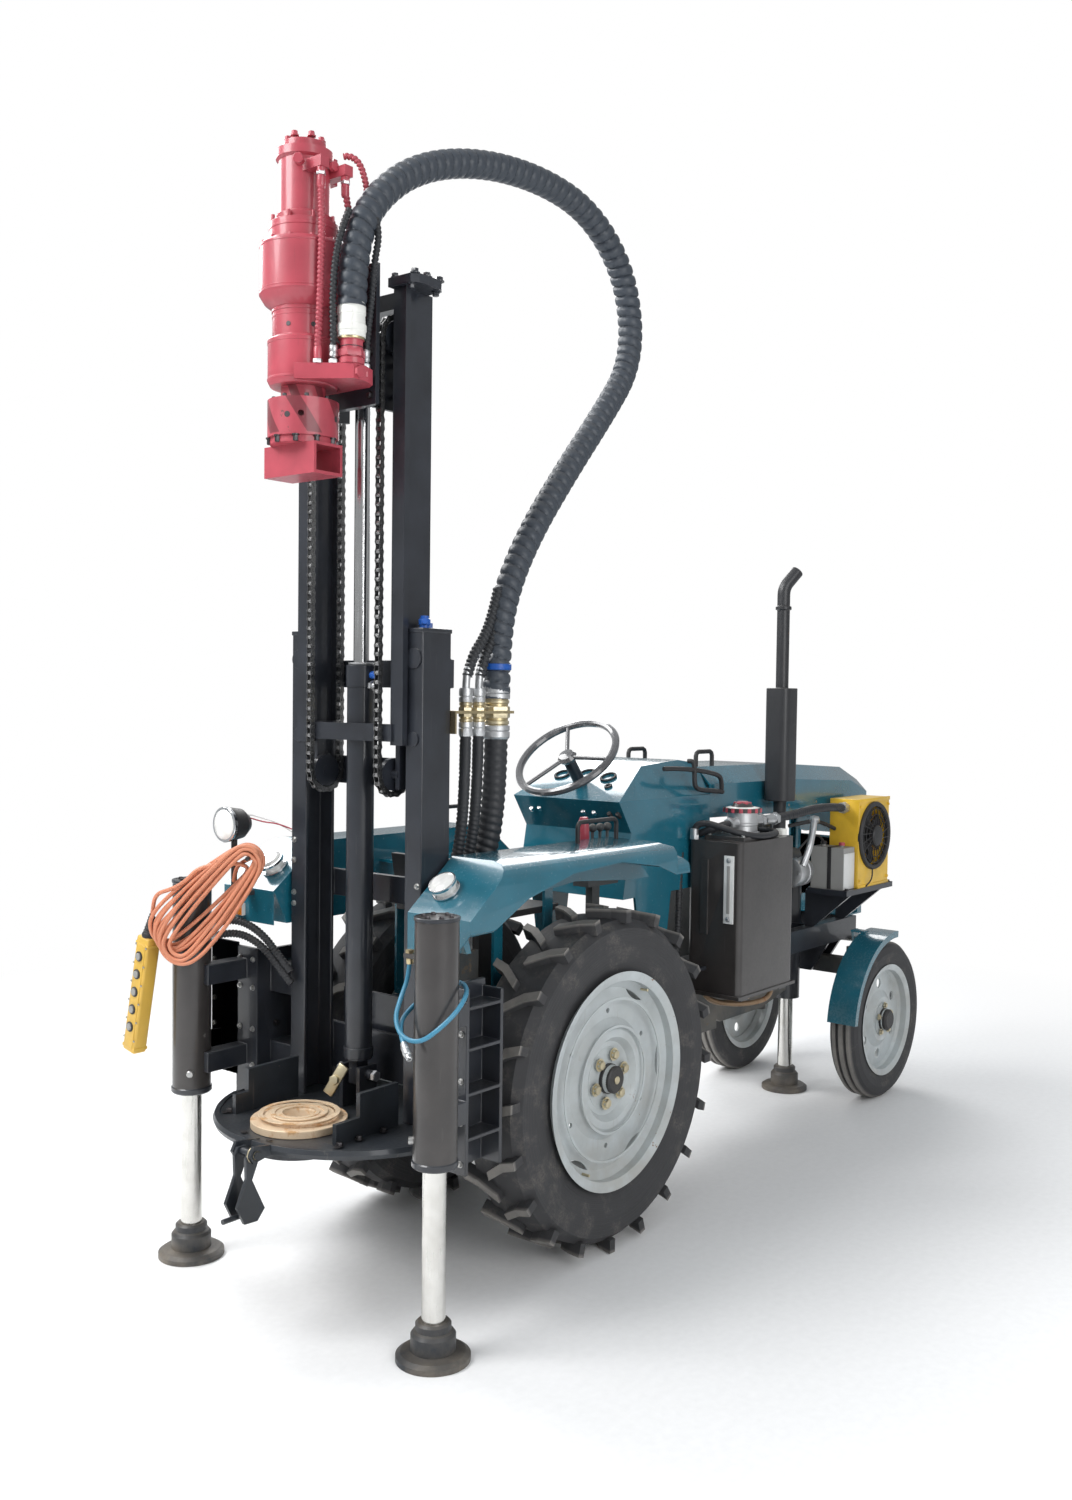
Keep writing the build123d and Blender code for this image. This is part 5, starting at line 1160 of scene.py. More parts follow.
@dataclass
class RollerChains:
    """The two lift chains: closed loops of inner and outer links round the mast's chain wheels."""

    x: float = -0.660
    y: float = 0.137
    low_z: float = 1.460
    pitch: float = 0.0254
    run_links: int = 47
    turn_links: int = 7
    roller: float = 0.0072
    plate: float = 0.0016

    def radius(self) -> float:
        """The loop's turning radius."""
        return self.turn_links * self.pitch / math.pi

    def spot(self, along: float) -> Tuple[float, float]:
        """A place on the loop, as X and Z."""
        r = self.radius()
        run = self.run_links * self.pitch
        turn = math.pi * r
        along %= 2 * (run + turn)
        if along < run:
            return self.x - r, self.low_z + along
        if along < run + turn:
            a = (along - run) / r
            return self.x - r * math.cos(a), self.low_z + run + r * math.sin(a)
        if along < 2 * run + turn:
            return self.x + r, self.low_z + run - (along - run - turn)
        a = (along - 2 * run - turn) / r
        return self.x + r * math.cos(a), self.low_z - r * math.sin(a)

    def link(self, half_gap: float) -> bpy.types.Mesh:
        """One link of two waisted plates, with a roller and a pin at its first end."""
        mesh = bmesh.new()
        reach = self.pitch / 2
        outline = []
        for end in (1, -1):
            for a in (-90, -45, 0, 45, 90):
                t = math.radians(a)
                outline.append((end * (reach + 0.0078 * math.cos(t)), end * 0.0086 * math.sin(t)))
            outline.append((0.0, end * 0.0062))
        for side in (1, -1):
            verts = [mesh.verts.new((u, side * half_gap, v)) for u, v in outline]
            face = mesh.faces.new(verts if side > 0 else list(reversed(verts)))
            done = bmesh.ops.extrude_face_region(mesh, geom=[face])
            moved = [v for v in done["geom"] if isinstance(v, bmesh.types.BMVert)]
            bmesh.ops.translate(mesh, vec=(0, side * self.plate, 0), verts=moved)
        across = Matrix.Translation((-reach, -half_gap, 0)) @ Matrix.Rotation(math.radians(-90), 4, "X")
        add_prism(mesh, 8, self.roller, 2 * half_gap, across)
        pin = Matrix.Translation((-reach, -0.0115, 0)) @ Matrix.Rotation(math.radians(-90), 4, "X")
        add_prism(mesh, 6, 0.0036, 0.023, pin)
        bmesh.ops.recalc_face_normals(mesh, faces=mesh.faces)
        data = bpy.data.meshes.new("link")
        mesh.to_mesh(data)
        mesh.free()
        return data

    def build(self) -> None:
        """Builds both chains as one piece."""
        kinds = [self.link(0.0062), self.link(0.0080)]
        total = 2 * (self.run_links + self.turn_links)
        mesh = bmesh.new()
        for side in Side:
            for i in range(total):
                x0, z0 = self.spot(i * self.pitch)
                x1, z1 = self.spot((i + 1) * self.pitch)
                first = place(x0, side.value * self.y, z0)
                way = (place(x1, side.value * self.y, z1) - first).normalized()
                cross = Vector((0, 1, 0))
                rise = way.cross(cross)
                turned = Matrix((way, cross, rise)).transposed().to_4x4()
                count = len(mesh.verts)
                mesh.from_mesh(kinds[i % 2])
                mesh.verts.ensure_lookup_table()
                bmesh.ops.transform(mesh, matrix=Matrix.Translation(first + way * self.pitch / 2) @ turned,
                                    verts=mesh.verts[count:])
        for data in kinds:
            bpy.data.meshes.remove(data)
        dress(to_object("roller_chains", mesh, 40), "inner_mast", CHAIN_STEEL, ("chains",))


class Piece:
    """One piece that is filled shape by shape, in metres from the rear axle."""

    def __init__(self, name: str, body: str, finish: object, slot: str = "") -> None:
        """Starts the piece.

        Args:
            name: the piece's name.
            body: the body that it rides on.
            finish: its finish.
            slot: not used.
        """
        self.name, self.body, self.finish, self.slot = name, body, finish, slot
        self.mesh = bmesh.new()

    def turned(self, at: Point, axis: Point, profile: Sequence[Tuple[float, float]], steps: int = 32) -> "Piece":
        """Adds a turned form, its profile as rows of radius and height."""
        add_turned(self.mesh, profile, frame_at(place(*at), Vector(axis)), steps)
        return self

    def ring(self, at: Point, axis: Point, outer: float, inner: float, height: float, steps: int = 32) -> "Piece":
        """Adds a ring with softened edges."""
        soft = min(height, outer - inner) * 0.2
        profile = [(inner, 0.0), (outer - soft, 0.0), (outer, soft), (outer, height - soft), (outer - soft, height),
                   (inner, height), (inner, 0.0)]
        return self.turned(at, axis, profile, steps)

    def disc(self, at: Point, axis: Point, radius: float, height: float, steps: int = 32) -> "Piece":
        """Adds a disc or rod with softened upper edge."""
        soft = min(height, radius) * 0.15
        return self.turned(at, axis, [(0.0, 0.0), (radius, 0.0), (radius, height - soft), (radius - soft, height),
                                      (0.0, height)], steps)

    def hexagon(self, at: Point, axis: Point, radius: float, height: float, turn: float = 0.0) -> "Piece":
        """Adds a hexagon with a bevelled top."""
        add_prism(self.mesh, 6, radius, height, frame_at(place(*at), Vector(axis), turn), radius * 0.12)
        return self

    def bolt(self, at: Point, axis: Point, radius: float = 0.008, height: float = 0.008, turn: float = 0.0) -> "Piece":
        """Adds a bolt head on its washer."""
        add_bolt(self.mesh, frame_at(place(*at), Vector(axis), turn), radius, height)
        return self

    def bolts(self, spots: Sequence[Point], axis: Point, radius: float = 0.008, height: float = 0.008) -> "Piece":
        """Adds bolt heads at several places."""
        for i, spot in enumerate(spots):
            self.bolt(spot, axis, radius, height, 19.0 * i)
        return self

    def bolt_circle(self, at: Point, axis: Point, circle: float, count: int, radius: float = 0.007,
                    height: float = 0.007, start: float = 0.0) -> "Piece":
        """Adds bolt heads round a circle."""
        where = frame_at(place(*at), Vector(axis))
        for i in range(count):
            a = math.radians(start + 360.0 * i / count)
            add_bolt(self.mesh, where @ Matrix.Translation((circle * math.cos(a), circle * math.sin(a), 0.0)),
                     radius, height)
        return self

    def block(self, low: Point, high: Point, bevel: float = 0.0015) -> "Piece":
        """Adds a box between two corners."""
        add_block(self.mesh, place(*low), place(*high), bevel)
        return self

    def pipe(self, route: Sequence[Point], radius: float, sides: int = 12, steps: int = 8) -> "Piece":
        """Adds a round pipe along a smooth route."""
        add_sweep(self.mesh, smooth_line(placed(route), steps), sides, lambda run, a: radius)
        return self

    def done(self, smooth: float = 32.0) -> bpy.types.Object:
        """Finishes the piece."""
        return dress(to_object(self.name, self.mesh, smooth), self.body, self.finish)


UP, DOWN = (0.0, 0.0, 1.0), (0.0, 0.0, -1.0)
REAR, FORE = (-1.0, 0.0, 0.0), (1.0, 0.0, 0.0)


def corrugated(name: str, route: List[Point], diameter: float, body: str = "chassis") -> None:
    """A short black corrugated hose along its route."""
    hose = GuardedHose(name, route, diameter, diameter * 0.42, diameter * 0.13, 26, 14, sharp=2.2)
    dress(hose.build()[0], body, HOSE_BLACK)


@dataclass
class HeadTrim:
    """Bolts, bands, couplings and hose ends of the power head and its carriage."""

    axis: Tuple[float, float] = (-0.870, 0.0)
    elbow: Tuple[float, float] = (-0.852, -0.166)

    def build(self) -> None:
        """Builds the pieces."""
        x, y = self.axis
        ex, ey = self.elbow
        red = Piece("head_bolts", "carriage", RED, "red_paint")
        red.bolt_circle((x, y, 2.866), UP, 0.106, 12, 0.0070, 0.009)
        red.bolt_circle((x, y, 2.735), DOWN, 0.106, 12, 0.0060, 0.006)
        red.bolt_circle((x, y, 2.927), UP, 0.0850, 8, 0.0052, 0.014, 20.0)
        red.bolt_circle((x, y, 3.1485), UP, 0.044, 6, 0.0085, 0.011, 12.0)
        red.ring((x, y, 2.858), UP, 0.1185, 0.110, 0.008, 56)
        red.ring((x, y, 2.736), UP, 0.1185, 0.110, 0.007, 56)
        red.ring((x, y, 2.744), UP, 0.1178, 0.110, 0.004, 56)
        red.ring((x, y, 2.690), UP, 0.0852, 0.078, 0.010, 48)
        red.ring((x, y, 2.676), UP, 0.0842, 0.078, 0.005, 48)
        red.ring((x, y, 2.512), UP, 0.0965, 0.088, 0.006, 48)
        red.ring((x, y, 2.606), UP, 0.0962, 0.088, 0.012, 48)
        red.ring((x, y, 2.906), UP, 0.0935, 0.085, 0.007, 48)
        red.ring((x, y, 3.070), UP, 0.0600, 0.050, 0.007, 40)
        red.disc((ex, ey, 2.541), UP, 0.0345, 0.016).hexagon((ex, ey, 2.560), UP, 0.0370, 0.020)
        red.disc((x - 0.062, -0.050, 3.070), (-0.8, -0.6, 0.0), 0.014, 0.022, 20)
        red.disc((x + 0.030, -0.075, 3.075), (0.0, -1.0, 0.0), 0.013, 0.014, 20)
        red.hexagon((ex - 0.002, ey - 0.025, 2.519), (0.0, -1.0, 0.0), 0.015, 0.014)
        red.hexagon((ex + 0.030, ey - 0.010, 2.519), (0.8, -0.6, 0.0), 0.014, 0.014)
        red.done()
        dark = Piece("head_recess_shade_seams_and_bolts", "carriage", DARK_BOLT, "steel")
        # The thin dark discs are painted shade standing in for the head's recesses; the dark rings are seams and the
        # rest are dark bolts
        for a in (200.0, 246.0, 300.0, 345.0):
            way = (math.cos(math.radians(a)), math.sin(math.radians(a)), 0.0)
            dark.disc((x + 0.0828 * way[0], 0.0828 * way[1], 2.650), way, 0.0065, 0.0012, 20)
        dark.ring((x, y, 2.6195), UP, 0.0850, 0.078, 0.0024, 48)
        dark.bolt_circle((x, y, 2.5105), DOWN, 0.083, 10, 0.0065, 0.010)
        dark.ring((ex, ey, 2.5845), UP, 0.0312, 0.026, 0.0022, 32)
        dark.done()
        chuck = Piece("chuck_bolts_and_hole_shade", "spindle", DARK_BOLT, "steel")
        chuck.bolt_circle((x, y, 2.3615), DOWN, 0.0890, 10, 0.0072, 0.0150)
        # The thin dark discs are painted shade standing in for holes in the chuck
        for a in (22.5, 112.5, 202.5, 292.5):
            way = (math.cos(math.radians(a)), math.sin(math.radians(a)), 0.0)
            chuck.disc((x + 0.0945 * way[0], 0.0945 * way[1], 2.412), way, 0.0080, 0.0012, 22)
        chuck.bolt_circle((x, y, 2.4600), UP, 0.0780, 8, 0.0060, 0.009, 10.0)
        chuck.done()
        silver = Piece("air_hose_coupling", "carriage", WHITE_PAINT, "steel")
        silver.turned((ex, ey, 2.610), UP, [(0.0, 0.0), (0.0350, 0.0), (0.0372, 0.002), (0.0372, 0.014),
                                            (0.0392, 0.017), (0.0392, 0.032), (0.0362, 0.036), (0.0355, 0.058),
                                            (0.0372, 0.060), (0.0372, 0.084), (0.0345, 0.090), (0.0, 0.090)], 40)
        silver.done()
        gold = Piece("air_hose_coupling_ring", "carriage", BRASS, "brass")
        gold.ring((ex, ey, 2.604), UP, 0.0352, 0.028, 0.008, 40)
        gold.done()
        ends = Piece("head_hose_ends", "carriage", ALUMINIUM, "steel")
        for px, py in ((-0.894, -0.143), (-0.807, -0.173), (-0.920, -0.112), (-0.788, -0.114)):
            black = px in (-0.894, -0.807)
            ends.hexagon((px, py, 2.540), UP, 0.0125, 0.011)
            if black:
                ends.turned((px, py, 2.550), UP, [(0.0, 0.0), (0.0085, 0.0), (0.0085, 0.006), (0.0112, 0.008),
                                                  (0.0112, 0.016), (0.0100, 0.018), (0.0112, 0.020),
                                                  (0.0112, 0.034), (0.0095, 0.038), (0.0, 0.038)], 20)
        for px in (-0.905, -0.820):
            ends.hexagon((px, -0.104, 3.038), DOWN, 0.0125, 0.010)
        ends.done()
        sleeves = Piece("head_hose_sleeves", "carriage", RED, "red_paint")
        for px, py, z, way in ((-0.920, -0.112, 2.550, UP), (-0.788, -0.114, 2.550, UP), (-0.905, -0.104, 3.028, DOWN),
                               (-0.820, -0.104, 3.028, DOWN)):
            sleeves.turned((px, py, z), way, [(0.0, 0.0), (0.0095, 0.0), (0.0110, 0.002), (0.0110, 0.028),
                                              (0.0098, 0.032), (0.0, 0.032)], 20)
        sleeves.done()
        plate = Piece("carriage_bolts", "carriage", DARK_BOLT, "steel")
        plate.bolts([(-0.750, y0, z0) for y0 in (-0.132, 0.132) for z0 in (2.485, 2.600, 2.715, 2.815)], REAR,
                    0.008, 0.008)
        plate.done()


@dataclass
class MastTrim:
    """Bolts, caps and fittings of the mast and the hose bulkhead."""

    top_z: float = 2.799
    fitting_y: float = -0.250

    def build(self) -> None:
        """Builds the pieces."""
        heads = Piece("mast_top_bolts", "inner_mast", BLACK, "mast_paint")
        for side in Side:
            sign = side.value
            spots = [(x, sign * y, self.top_z) for x in (-0.702, -0.655, -0.608) for y in (0.176, 0.248)]
            heads.bolts(spots, UP, 0.0105, 0.011)
            heads.bolts([(x, sign * 0.236, 2.775) for x in (-0.702, -0.608)], DOWN, 0.009, 0.010)
        heads.done()
        column = Piece("column_bolts", "chassis", STEEL, "steel")
        column.bolts([(-0.675, 0.251, z) for z in (1.250, 1.190, 1.095, 1.062)], REAR, 0.0065, 0.006)
        column.bolts([(-0.675, -0.251, z) for z in (1.160, 1.100)], REAR, 0.0065, 0.006)
        for side in Side:
            for z in (0.590, 0.670, 1.100, 1.140, 1.720, 1.760):
                column.bolt((-0.562, side.value * 0.233, z), FORE, 0.0075, 0.008)
        column.done()
        caps = Piece("column_caps", "chassis", BLACK, "mast_paint")
        for side in Side:
            caps.block((-0.677, side.value * 0.200 if side.value > 0 else -0.266, 1.850),
                       (-0.560, 0.266 if side.value > 0 else -0.200, 1.862), 0.002)
            caps.disc((-0.676, side.value * 0.232, 1.780), REAR, 0.028, 0.004, 28)
            caps.disc((-0.676, side.value * 0.232, 1.560), REAR, 0.020, 0.004, 28)
        caps.done()
        blue = Piece("blue_fittings", "chassis", BLUE_CAP, "blue_line")
        blue.turned((-0.640, -0.236, 1.860), UP, [(0.0, 0.0), (0.014, 0.0), (0.014, 0.010), (0.0165, 0.012),
                                                  (0.0165, 0.026), (0.012, 0.030), (0.012, 0.036), (0.0, 0.036)], 20)
        blue.disc((-0.640, -0.236, 1.878), (-0.7, -0.7, 0.1), 0.0085, 0.026, 16)
        blue.hexagon((-0.612, -0.226, 1.860), UP, 0.011, 0.018)
        blue.disc((-0.648, -0.040, 1.735), (0.0, -1.0, 0.0), 0.011, 0.030, 16)
        blue.ring((-0.352, -0.250, 1.755), UP, 0.0425, 0.034, 0.018, 32)
        blue.done()
        port = Piece("cylinder_port", "chassis", ALUMINIUM, "steel")
        port.hexagon((-0.650, -0.036, 1.705), (0.0, -1.0, 0.0), 0.014, 0.014)
        port.disc((-0.650, -0.050, 1.705), (0.0, -1.0, 0.0), 0.009, 0.016, 16)
        port.ring((-0.650, 0.0, 1.7635), UP, 0.036, 0.0245, 0.006, 36)
        port.hexagon((-0.650, 0.064, 0.600), (0.0, 1.0, 0.0), 0.016, 0.012)
        port.hexagon((-0.650, -0.064, 0.600), (0.0, -1.0, 0.0), 0.016, 0.012)
        port.done()
        barrel = Piece("cylinder_gland", "chassis", BLACK, "mast_paint")
        barrel.ring((-0.650, 0.0, 1.700), UP, 0.0425, 0.036, 0.062, 40)
        barrel.ring((-0.650, 0.0, 0.645), UP, 0.0425, 0.036, 0.030, 40)
        barrel.done()
        zinc = Piece("bulkhead_couplings", "chassis", ZINC, "brass")
        silver = Piece("bulkhead_hose_ends", "chassis", ALUMINIUM, "steel")
        for x, r in ((-0.352, 0.034), (-0.430, 0.017), (-0.484, 0.017)):
            long = r > 0.02
            for way, sign in ((UP, 1), (DOWN, -1)):
                face = 1.638 if sign > 0 else 1.630
                zinc.hexagon((x, self.fitting_y, face), way, r * 1.24, 0.014 if long else 0.010)
                zinc.ring((x, self.fitting_y, face + sign * (0.020 if long else 0.014)), way, r * 1.10, r * 0.7,
                          0.012 if long else 0.009)
                silver.turned((x, self.fitting_y, face + sign * (0.034 if long else 0.024)), way,
                              [(0.0, 0.0), (r * 1.12, 0.0), (r * 1.16, 0.002), (r * 1.16, 0.014), (r * 1.08, 0.016),
                               (r * 1.16, 0.018), (r * 1.16, 0.034), (r * 1.04, 0.040), (0.0, 0.040)], 28)
        for x in (-0.430, -0.484):
            silver.pipe([(x, self.fitting_y, 1.690), (x, self.fitting_y, 1.73), (x + 0.012, -0.250, 1.77),
                         (x + 0.050, -0.252, 1.80)], 0.011, 12)
        zinc.done()
        silver.done()
        for i, x in enumerate((-0.430, -0.484)):
            corrugated(f"upper_branch_hose_{i + 1}",
                       [(x + 0.006, -0.250, 1.735), (x + 0.022, -0.251, 1.790), (x + 0.060 + 0.02 * i, -0.250, 1.85),
                        (-0.352 - 0.012 * i, -0.247, 1.93), (-0.335 - 0.01 * i, -0.246, 1.99)], 0.032)
        foot = Piece("manifold_hose_ends", "chassis", ALUMINIUM, "steel")
        for x, r in ((-0.392, 0.034), (-0.454, 0.016), (-0.497, 0.016)):
            foot.hexagon((x, -0.150, 0.935), UP, r * 1.22, 0.014)
            foot.turned((x, -0.150, 0.949), UP, [(0.0, 0.0), (r * 1.14, 0.0), (r * 1.14, 0.030), (r * 1.02, 0.034),
                                                 (0.0, 0.034)], 28)
        foot.done()


@dataclass
class LegAndTableTrim:
    """Bolts, pins and hoses of legs, carriers and drill table."""

    def build(self) -> None:
        """Builds the pieces."""
        heads = Piece("carrier_bolts", "chassis", STEEL, "steel")
        dark = Piece("leg_and_table_bolts_and_hole_shade", "chassis", DARK_BOLT, "steel")
        rims = Piece("leg_tube_rings", "chassis", BLACK, "mast_paint")
        for side in Side:
            sign = side.value
            heads.bolts([(-0.712, sign * y, z) for y in (0.392, 0.452) for z in (0.450, 0.560, 0.670, 0.795, 0.880)],
                        REAR, 0.0065, 0.006)
            dark.bolts([(-0.640, sign * 0.372, z) for z in (0.560, 0.680, 0.800)], (0.0, -sign, 0.0), 0.008, 0.008)
            rims.ring((-0.856, sign * 0.496, 1.118), UP, 0.0590, 0.050, 0.010, 48)
            rims.ring((-0.856, sign * 0.496, 0.494), UP, 0.0595, 0.040, 0.020, 48)
            dark.bolt_circle((-0.856, sign * 0.496, 1.127), UP, 0.036, 6, 0.0055, 0.005)
            heads.disc((-0.893, sign * 0.455, 0.560), (-0.67, -sign * 0.74, 0.0), 0.010, 0.012, 16)
        for x in (-0.930, -0.860, -0.770):
            for sign in (-1, 1):
                dark.bolt((x, sign * 0.225, 0.5045), UP, 0.0085, 0.008)
        # The thin dark discs in this loop are painted shade standing in for the drill table's holes
        for a in (112, 142, 172, 188, 218, 248):
            t = math.radians(a)
            dark.disc((-0.650 + 0.372 * math.cos(t), 0.372 * math.sin(t), 0.5045), UP, 0.0095, 0.0012, 20)
            # Known fault: these rows repeat with every turn of this loop, and on the left only
            low, high = sorted((sign * 0.462, sign * 0.588))
            rims.block((-0.713, low, 0.520), (-0.706, high, 0.925), 0.0015)
            for z in (0.600, 0.800):
                low, high = sorted((sign * 0.540, sign * 0.548))
                rims.block((-0.795, low, z - 0.004), (-0.712, high, z + 0.050), 0.0015)
            heads.bolts([(-0.713, sign * 0.572, z) for z in (0.560, 0.660, 0.740, 0.860)], REAR, 0.0065, 0.006)
        heads.done()
        dark.done()
        rims.done()
        zinc = Piece("cylinder_foot_lug", "chassis", ZINC, "brass")
        where = frame_at(place(-0.712, 0.020, 0.588), Vector((-0.93, -0.30, 0.20)))
        add_block(zinc.mesh, Vector((-0.016, -0.050, 0.0)), Vector((0.016, 0.045, 0.010)), 0.003,
                  where @ Matrix.Rotation(math.radians(-28), 4, "Z"))
        zinc.hexagon((-0.722, 0.018, 0.588), (-0.93, -0.30, 0.20), 0.015, 0.012)
        zinc.done()
        bracket = Piece("rim_bracket_pin", "rim_bracket", ZINC, "brass")
        bracket.ring((-1.088, -0.070, 0.488), (0.0, -1.0, 0.0), 0.021, 0.011, 0.004, 28)
        bracket.hexagon((-1.088, -0.073, 0.488), (0.0, -1.0, 0.0), 0.0165, 0.012)
        bracket.done()
        turned = Piece("bush_steps", "chassis", RUSTY, "rusty_metal")
        turned.ring((-0.870, 0.0, 0.533), UP, 0.112, 0.098, 0.0025, 56)
        turned.ring((-0.870, 0.0, 0.533), UP, 0.078, 0.066, 0.0035, 48)
        turned.ring((-0.870, 0.0, 0.533), UP, 0.056, 0.0462, 0.0025, 48)
        turned.done()
        corrugated("left_leg_hose_upper", [(-0.806, 0.474, 0.985), (-0.775, 0.452, 1.000), (-0.745, 0.400, 1.000),
                                           (-0.722, 0.335, 0.965), (-0.706, 0.282, 0.905), (-0.692, 0.245, 0.860)],
                   0.024)
        corrugated("left_leg_hose_lower", [(-0.806, 0.470, 0.952), (-0.775, 0.446, 0.962), (-0.748, 0.392, 0.962),
                                           (-0.726, 0.330, 0.930), (-0.708, 0.278, 0.872), (-0.693, 0.240, 0.826)],
                   0.024)
        silver = Piece("left_leg_hose_ends", "chassis", ALUMINIUM, "steel")
        silver.disc((-0.815, 0.482, 0.984), (0.76, -0.64, 0.0), 0.0150, 0.030, 20)
        silver.disc((-0.815, 0.478, 0.951), (0.76, -0.64, 0.0), 0.0150, 0.030, 20)
        silver.done()
        wires = Piece("lamp_wires", "chassis", RED_HOSE, "red_hose")
        wires.pipe([(-0.790, 0.372, 1.300), (-0.770, 0.360, 1.318), (-0.730, 0.330, 1.300), (-0.700, 0.290, 1.296),
                    (-0.676, 0.262, 1.280)], 0.0022, 8)
        wires.done()
        white = Piece("lamp_wire_white", "chassis", WHITE_PLASTIC, "white_plastic")
        white.pipe([(-0.788, 0.374, 1.304), (-0.765, 0.365, 1.326), (-0.728, 0.340, 1.312), (-0.700, 0.300, 1.300),
                    (-0.676, 0.262, 1.272)], 0.0020, 8)
        white.done()


@dataclass
class WheelTrim:
    """Nuts, caps and valves of the wheels."""

    rear_nut_circle: float = 0.074
    front_nut_circle: float = 0.060

    def build(self) -> None:
        """Builds the pieces."""
        for side in Side:
            sign = side.value
            word = side.name.lower()
            way = (0.0, float(sign), 0.0)
            rear = Piece(f"rear_wheel_nuts_{word}", f"rear_wheel_{word}", ZINC, "brass")
            rear.bolt_circle((0.0, sign * 0.4195, REAR_RADIUS), way, self.rear_nut_circle, 6, 0.0145, 0.0105, 15.0)
            rear.disc((0.0, sign * 0.4435, REAR_RADIUS), way, 0.012, 0.006, 20)
            for a in (60, 240):
                t = math.radians(a)
                rear.disc((0.292 * math.cos(t), sign * 0.430, REAR_RADIUS + 0.292 * math.sin(t)), way,
                          0.0042, 0.026, 12)
            rear.done()
            cap = Piece(f"rear_hub_cap_{word}", f"rear_wheel_{word}", BLACK_PLASTIC, "black_plastic")
            cap.turned((0.0, sign * 0.412, REAR_RADIUS), way,
                       [(0.0, 0.0), (0.046, 0.0), (0.046, 0.010), (0.0415, 0.013), (0.0415, 0.030),
                        (0.036, 0.0345), (0.0, 0.0345)], 40)
            cap.done()
            beads = Piece(f"rear_rim_beads_{word}", f"rear_wheel_{word}", GREY, "grey_paint")
            beads.ring((0.0, sign * 0.4355, REAR_RADIUS), way, 0.250, 0.242, 0.003, 96)
            beads.ring((0.0, sign * 0.4355, REAR_RADIUS), way, 0.166, 0.158, 0.003, 72)
            beads.done()
            front = Piece(f"front_wheel_nuts_{word}", f"front_wheel_{word}", ZINC, "brass")
            front.bolt_circle((WHEELBASE, sign * 0.3775, FRONT_RADIUS), way, self.front_nut_circle, 5,
                              0.0098, 0.0080, 90.0)
            front.done()
            hub = Piece(f"front_hub_cap_{word}", f"front_wheel_{word}", BLACK_PLASTIC, "black_plastic")
            hub.turned((WHEELBASE, sign * 0.366, FRONT_RADIUS), way,
                       [(0.0, 0.0), (0.046, 0.0), (0.046, 0.012), (0.0435, 0.016), (0.0435, 0.030),
                        (0.036, 0.0372), (0.0, 0.0372)], 36)
            hub.done()


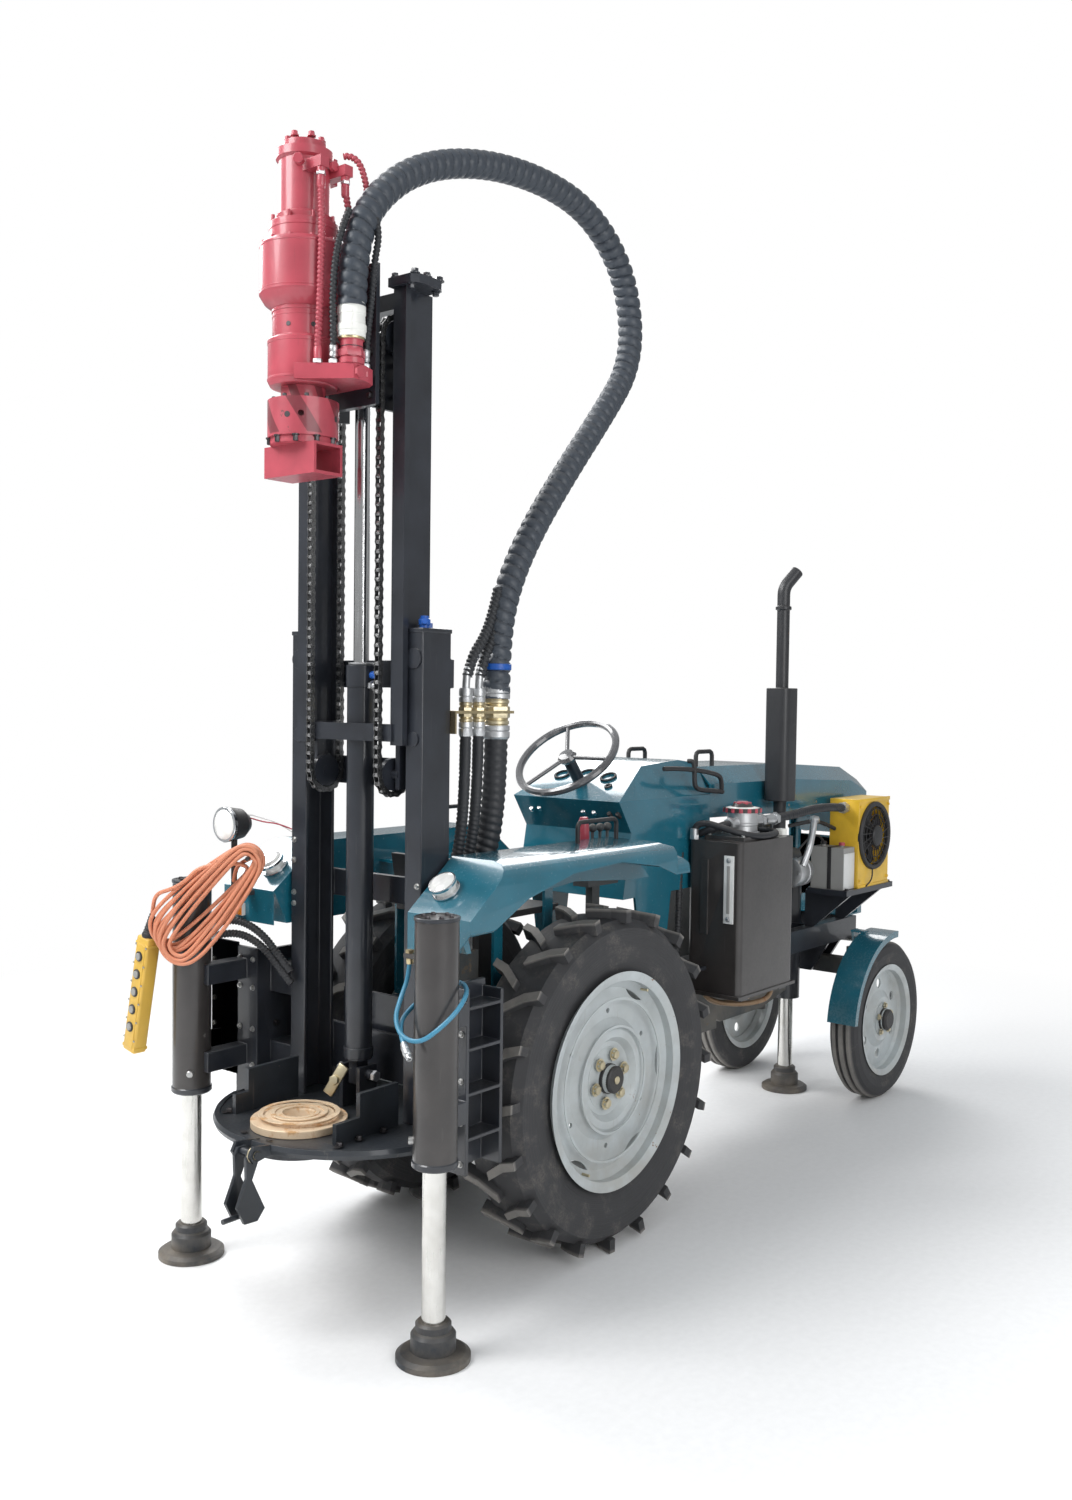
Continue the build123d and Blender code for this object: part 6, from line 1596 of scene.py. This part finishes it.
@dataclass
class TankTrim:
    """The oil tank's gauge, filter, cap, fittings and hoses."""

    filter_at: Tuple[float, float] = (0.900, -0.340)

    def build(self) -> None:
        """Builds the pieces."""
        x, y = self.filter_at
        gauge = Piece("tank_sight_gauge", "chassis", WHITE_PLASTIC, "white_plastic")
        gauge.block((0.7040, -0.4230, 0.905), (0.7110, -0.3850, 1.140), 0.001)
        gauge.done()
        strip = Piece("gauge_glass", "chassis", GREY_PLASTIC, "black_plastic")
        strip.block((0.7025, -0.4100, 0.940), (0.7042, -0.3980, 1.105), 0.0006)
        strip.done()
        ends = Piece("tank_fittings", "chassis", ALUMINIUM, "steel")
        ends.bolts([(0.7040, -0.404, 0.920), (0.7040, -0.404, 1.124)], REAR, 0.0065, 0.006)
        ends.turned((x, y, 1.199), UP, [(0.0, 0.0), (0.062, 0.0), (0.062, 0.008), (0.0545, 0.010), (0.0535, 0.030),
                                        (0.0560, 0.033), (0.0560, 0.040), (0.0535, 0.043), (0.0535, 0.078),
                                        (0.0, 0.078)], 48)
        ends.disc((x - 0.050, y, 1.240), REAR, 0.020, 0.034, 24).hexagon((x - 0.080, y, 1.240), REAR, 0.022, 0.016)
        ends.disc((x + 0.050, y - 0.010, 1.240), FORE, 0.021, 0.060, 24)
        ends.hexagon((x + 0.102, y - 0.010, 1.240), FORE, 0.026, 0.020)
        ends.hexagon((0.722, -0.252, 1.186), UP, 0.017, 0.016).disc((0.722, -0.252, 1.200), UP, 0.0150, 0.024, 20)
        ends.disc((1.040, -0.350, 1.240), FORE, 0.0175, 0.070, 20).hexagon((1.106, -0.350, 1.240), FORE, 0.024, 0.022)
        ends.disc((1.066, -0.300, 1.184), UP, 0.0145, 0.022, 20)
        ends.done()
        lid = Piece("tank_lid_bolts", "chassis", STEEL, "steel")
        lid.bolts([(px, py, 1.200) for px in (0.774, 0.870, 0.966) for py in (-0.418, -0.282)], UP, 0.0062, 0.005)
        lid.done()
        rim = Piece("filter_cap_rim", "chassis", RED, "red_paint")
        for i in range(14):
            a = 2 * math.pi * i / 14
            rim.disc((x + 0.058 * math.cos(a), y + 0.058 * math.sin(a), 1.2768), UP, 0.0122, 0.0152, 14)
        for i in range(6):
            a = 2 * math.pi * i / 6
            rim.disc((x + 0.021 * math.cos(a), y + 0.021 * math.sin(a), 1.2925), UP, 0.0110, 0.0200, 14)
        rim.disc((x, y, 1.2925), UP, 0.022, 0.0225, 24)
        rim.done()
        cover = Piece("filter_cap", "chassis", WHITE_PAINT, "white_plastic")
        cover.turned((x, y, 1.2765), UP, [(0.0, 0.0), (0.060, 0.0), (0.060, 0.0165), (0.050, 0.0190),
                                          (0.030, 0.0200), (0.0, 0.0200)], 48)
        cover.done()
        hose = Piece("tank_return_hose", "chassis", HOSE_BLACK, "hose_rubber")
        hose.pipe([(0.722, -0.252, 1.205), (0.722, -0.252, 1.232), (0.735, -0.285, 1.246), (0.748, -0.345, 1.232),
                   (0.768, -0.405, 1.214), (0.840, -0.437, 1.199), (0.950, -0.436, 1.198), (1.040, -0.405, 1.198),
                   (1.066, -0.350, 1.200), (1.066, -0.300, 1.200)], 0.0115, 14, 12)
        hose.pipe([(0.812, -0.340, 1.240), (0.785, -0.340, 1.240), (0.752, -0.330, 1.232), (0.742, -0.290, 1.218),
                   (0.752, -0.258, 1.204)], 0.0125, 14, 12)
        hose.done()
        block = Piece("exhaust_foot_joint", "chassis", WHITE_PAINT, "steel")
        block.block((1.094, -0.396, 1.150), (1.128, -0.366, 1.206), 0.003)
        block.done()
        mark = Piece("exhaust_foot_mark", "chassis", RED, "red_paint")
        mark.block((1.0925, -0.388, 1.166), (1.0945, -0.374, 1.182), 0.0006)
        mark.done()
        corrugated("tank_to_cooler_hose", [(1.120, -0.350, 1.240), (1.220, -0.362, 1.246), (1.380, -0.368, 1.262),
                                           (1.540, -0.350, 1.258), (1.680, -0.320, 1.248), (1.765, -0.305, 1.240)],
                   0.034)
        corrugated("rear_suction_hose", [(0.690, -0.216, 1.140), (0.684, -0.216, 1.050), (0.674, -0.222, 0.930),
                                         (0.668, -0.222, 0.830), (0.664, -0.222, 0.756)], 0.026)
        corrugated("front_suction_hose", [(1.200, -0.350, 1.010), (1.178, -0.366, 0.920), (1.140, -0.374, 0.830),
                                          (1.104, -0.350, 0.750), (1.100, -0.280, 0.700)], 0.030)
        silver = Piece("cooler_hose_end", "chassis", ALUMINIUM, "steel")
        silver.disc((1.744, -0.3085, 1.2425), (0.97, 0.17, -0.06), 0.0210, 0.030, 24)
        silver.hexagon((1.772, -0.304, 1.240), FORE, 0.024, 0.018)
        silver.pipe([(1.470, -0.330, 1.215), (1.440, -0.338, 1.160), (1.400, -0.345, 1.095), (1.380, -0.330, 1.040)],
                    0.013, 14)
        silver.hexagon((1.470, -0.330, 1.206), (0.45, 0.12, 0.88), 0.020, 0.018)
        silver.done()
        pipes = Piece("under_tank_pipes", "chassis", PIPE_BROWN, "rusty_metal")
        pipes.pipe([(0.730, -0.300, 0.640), (0.740, -0.320, 0.618), (0.800, -0.390, 0.606), (0.900, -0.425, 0.606),
                    (0.960, -0.430, 0.616), (0.975, -0.428, 0.642)], 0.009, 12)
        pipes.pipe([(0.760, -0.280, 0.640), (0.780, -0.290, 0.600), (0.900, -0.330, 0.590), (1.020, -0.330, 0.600),
                    (1.040, -0.320, 0.640)], 0.010, 12)
        pipes.done()


@dataclass
class EngineTrim:
    """Pipes, pulleys, battery dress and cooler fan guard in front of the tank."""

    fan_at: Point = (1.930, -0.366, 1.120)

    def build(self) -> None:
        """Builds the pieces."""
        side = (0.0, -1.0, 0.0)
        fx, fy, fz = self.fan_at
        shroud = Piece("fan_shroud", "chassis", BLACK_PLASTIC, "black_plastic")
        shroud.turned(self.fan_at, side, [(0.120, -0.004), (0.141, -0.004), (0.141, 0.006), (0.137, 0.012),
                                          (0.126, 0.012), (0.122, 0.008), (0.120, -0.004)], 72)
        for radius in (0.058, 0.088, 0.112):
            shroud.ring((fx, fy - 0.0065, fz), side, radius + 0.0013, radius - 0.0013, 0.003, 56)
        for i in range(20):
            a = 2 * math.pi * i / 20
            lean = a + 0.22
            shroud.pipe([(fx + 0.036 * math.cos(a), fy - 0.012, fz + 0.036 * math.sin(a)),
                         (fx + 0.080 * math.cos(a + 0.14), fy - 0.010, fz + 0.080 * math.sin(a + 0.14)),
                         (fx + 0.130 * math.cos(lean), fy - 0.008, fz + 0.130 * math.sin(lean))], 0.0018, 6, 5)
        shroud.turned((fx, fy - 0.004, fz), side, [(0.0, 0.0), (0.043, 0.0), (0.043, 0.012), (0.038, 0.018),
                                                   (0.020, 0.020), (0.0, 0.020)], 36)
        shroud.pipe([(fx - 0.030, fy - 0.010, fz - 0.135), (fx - 0.040, fy - 0.018, fz - 0.165),
                     (fx - 0.062, fy - 0.012, fz - 0.195), (fx - 0.075, fy + 0.004, fz - 0.212)], 0.0030, 8)
        shroud.done()
        cooler = Piece("cooler_trim", "chassis", YELLOW, "yellow_paint")
        cooler.block((1.788, -0.368, 1.262), (2.077, -0.362, 1.277), 0.001)
        cooler.block((1.788, -0.368, 0.910), (2.077, -0.362, 0.922), 0.001)
        cooler.bolts([(x, -0.365, z) for x in (1.802, 2.062) for z in (0.940, 1.245)], side, 0.006, 0.005)
        cooler.done()
        white = Piece("battery_side", "chassis", WHITE_PLASTIC, "white_plastic")
        white.block((1.6900, -0.3530, 0.914), (1.7820, -0.3490, 1.060), 0.001)
        white.done()
        band = Piece("battery_band", "chassis", BLACK_PLASTIC, "black_plastic")
        band.block((1.6855, -0.296, 0.914), (1.6885, -0.280, 1.084), 0.0006)
        band.block((1.6855, -0.296, 1.0815), (1.7865, -0.280, 1.0845), 0.0006)
        band.disc((1.736, -0.238, 1.090), UP, 0.0125, 0.012, 18)
        band.pipe([(1.736, -0.238, 1.098), (1.720, -0.225, 1.130), (1.660, -0.205, 1.120), (1.610, -0.180, 1.060)],
                  0.0045, 10)
        band.pipe([(1.300, -0.190, 1.180), (1.380, -0.210, 1.150), (1.460, -0.205, 1.120), (1.530, -0.190, 1.060)],
                  0.0075, 10)
        band.pipe([(1.560, -0.170, 1.170), (1.640, -0.220, 1.190), (1.720, -0.240, 1.180), (1.786, -0.260, 1.150)],
                  0.0080, 10)
        band.done()
        red = Piece("battery_cap", "chassis", RED, "red_paint")
        red.disc((1.736, -0.318, 1.090), UP, 0.0125, 0.012, 18)
        red.done()
        alternator = Piece("alternator", "chassis", ALUMINIUM, "steel")
        alternator.turned((1.530, -0.190, 0.985), FORE, [(0.0, 0.0), (0.040, 0.0), (0.056, 0.008), (0.060, 0.020),
                                                         (0.060, 0.044), (0.057, 0.046), (0.057, 0.074),
                                                         (0.060, 0.076), (0.060, 0.100), (0.052, 0.112),
                                                         (0.0, 0.112)], 40)
        alternator.bolt_circle((1.5305, -0.190, 0.985), REAR, 0.044, 4, 0.006, 0.006)
        for i in range(4):
            z = 1.150 + 0.004 * (i % 2)
            x = 1.210 + 0.118 * i
            alternator.pipe([(1.360 + 0.016 * i, -0.135, 0.990), (1.340 + 0.020 * i, -0.165, 1.060),
                             (x + 0.030, -0.140, 1.120), (x, -0.100, z)], 0.0036, 8)
            alternator.hexagon((x, -0.096, z), (0.0, 0.4, 1.0), 0.010, 0.016)
        alternator.done()
        pump = Piece("injection_pump", "chassis", ALUMINIUM, "steel")
        pump.block((1.340, -0.170, 0.905), (1.450, -0.108, 0.990), 0.006)
        for i in range(4):
            pump.disc((1.360 + 0.023 * i, -0.138, 0.988), UP, 0.0085, 0.020, 14)
        pump.bolts([(x, -0.170, z) for x in (1.352, 1.438) for z in (0.918, 0.976)], side, 0.0055, 0.005)
        pump.done()
        bolts = Piece("engine_bolts", "chassis", DARK_BOLT, "steel")
        bolts.bolts([(1.165 + 0.076 * i, sign * 0.098, 1.1205) for i in range(7) for sign in (-1, 1)], UP,
                    0.0065, 0.008)
        bolts.bolts([(1.110 + 0.085 * i, -0.1125, 0.640) for i in range(7)], side, 0.006, 0.006)
        bolts.bolts([(x, -0.360, 0.9125) for x in (1.700, 2.090)] + [(x, -0.205, 0.9125) for x in (1.700, 2.090)],
                    UP, 0.007, 0.006)
        bolts.done()


@dataclass
class BodyTrim:
    """Lamp bezels, dash fittings, latches and seams of the bodywork."""

    def build(self) -> None:
        """Builds the pieces."""
        bezels = Piece("lamp_bezels", "chassis", CHROME, "bright_rod")
        lean = math.radians(37.9)
        way = (-math.sin(lean), 0.0, math.cos(lean))
        for side in Side:
            foot = (-0.663, side.value * 0.350, 1.156)
            at = tuple(f + 0.026 * w for f, w in zip(foot, way))
            bezels.ring(at, way, 0.0400, 0.0340, 0.009, 40)
            bezels.ring(tuple(f + 0.001 * w for f, w in zip(foot, way)), way, 0.0405, 0.030, 0.006, 40)
            bezels.ring((2.276, side.value * 0.110, 1.130), FORE, 0.0485, 0.041, 0.010, 44)
        bezels.ring((-0.8385, 0.372, 1.296), (1.0, 0.0, 0.0), 0.0520, 0.044, 0.012, 48)
        bezels.done()
        lens = Piece("work_lamp_lens", "chassis", LAMP_LENS, "white_plastic")
        lens.turned((-0.8370, 0.372, 1.296), REAR, [(0.0, 0.0), (0.0450, 0.0), (0.0430, 0.003), (0.030, 0.0075),
                                                    (0.015, 0.0095), (0.0, 0.0100)], 48)
        lens.done(60)
        reflectors = Piece("rear_reflectors", "chassis", AMBER, "red_paint")
        for side in Side:
            y0 = side.value * 0.420
            reflectors.block((-0.7505, y0 - 0.0185, 1.018), (-0.7470, y0 + 0.0185, 1.050), 0.0014)
        reflectors.done()
        sheets = Piece("dash_shoulder_sheets", "chassis", TEAL, "teal_paint")
        for side in Side:
            out = Vector((0.0, side.value * 0.855, 0.518))
            ring = [sheets.mesh.verts.new(place(x0, side.value * (0.227 - (z0 - 1.335) * 0.6063), z0) + out * 0.0003)
                    for x0, z0 in ((0.400, 1.350), (0.862, 1.350), (0.862, 1.418), (0.500, 1.418), (0.440, 1.396))]
            face = sheets.mesh.faces.new(ring)
            made = bmesh.ops.extrude_face_region(sheets.mesh, geom=[face])
            bmesh.ops.translate(sheets.mesh, vec=out * -0.003,
                                verts=[v for v in made["geom"] if isinstance(v, bmesh.types.BMVert)])
        bmesh.ops.recalc_face_normals(sheets.mesh, faces=sheets.mesh.faces)
        sheets.done()
        dash = Piece("dash_panel", "chassis", BLACK_PLASTIC, "black_plastic")
        slope = (-0.842, 0.0, 0.539)
        top = (-0.445, 0.0, 0.896)
        for y0, x0, r in ((-0.080, 0.440, 0.030), (0.020, 0.450, 0.034), (0.120, 0.440, 0.030),
                          (-0.120, 0.385, 0.014)):
            at = (x0, y0, 1.336 + (x0 - 0.300) * 0.4955)
            dash.ring(at, top, r, r - 0.007, 0.006, 36)
        for y0 in (-0.205, -0.170):
            dash.disc((0.336, y0, 1.285), slope, 0.0080, 0.020, 16)
        dash.pipe([(0.560, -0.226, 1.437), (0.600, -0.240, 1.438), (0.720, -0.246, 1.430), (0.800, -0.246, 1.420),
                   (0.880, -0.246, 1.407), (0.912, -0.244, 1.390), (0.920, -0.240, 1.352)], 0.0085, 12)
        dash.pipe([(0.716, -0.224, 1.459), (0.720, -0.244, 1.462), (0.722, -0.248, 1.440), (0.722, -0.248, 1.400),
                   (0.728, -0.248, 1.368), (0.760, -0.247, 1.357), (0.850, -0.246, 1.350), (0.926, -0.240, 1.342)],
                  0.0085, 12)
        dash.done()
        knobs = Piece("dash_knobs", "chassis", CHROME, "bright_rod")
        for y0, z0 in ((0.165, 1.285), (0.130, 1.290), (-0.060, 1.288), (-0.105, 1.288)):
            knobs.disc((0.336, y0, z0), slope, 0.0085, 0.016, 16)
        knobs.done()
        handle = Piece("red_lever_grips", "chassis", RED, "red_paint")
        handle.turned((0.110, -0.230, 1.200), (-0.08, 0.0, 1.0), [(0.0, 0.0), (0.0125, 0.0), (0.0160, 0.006),
                                                                  (0.0160, 0.090), (0.0120, 0.100), (0.0, 0.102)],
                      22)
        handle.done()
        bars = Piece("bonnet_grab_bars", "bonnet", BLACK_PLASTIC, "black_plastic")
        for side in Side:
            y0 = side.value * 0.150
            corners = [(0.885, 1.432), (0.885, 1.470), (0.890, 1.480), (0.900, 1.485), (0.980, 1.485), (0.990, 1.480),
                       (0.995, 1.470), (0.995, 1.428)]
            add_sweep(bars.mesh, [place(x0, y0, z0) for x0, z0 in corners], 14, lambda run, a: 0.0082)
        bars.done(60)
        latches = Piece("bonnet_latches", "bonnet", STEEL, "steel")
        for side in Side:
            y0 = side.value
            latches.bolts([(1.00 + 0.24 * i, y0 * (0.2195 - 0.0028 * i * 1.8), 1.262) for i in range(5)],
                          (0.0, float(y0), 0.0), 0.0055, 0.0035)
        latches.done()


def camera_and_light() -> None:
    """Sets the camera at the photograph's place, the lights and the floor."""
    scene = bpy.context.scene
    data = bpy.data.cameras.new("camera")
    data.sensor_fit = "VERTICAL"
    data.sensor_height = CAMERA_SENSOR
    data.lens = CAMERA_LENS
    camera = bpy.data.objects.new("camera", data)
    scene.collection.objects.link(camera)
    rows = [(*axis, 0.0) for axis in (CAMERA_RIGHT, CAMERA_UP, CAMERA_BACK)] + [(*CAMERA_AT, 1.0)]
    camera.matrix_world = Matrix(rows).transposed()
    scene.camera = camera
    scene.view_settings.view_transform = "Standard"

    world = bpy.data.worlds.new("studio")
    scene.world = world
    world.use_nodes = True
    world.node_tree.nodes.clear()
    t = Tree(world.node_tree)
    out = t.add("ShaderNodeOutputWorld")
    sky = t.add("ShaderNodeBackground")
    white = t.add("ShaderNodeBackground")
    mixed = t.add("ShaderNodeMixShader")
    path = t.add("ShaderNodeLightPath")
    where = t.add("ShaderNodeTexCoord")
    level = t.span(t.split(where.outputs["Generated"])[2], -0.15, 0.75)
    t.feed(sky.inputs["Color"], t.mix(level, (0.42, 0.41, 0.40, 1.0), (0.92, 0.96, 1.0, 1.0)))
    sky.inputs["Strength"].default_value = SKY_STRENGTH
    white.inputs["Color"].default_value = (1, 1, 1, 1)
    white.inputs["Strength"].default_value = 1.0
    t.feed(mixed.inputs[0], path.outputs["Is Camera Ray"])
    t.feed(mixed.inputs[1], sky.outputs[0])
    t.feed(mixed.inputs[2], white.outputs[0])
    t.feed(out.inputs[0], mixed.outputs[0])

    for name, spot, size, power in LAMPS:
        lamp = bpy.data.lights.new(name, "AREA")
        lamp.shape = "DISK"
        lamp.size = size
        lamp.energy = power
        holder = bpy.data.objects.new(name, lamp)
        scene.collection.objects.link(holder)
        holder.location = spot
        aim = Vector(LAMP_AIM) - Vector(spot)
        holder.rotation_euler = aim.to_track_quat("-Z", "Y").to_euler()

    mesh = bmesh.new()
    bmesh.ops.create_grid(mesh, x_segments=2, y_segments=2, size=FLOOR_SIZE)
    floor = to_object("studio_floor", mesh)
    floor.location = (0, 0, -FLOOR_DROP)
    material, t, body, at = shader("pale_floor")
    fine = t.noise(at, 40.0, 4.0, 0.6)
    t.feed(body.inputs["Base Color"], t.mix(t.span(fine, 0.3, 0.7), (0.84, 0.84, 0.84, 1), (0.88, 0.88, 0.88, 1)))
    body.inputs["Roughness"].default_value = 0.9
    spread = t.add("ShaderNodeVectorMath", operation="LENGTH")
    t.feed(spread.inputs[0], at)
    ray = t.add("ShaderNodeLightPath")
    fade = t.times(t.span(spread.outputs["Value"], *FLOOR_FADE), ray.outputs["Is Camera Ray"])
    glow = t.add("ShaderNodeEmission")
    glow.inputs["Strength"].default_value = 1.0
    joined = t.add("ShaderNodeMixShader")
    t.feed(joined.inputs[0], fade)
    t.feed(joined.inputs[1], body.outputs[0])
    t.feed(joined.inputs[2], glow.outputs[0])
    out = [node for node in material.node_tree.nodes if node.type == "OUTPUT_MATERIAL"][0]
    t.feed(out.inputs[0], joined.outputs[0])
    floor.data.materials.append(material)


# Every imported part's finish, apart from the tyres'
NODE_FINISHES = {
    "air_coupler": STEEL, "air_hose": HOSE, "air_line": BLUE, "air_swivel": RED, "battery": GREY_PLASTIC,
    "bonnet": TEAL, "cable_coil": ORANGE, "carriage": BLACK, "chains": CHAIN_STEEL, "cooler_fan": BLACK_PLASTIC,
    "dash_cowl": TEAL, "drill_bush": RUSTY, "drill_table": TABLE_BLACK, "engine": CASTING, "exhaust": SOOT,
    "frame_rails": BLACK, "front_axle": CASTING, "front_fender_left": TEAL, "front_fender_right": TEAL,
    "front_leg": LEG, "front_wheel_left": GREY, "front_wheel_right": GREY, "gearbox": CASTING,
    "grab_rails": BLACK_PLASTIC, "head_body": RED, "head_hoses": RED_HOSE, "head_motor": RED,
    "hose_bulkhead": BRASS, "inner_mast": BLACK, "knuckle_left": CASTING, "knuckle_right": CASTING,
    "lamps": CLEAR, "lift_cylinder": BLACK, "lift_rod": CHROME, "lower_hoses": HOSE_BLACK, "nose_panel": TEAL,
    "oil_cooler": YELLOW, "oil_tank": WARM_BLACK, "outer_mast": BLACK, "outrigger_carriers": BLACK,
    "outrigger_leg_left": LEG, "outrigger_leg_right": LEG, "outrigger_tubes": WARM_BLACK, "pendant": YELLOW_CASE,
    "pendant_cable": HOSE_BLACK, "rear_fenders": TEAL, "rear_wheel_left": GREY, "rear_wheel_right": GREY,
    "rim_bracket": TABLE_BLACK, "seat": BLACK_PLASTIC, "spindle": CHUCK_RED, "steering_column": BLACK,
    "steering_wheel": STEERING, "tie_rod": STEEL, "valve_bank": CASTING, "work_lamp": BLACK_PLASTIC,
}


# Parts whose edges are rounded, as node, body, slot, width of the rounding and cuts
SOFTENED = [
    ("outer_mast", "chassis", "mast_paint", 0.0030), ("inner_mast", "inner_mast", "mast_paint", 0.0022),
    ("carriage", "carriage", "mast_paint", 0.0022), ("head_body", "carriage", "red_paint", 0.0035),
    ("head_motor", "carriage", "red_paint", 0.0025), ("air_swivel", "carriage", "red_paint", 0.0025),
    ("spindle", "spindle", "red_paint", 0.0030), ("rear_fenders", "chassis", "teal_paint", 0.0016,
     (((0.0, 0.30, 1.0), (0.0, 0.0, -1.0)), ((0.0, -0.30, 1.0), (0.0, 0.0, -1.0)),
      ((0.0, 0.445, 1.0), (0.0, 0.763, -0.646)), ((0.0, -0.445, 1.0), (0.0, -0.763, -0.646)))),
    ("bonnet", "bonnet", "teal_paint", 0.0024), ("dash_cowl", "chassis", "teal_paint", 0.0050),
    ("nose_panel", "chassis", "teal_paint", 0.0024),
    ("front_fender_left", "knuckle_left", "teal_paint", 0.0014),
    ("front_fender_right", "knuckle_right", "teal_paint", 0.0014),
    ("oil_tank", "chassis", "mast_paint", 0.0045), ("oil_cooler", "chassis", "yellow_paint", 0.0030),
    ("exhaust", "chassis", "black_paint", 0.0030), ("drill_table", "chassis", "mast_paint", 0.0022),
    ("outrigger_carriers", "chassis", "mast_paint", 0.0022),
    ("outrigger_tubes", "chassis", "mast_paint", 0.0024),
    ("frame_rails", "chassis", "mast_paint", 0.0022),
    ("rim_bracket", "rim_bracket", "steel", 0.0022),
    ("front_axle", "chassis", "cast_metal", 0.0040), ("gearbox", "chassis", "cast_metal", 0.0090),
    ("engine", "chassis", "cast_metal", 0.0060), ("lift_cylinder", "chassis", "mast_paint", 0.0022),
    ("drill_bush", "chassis", "rusty_metal", 0.0018), ("seat", "chassis", "black_plastic", 0.0080),
    ("rear_wheel_left", "rear_wheel_left", "grey_paint", 0.0020),
    ("rear_wheel_right", "rear_wheel_right", "grey_paint", 0.0020),
    ("front_wheel_left", "front_wheel_left", "grey_paint", 0.0014),
    ("front_wheel_right", "front_wheel_right", "grey_paint", 0.0014),
    ("knuckle_left", "knuckle_left", "cast_metal", 0.0030),
    ("knuckle_right", "knuckle_right", "cast_metal", 0.0030),
    ("valve_bank", "chassis", "cast_metal", 0.0030),
]


def dress_nodes() -> None:
    """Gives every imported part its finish."""
    tyres = {}
    for side in Side:
        for end, x, y, z, wall in (("rear", 0.0, 0.355, REAR_RADIUS, REAR_WALL),
                                   ("front", WHEELBASE, 0.335, FRONT_RADIUS, FRONT_WALL)):
            name = f"{end}_tyre_{side.name.lower()}"
            tyres[name] = TyreRubber(name + "_rubber", tuple(place(x, side.value * y, z)), z, wall)
    for name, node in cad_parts.items():
        finish = NODE_FINISHES.get(name) or tyres.get(name)
        node.data.materials.clear()
        node.data.materials.append(Finishes.get(finish))


def main() -> None:
    """Builds every group of pieces in order."""
    logging.basicConfig(level=logging.INFO, format="%(relativeCreated)d %(message)s")
    camera_and_light()
    dress_nodes()
    AirHose().build()
    FixedHoses().build()
    CableHank().build()
    AirLine().build()
    RollerChains().build()
    for row in SOFTENED:
        Softened(*row).build()
    for part in (HeadTrim(), MastTrim(), LegAndTableTrim(), WheelTrim(), TankTrim(), EngineTrim(), BodyTrim()):
        part.build()


if __name__ == "__main__":
    main()
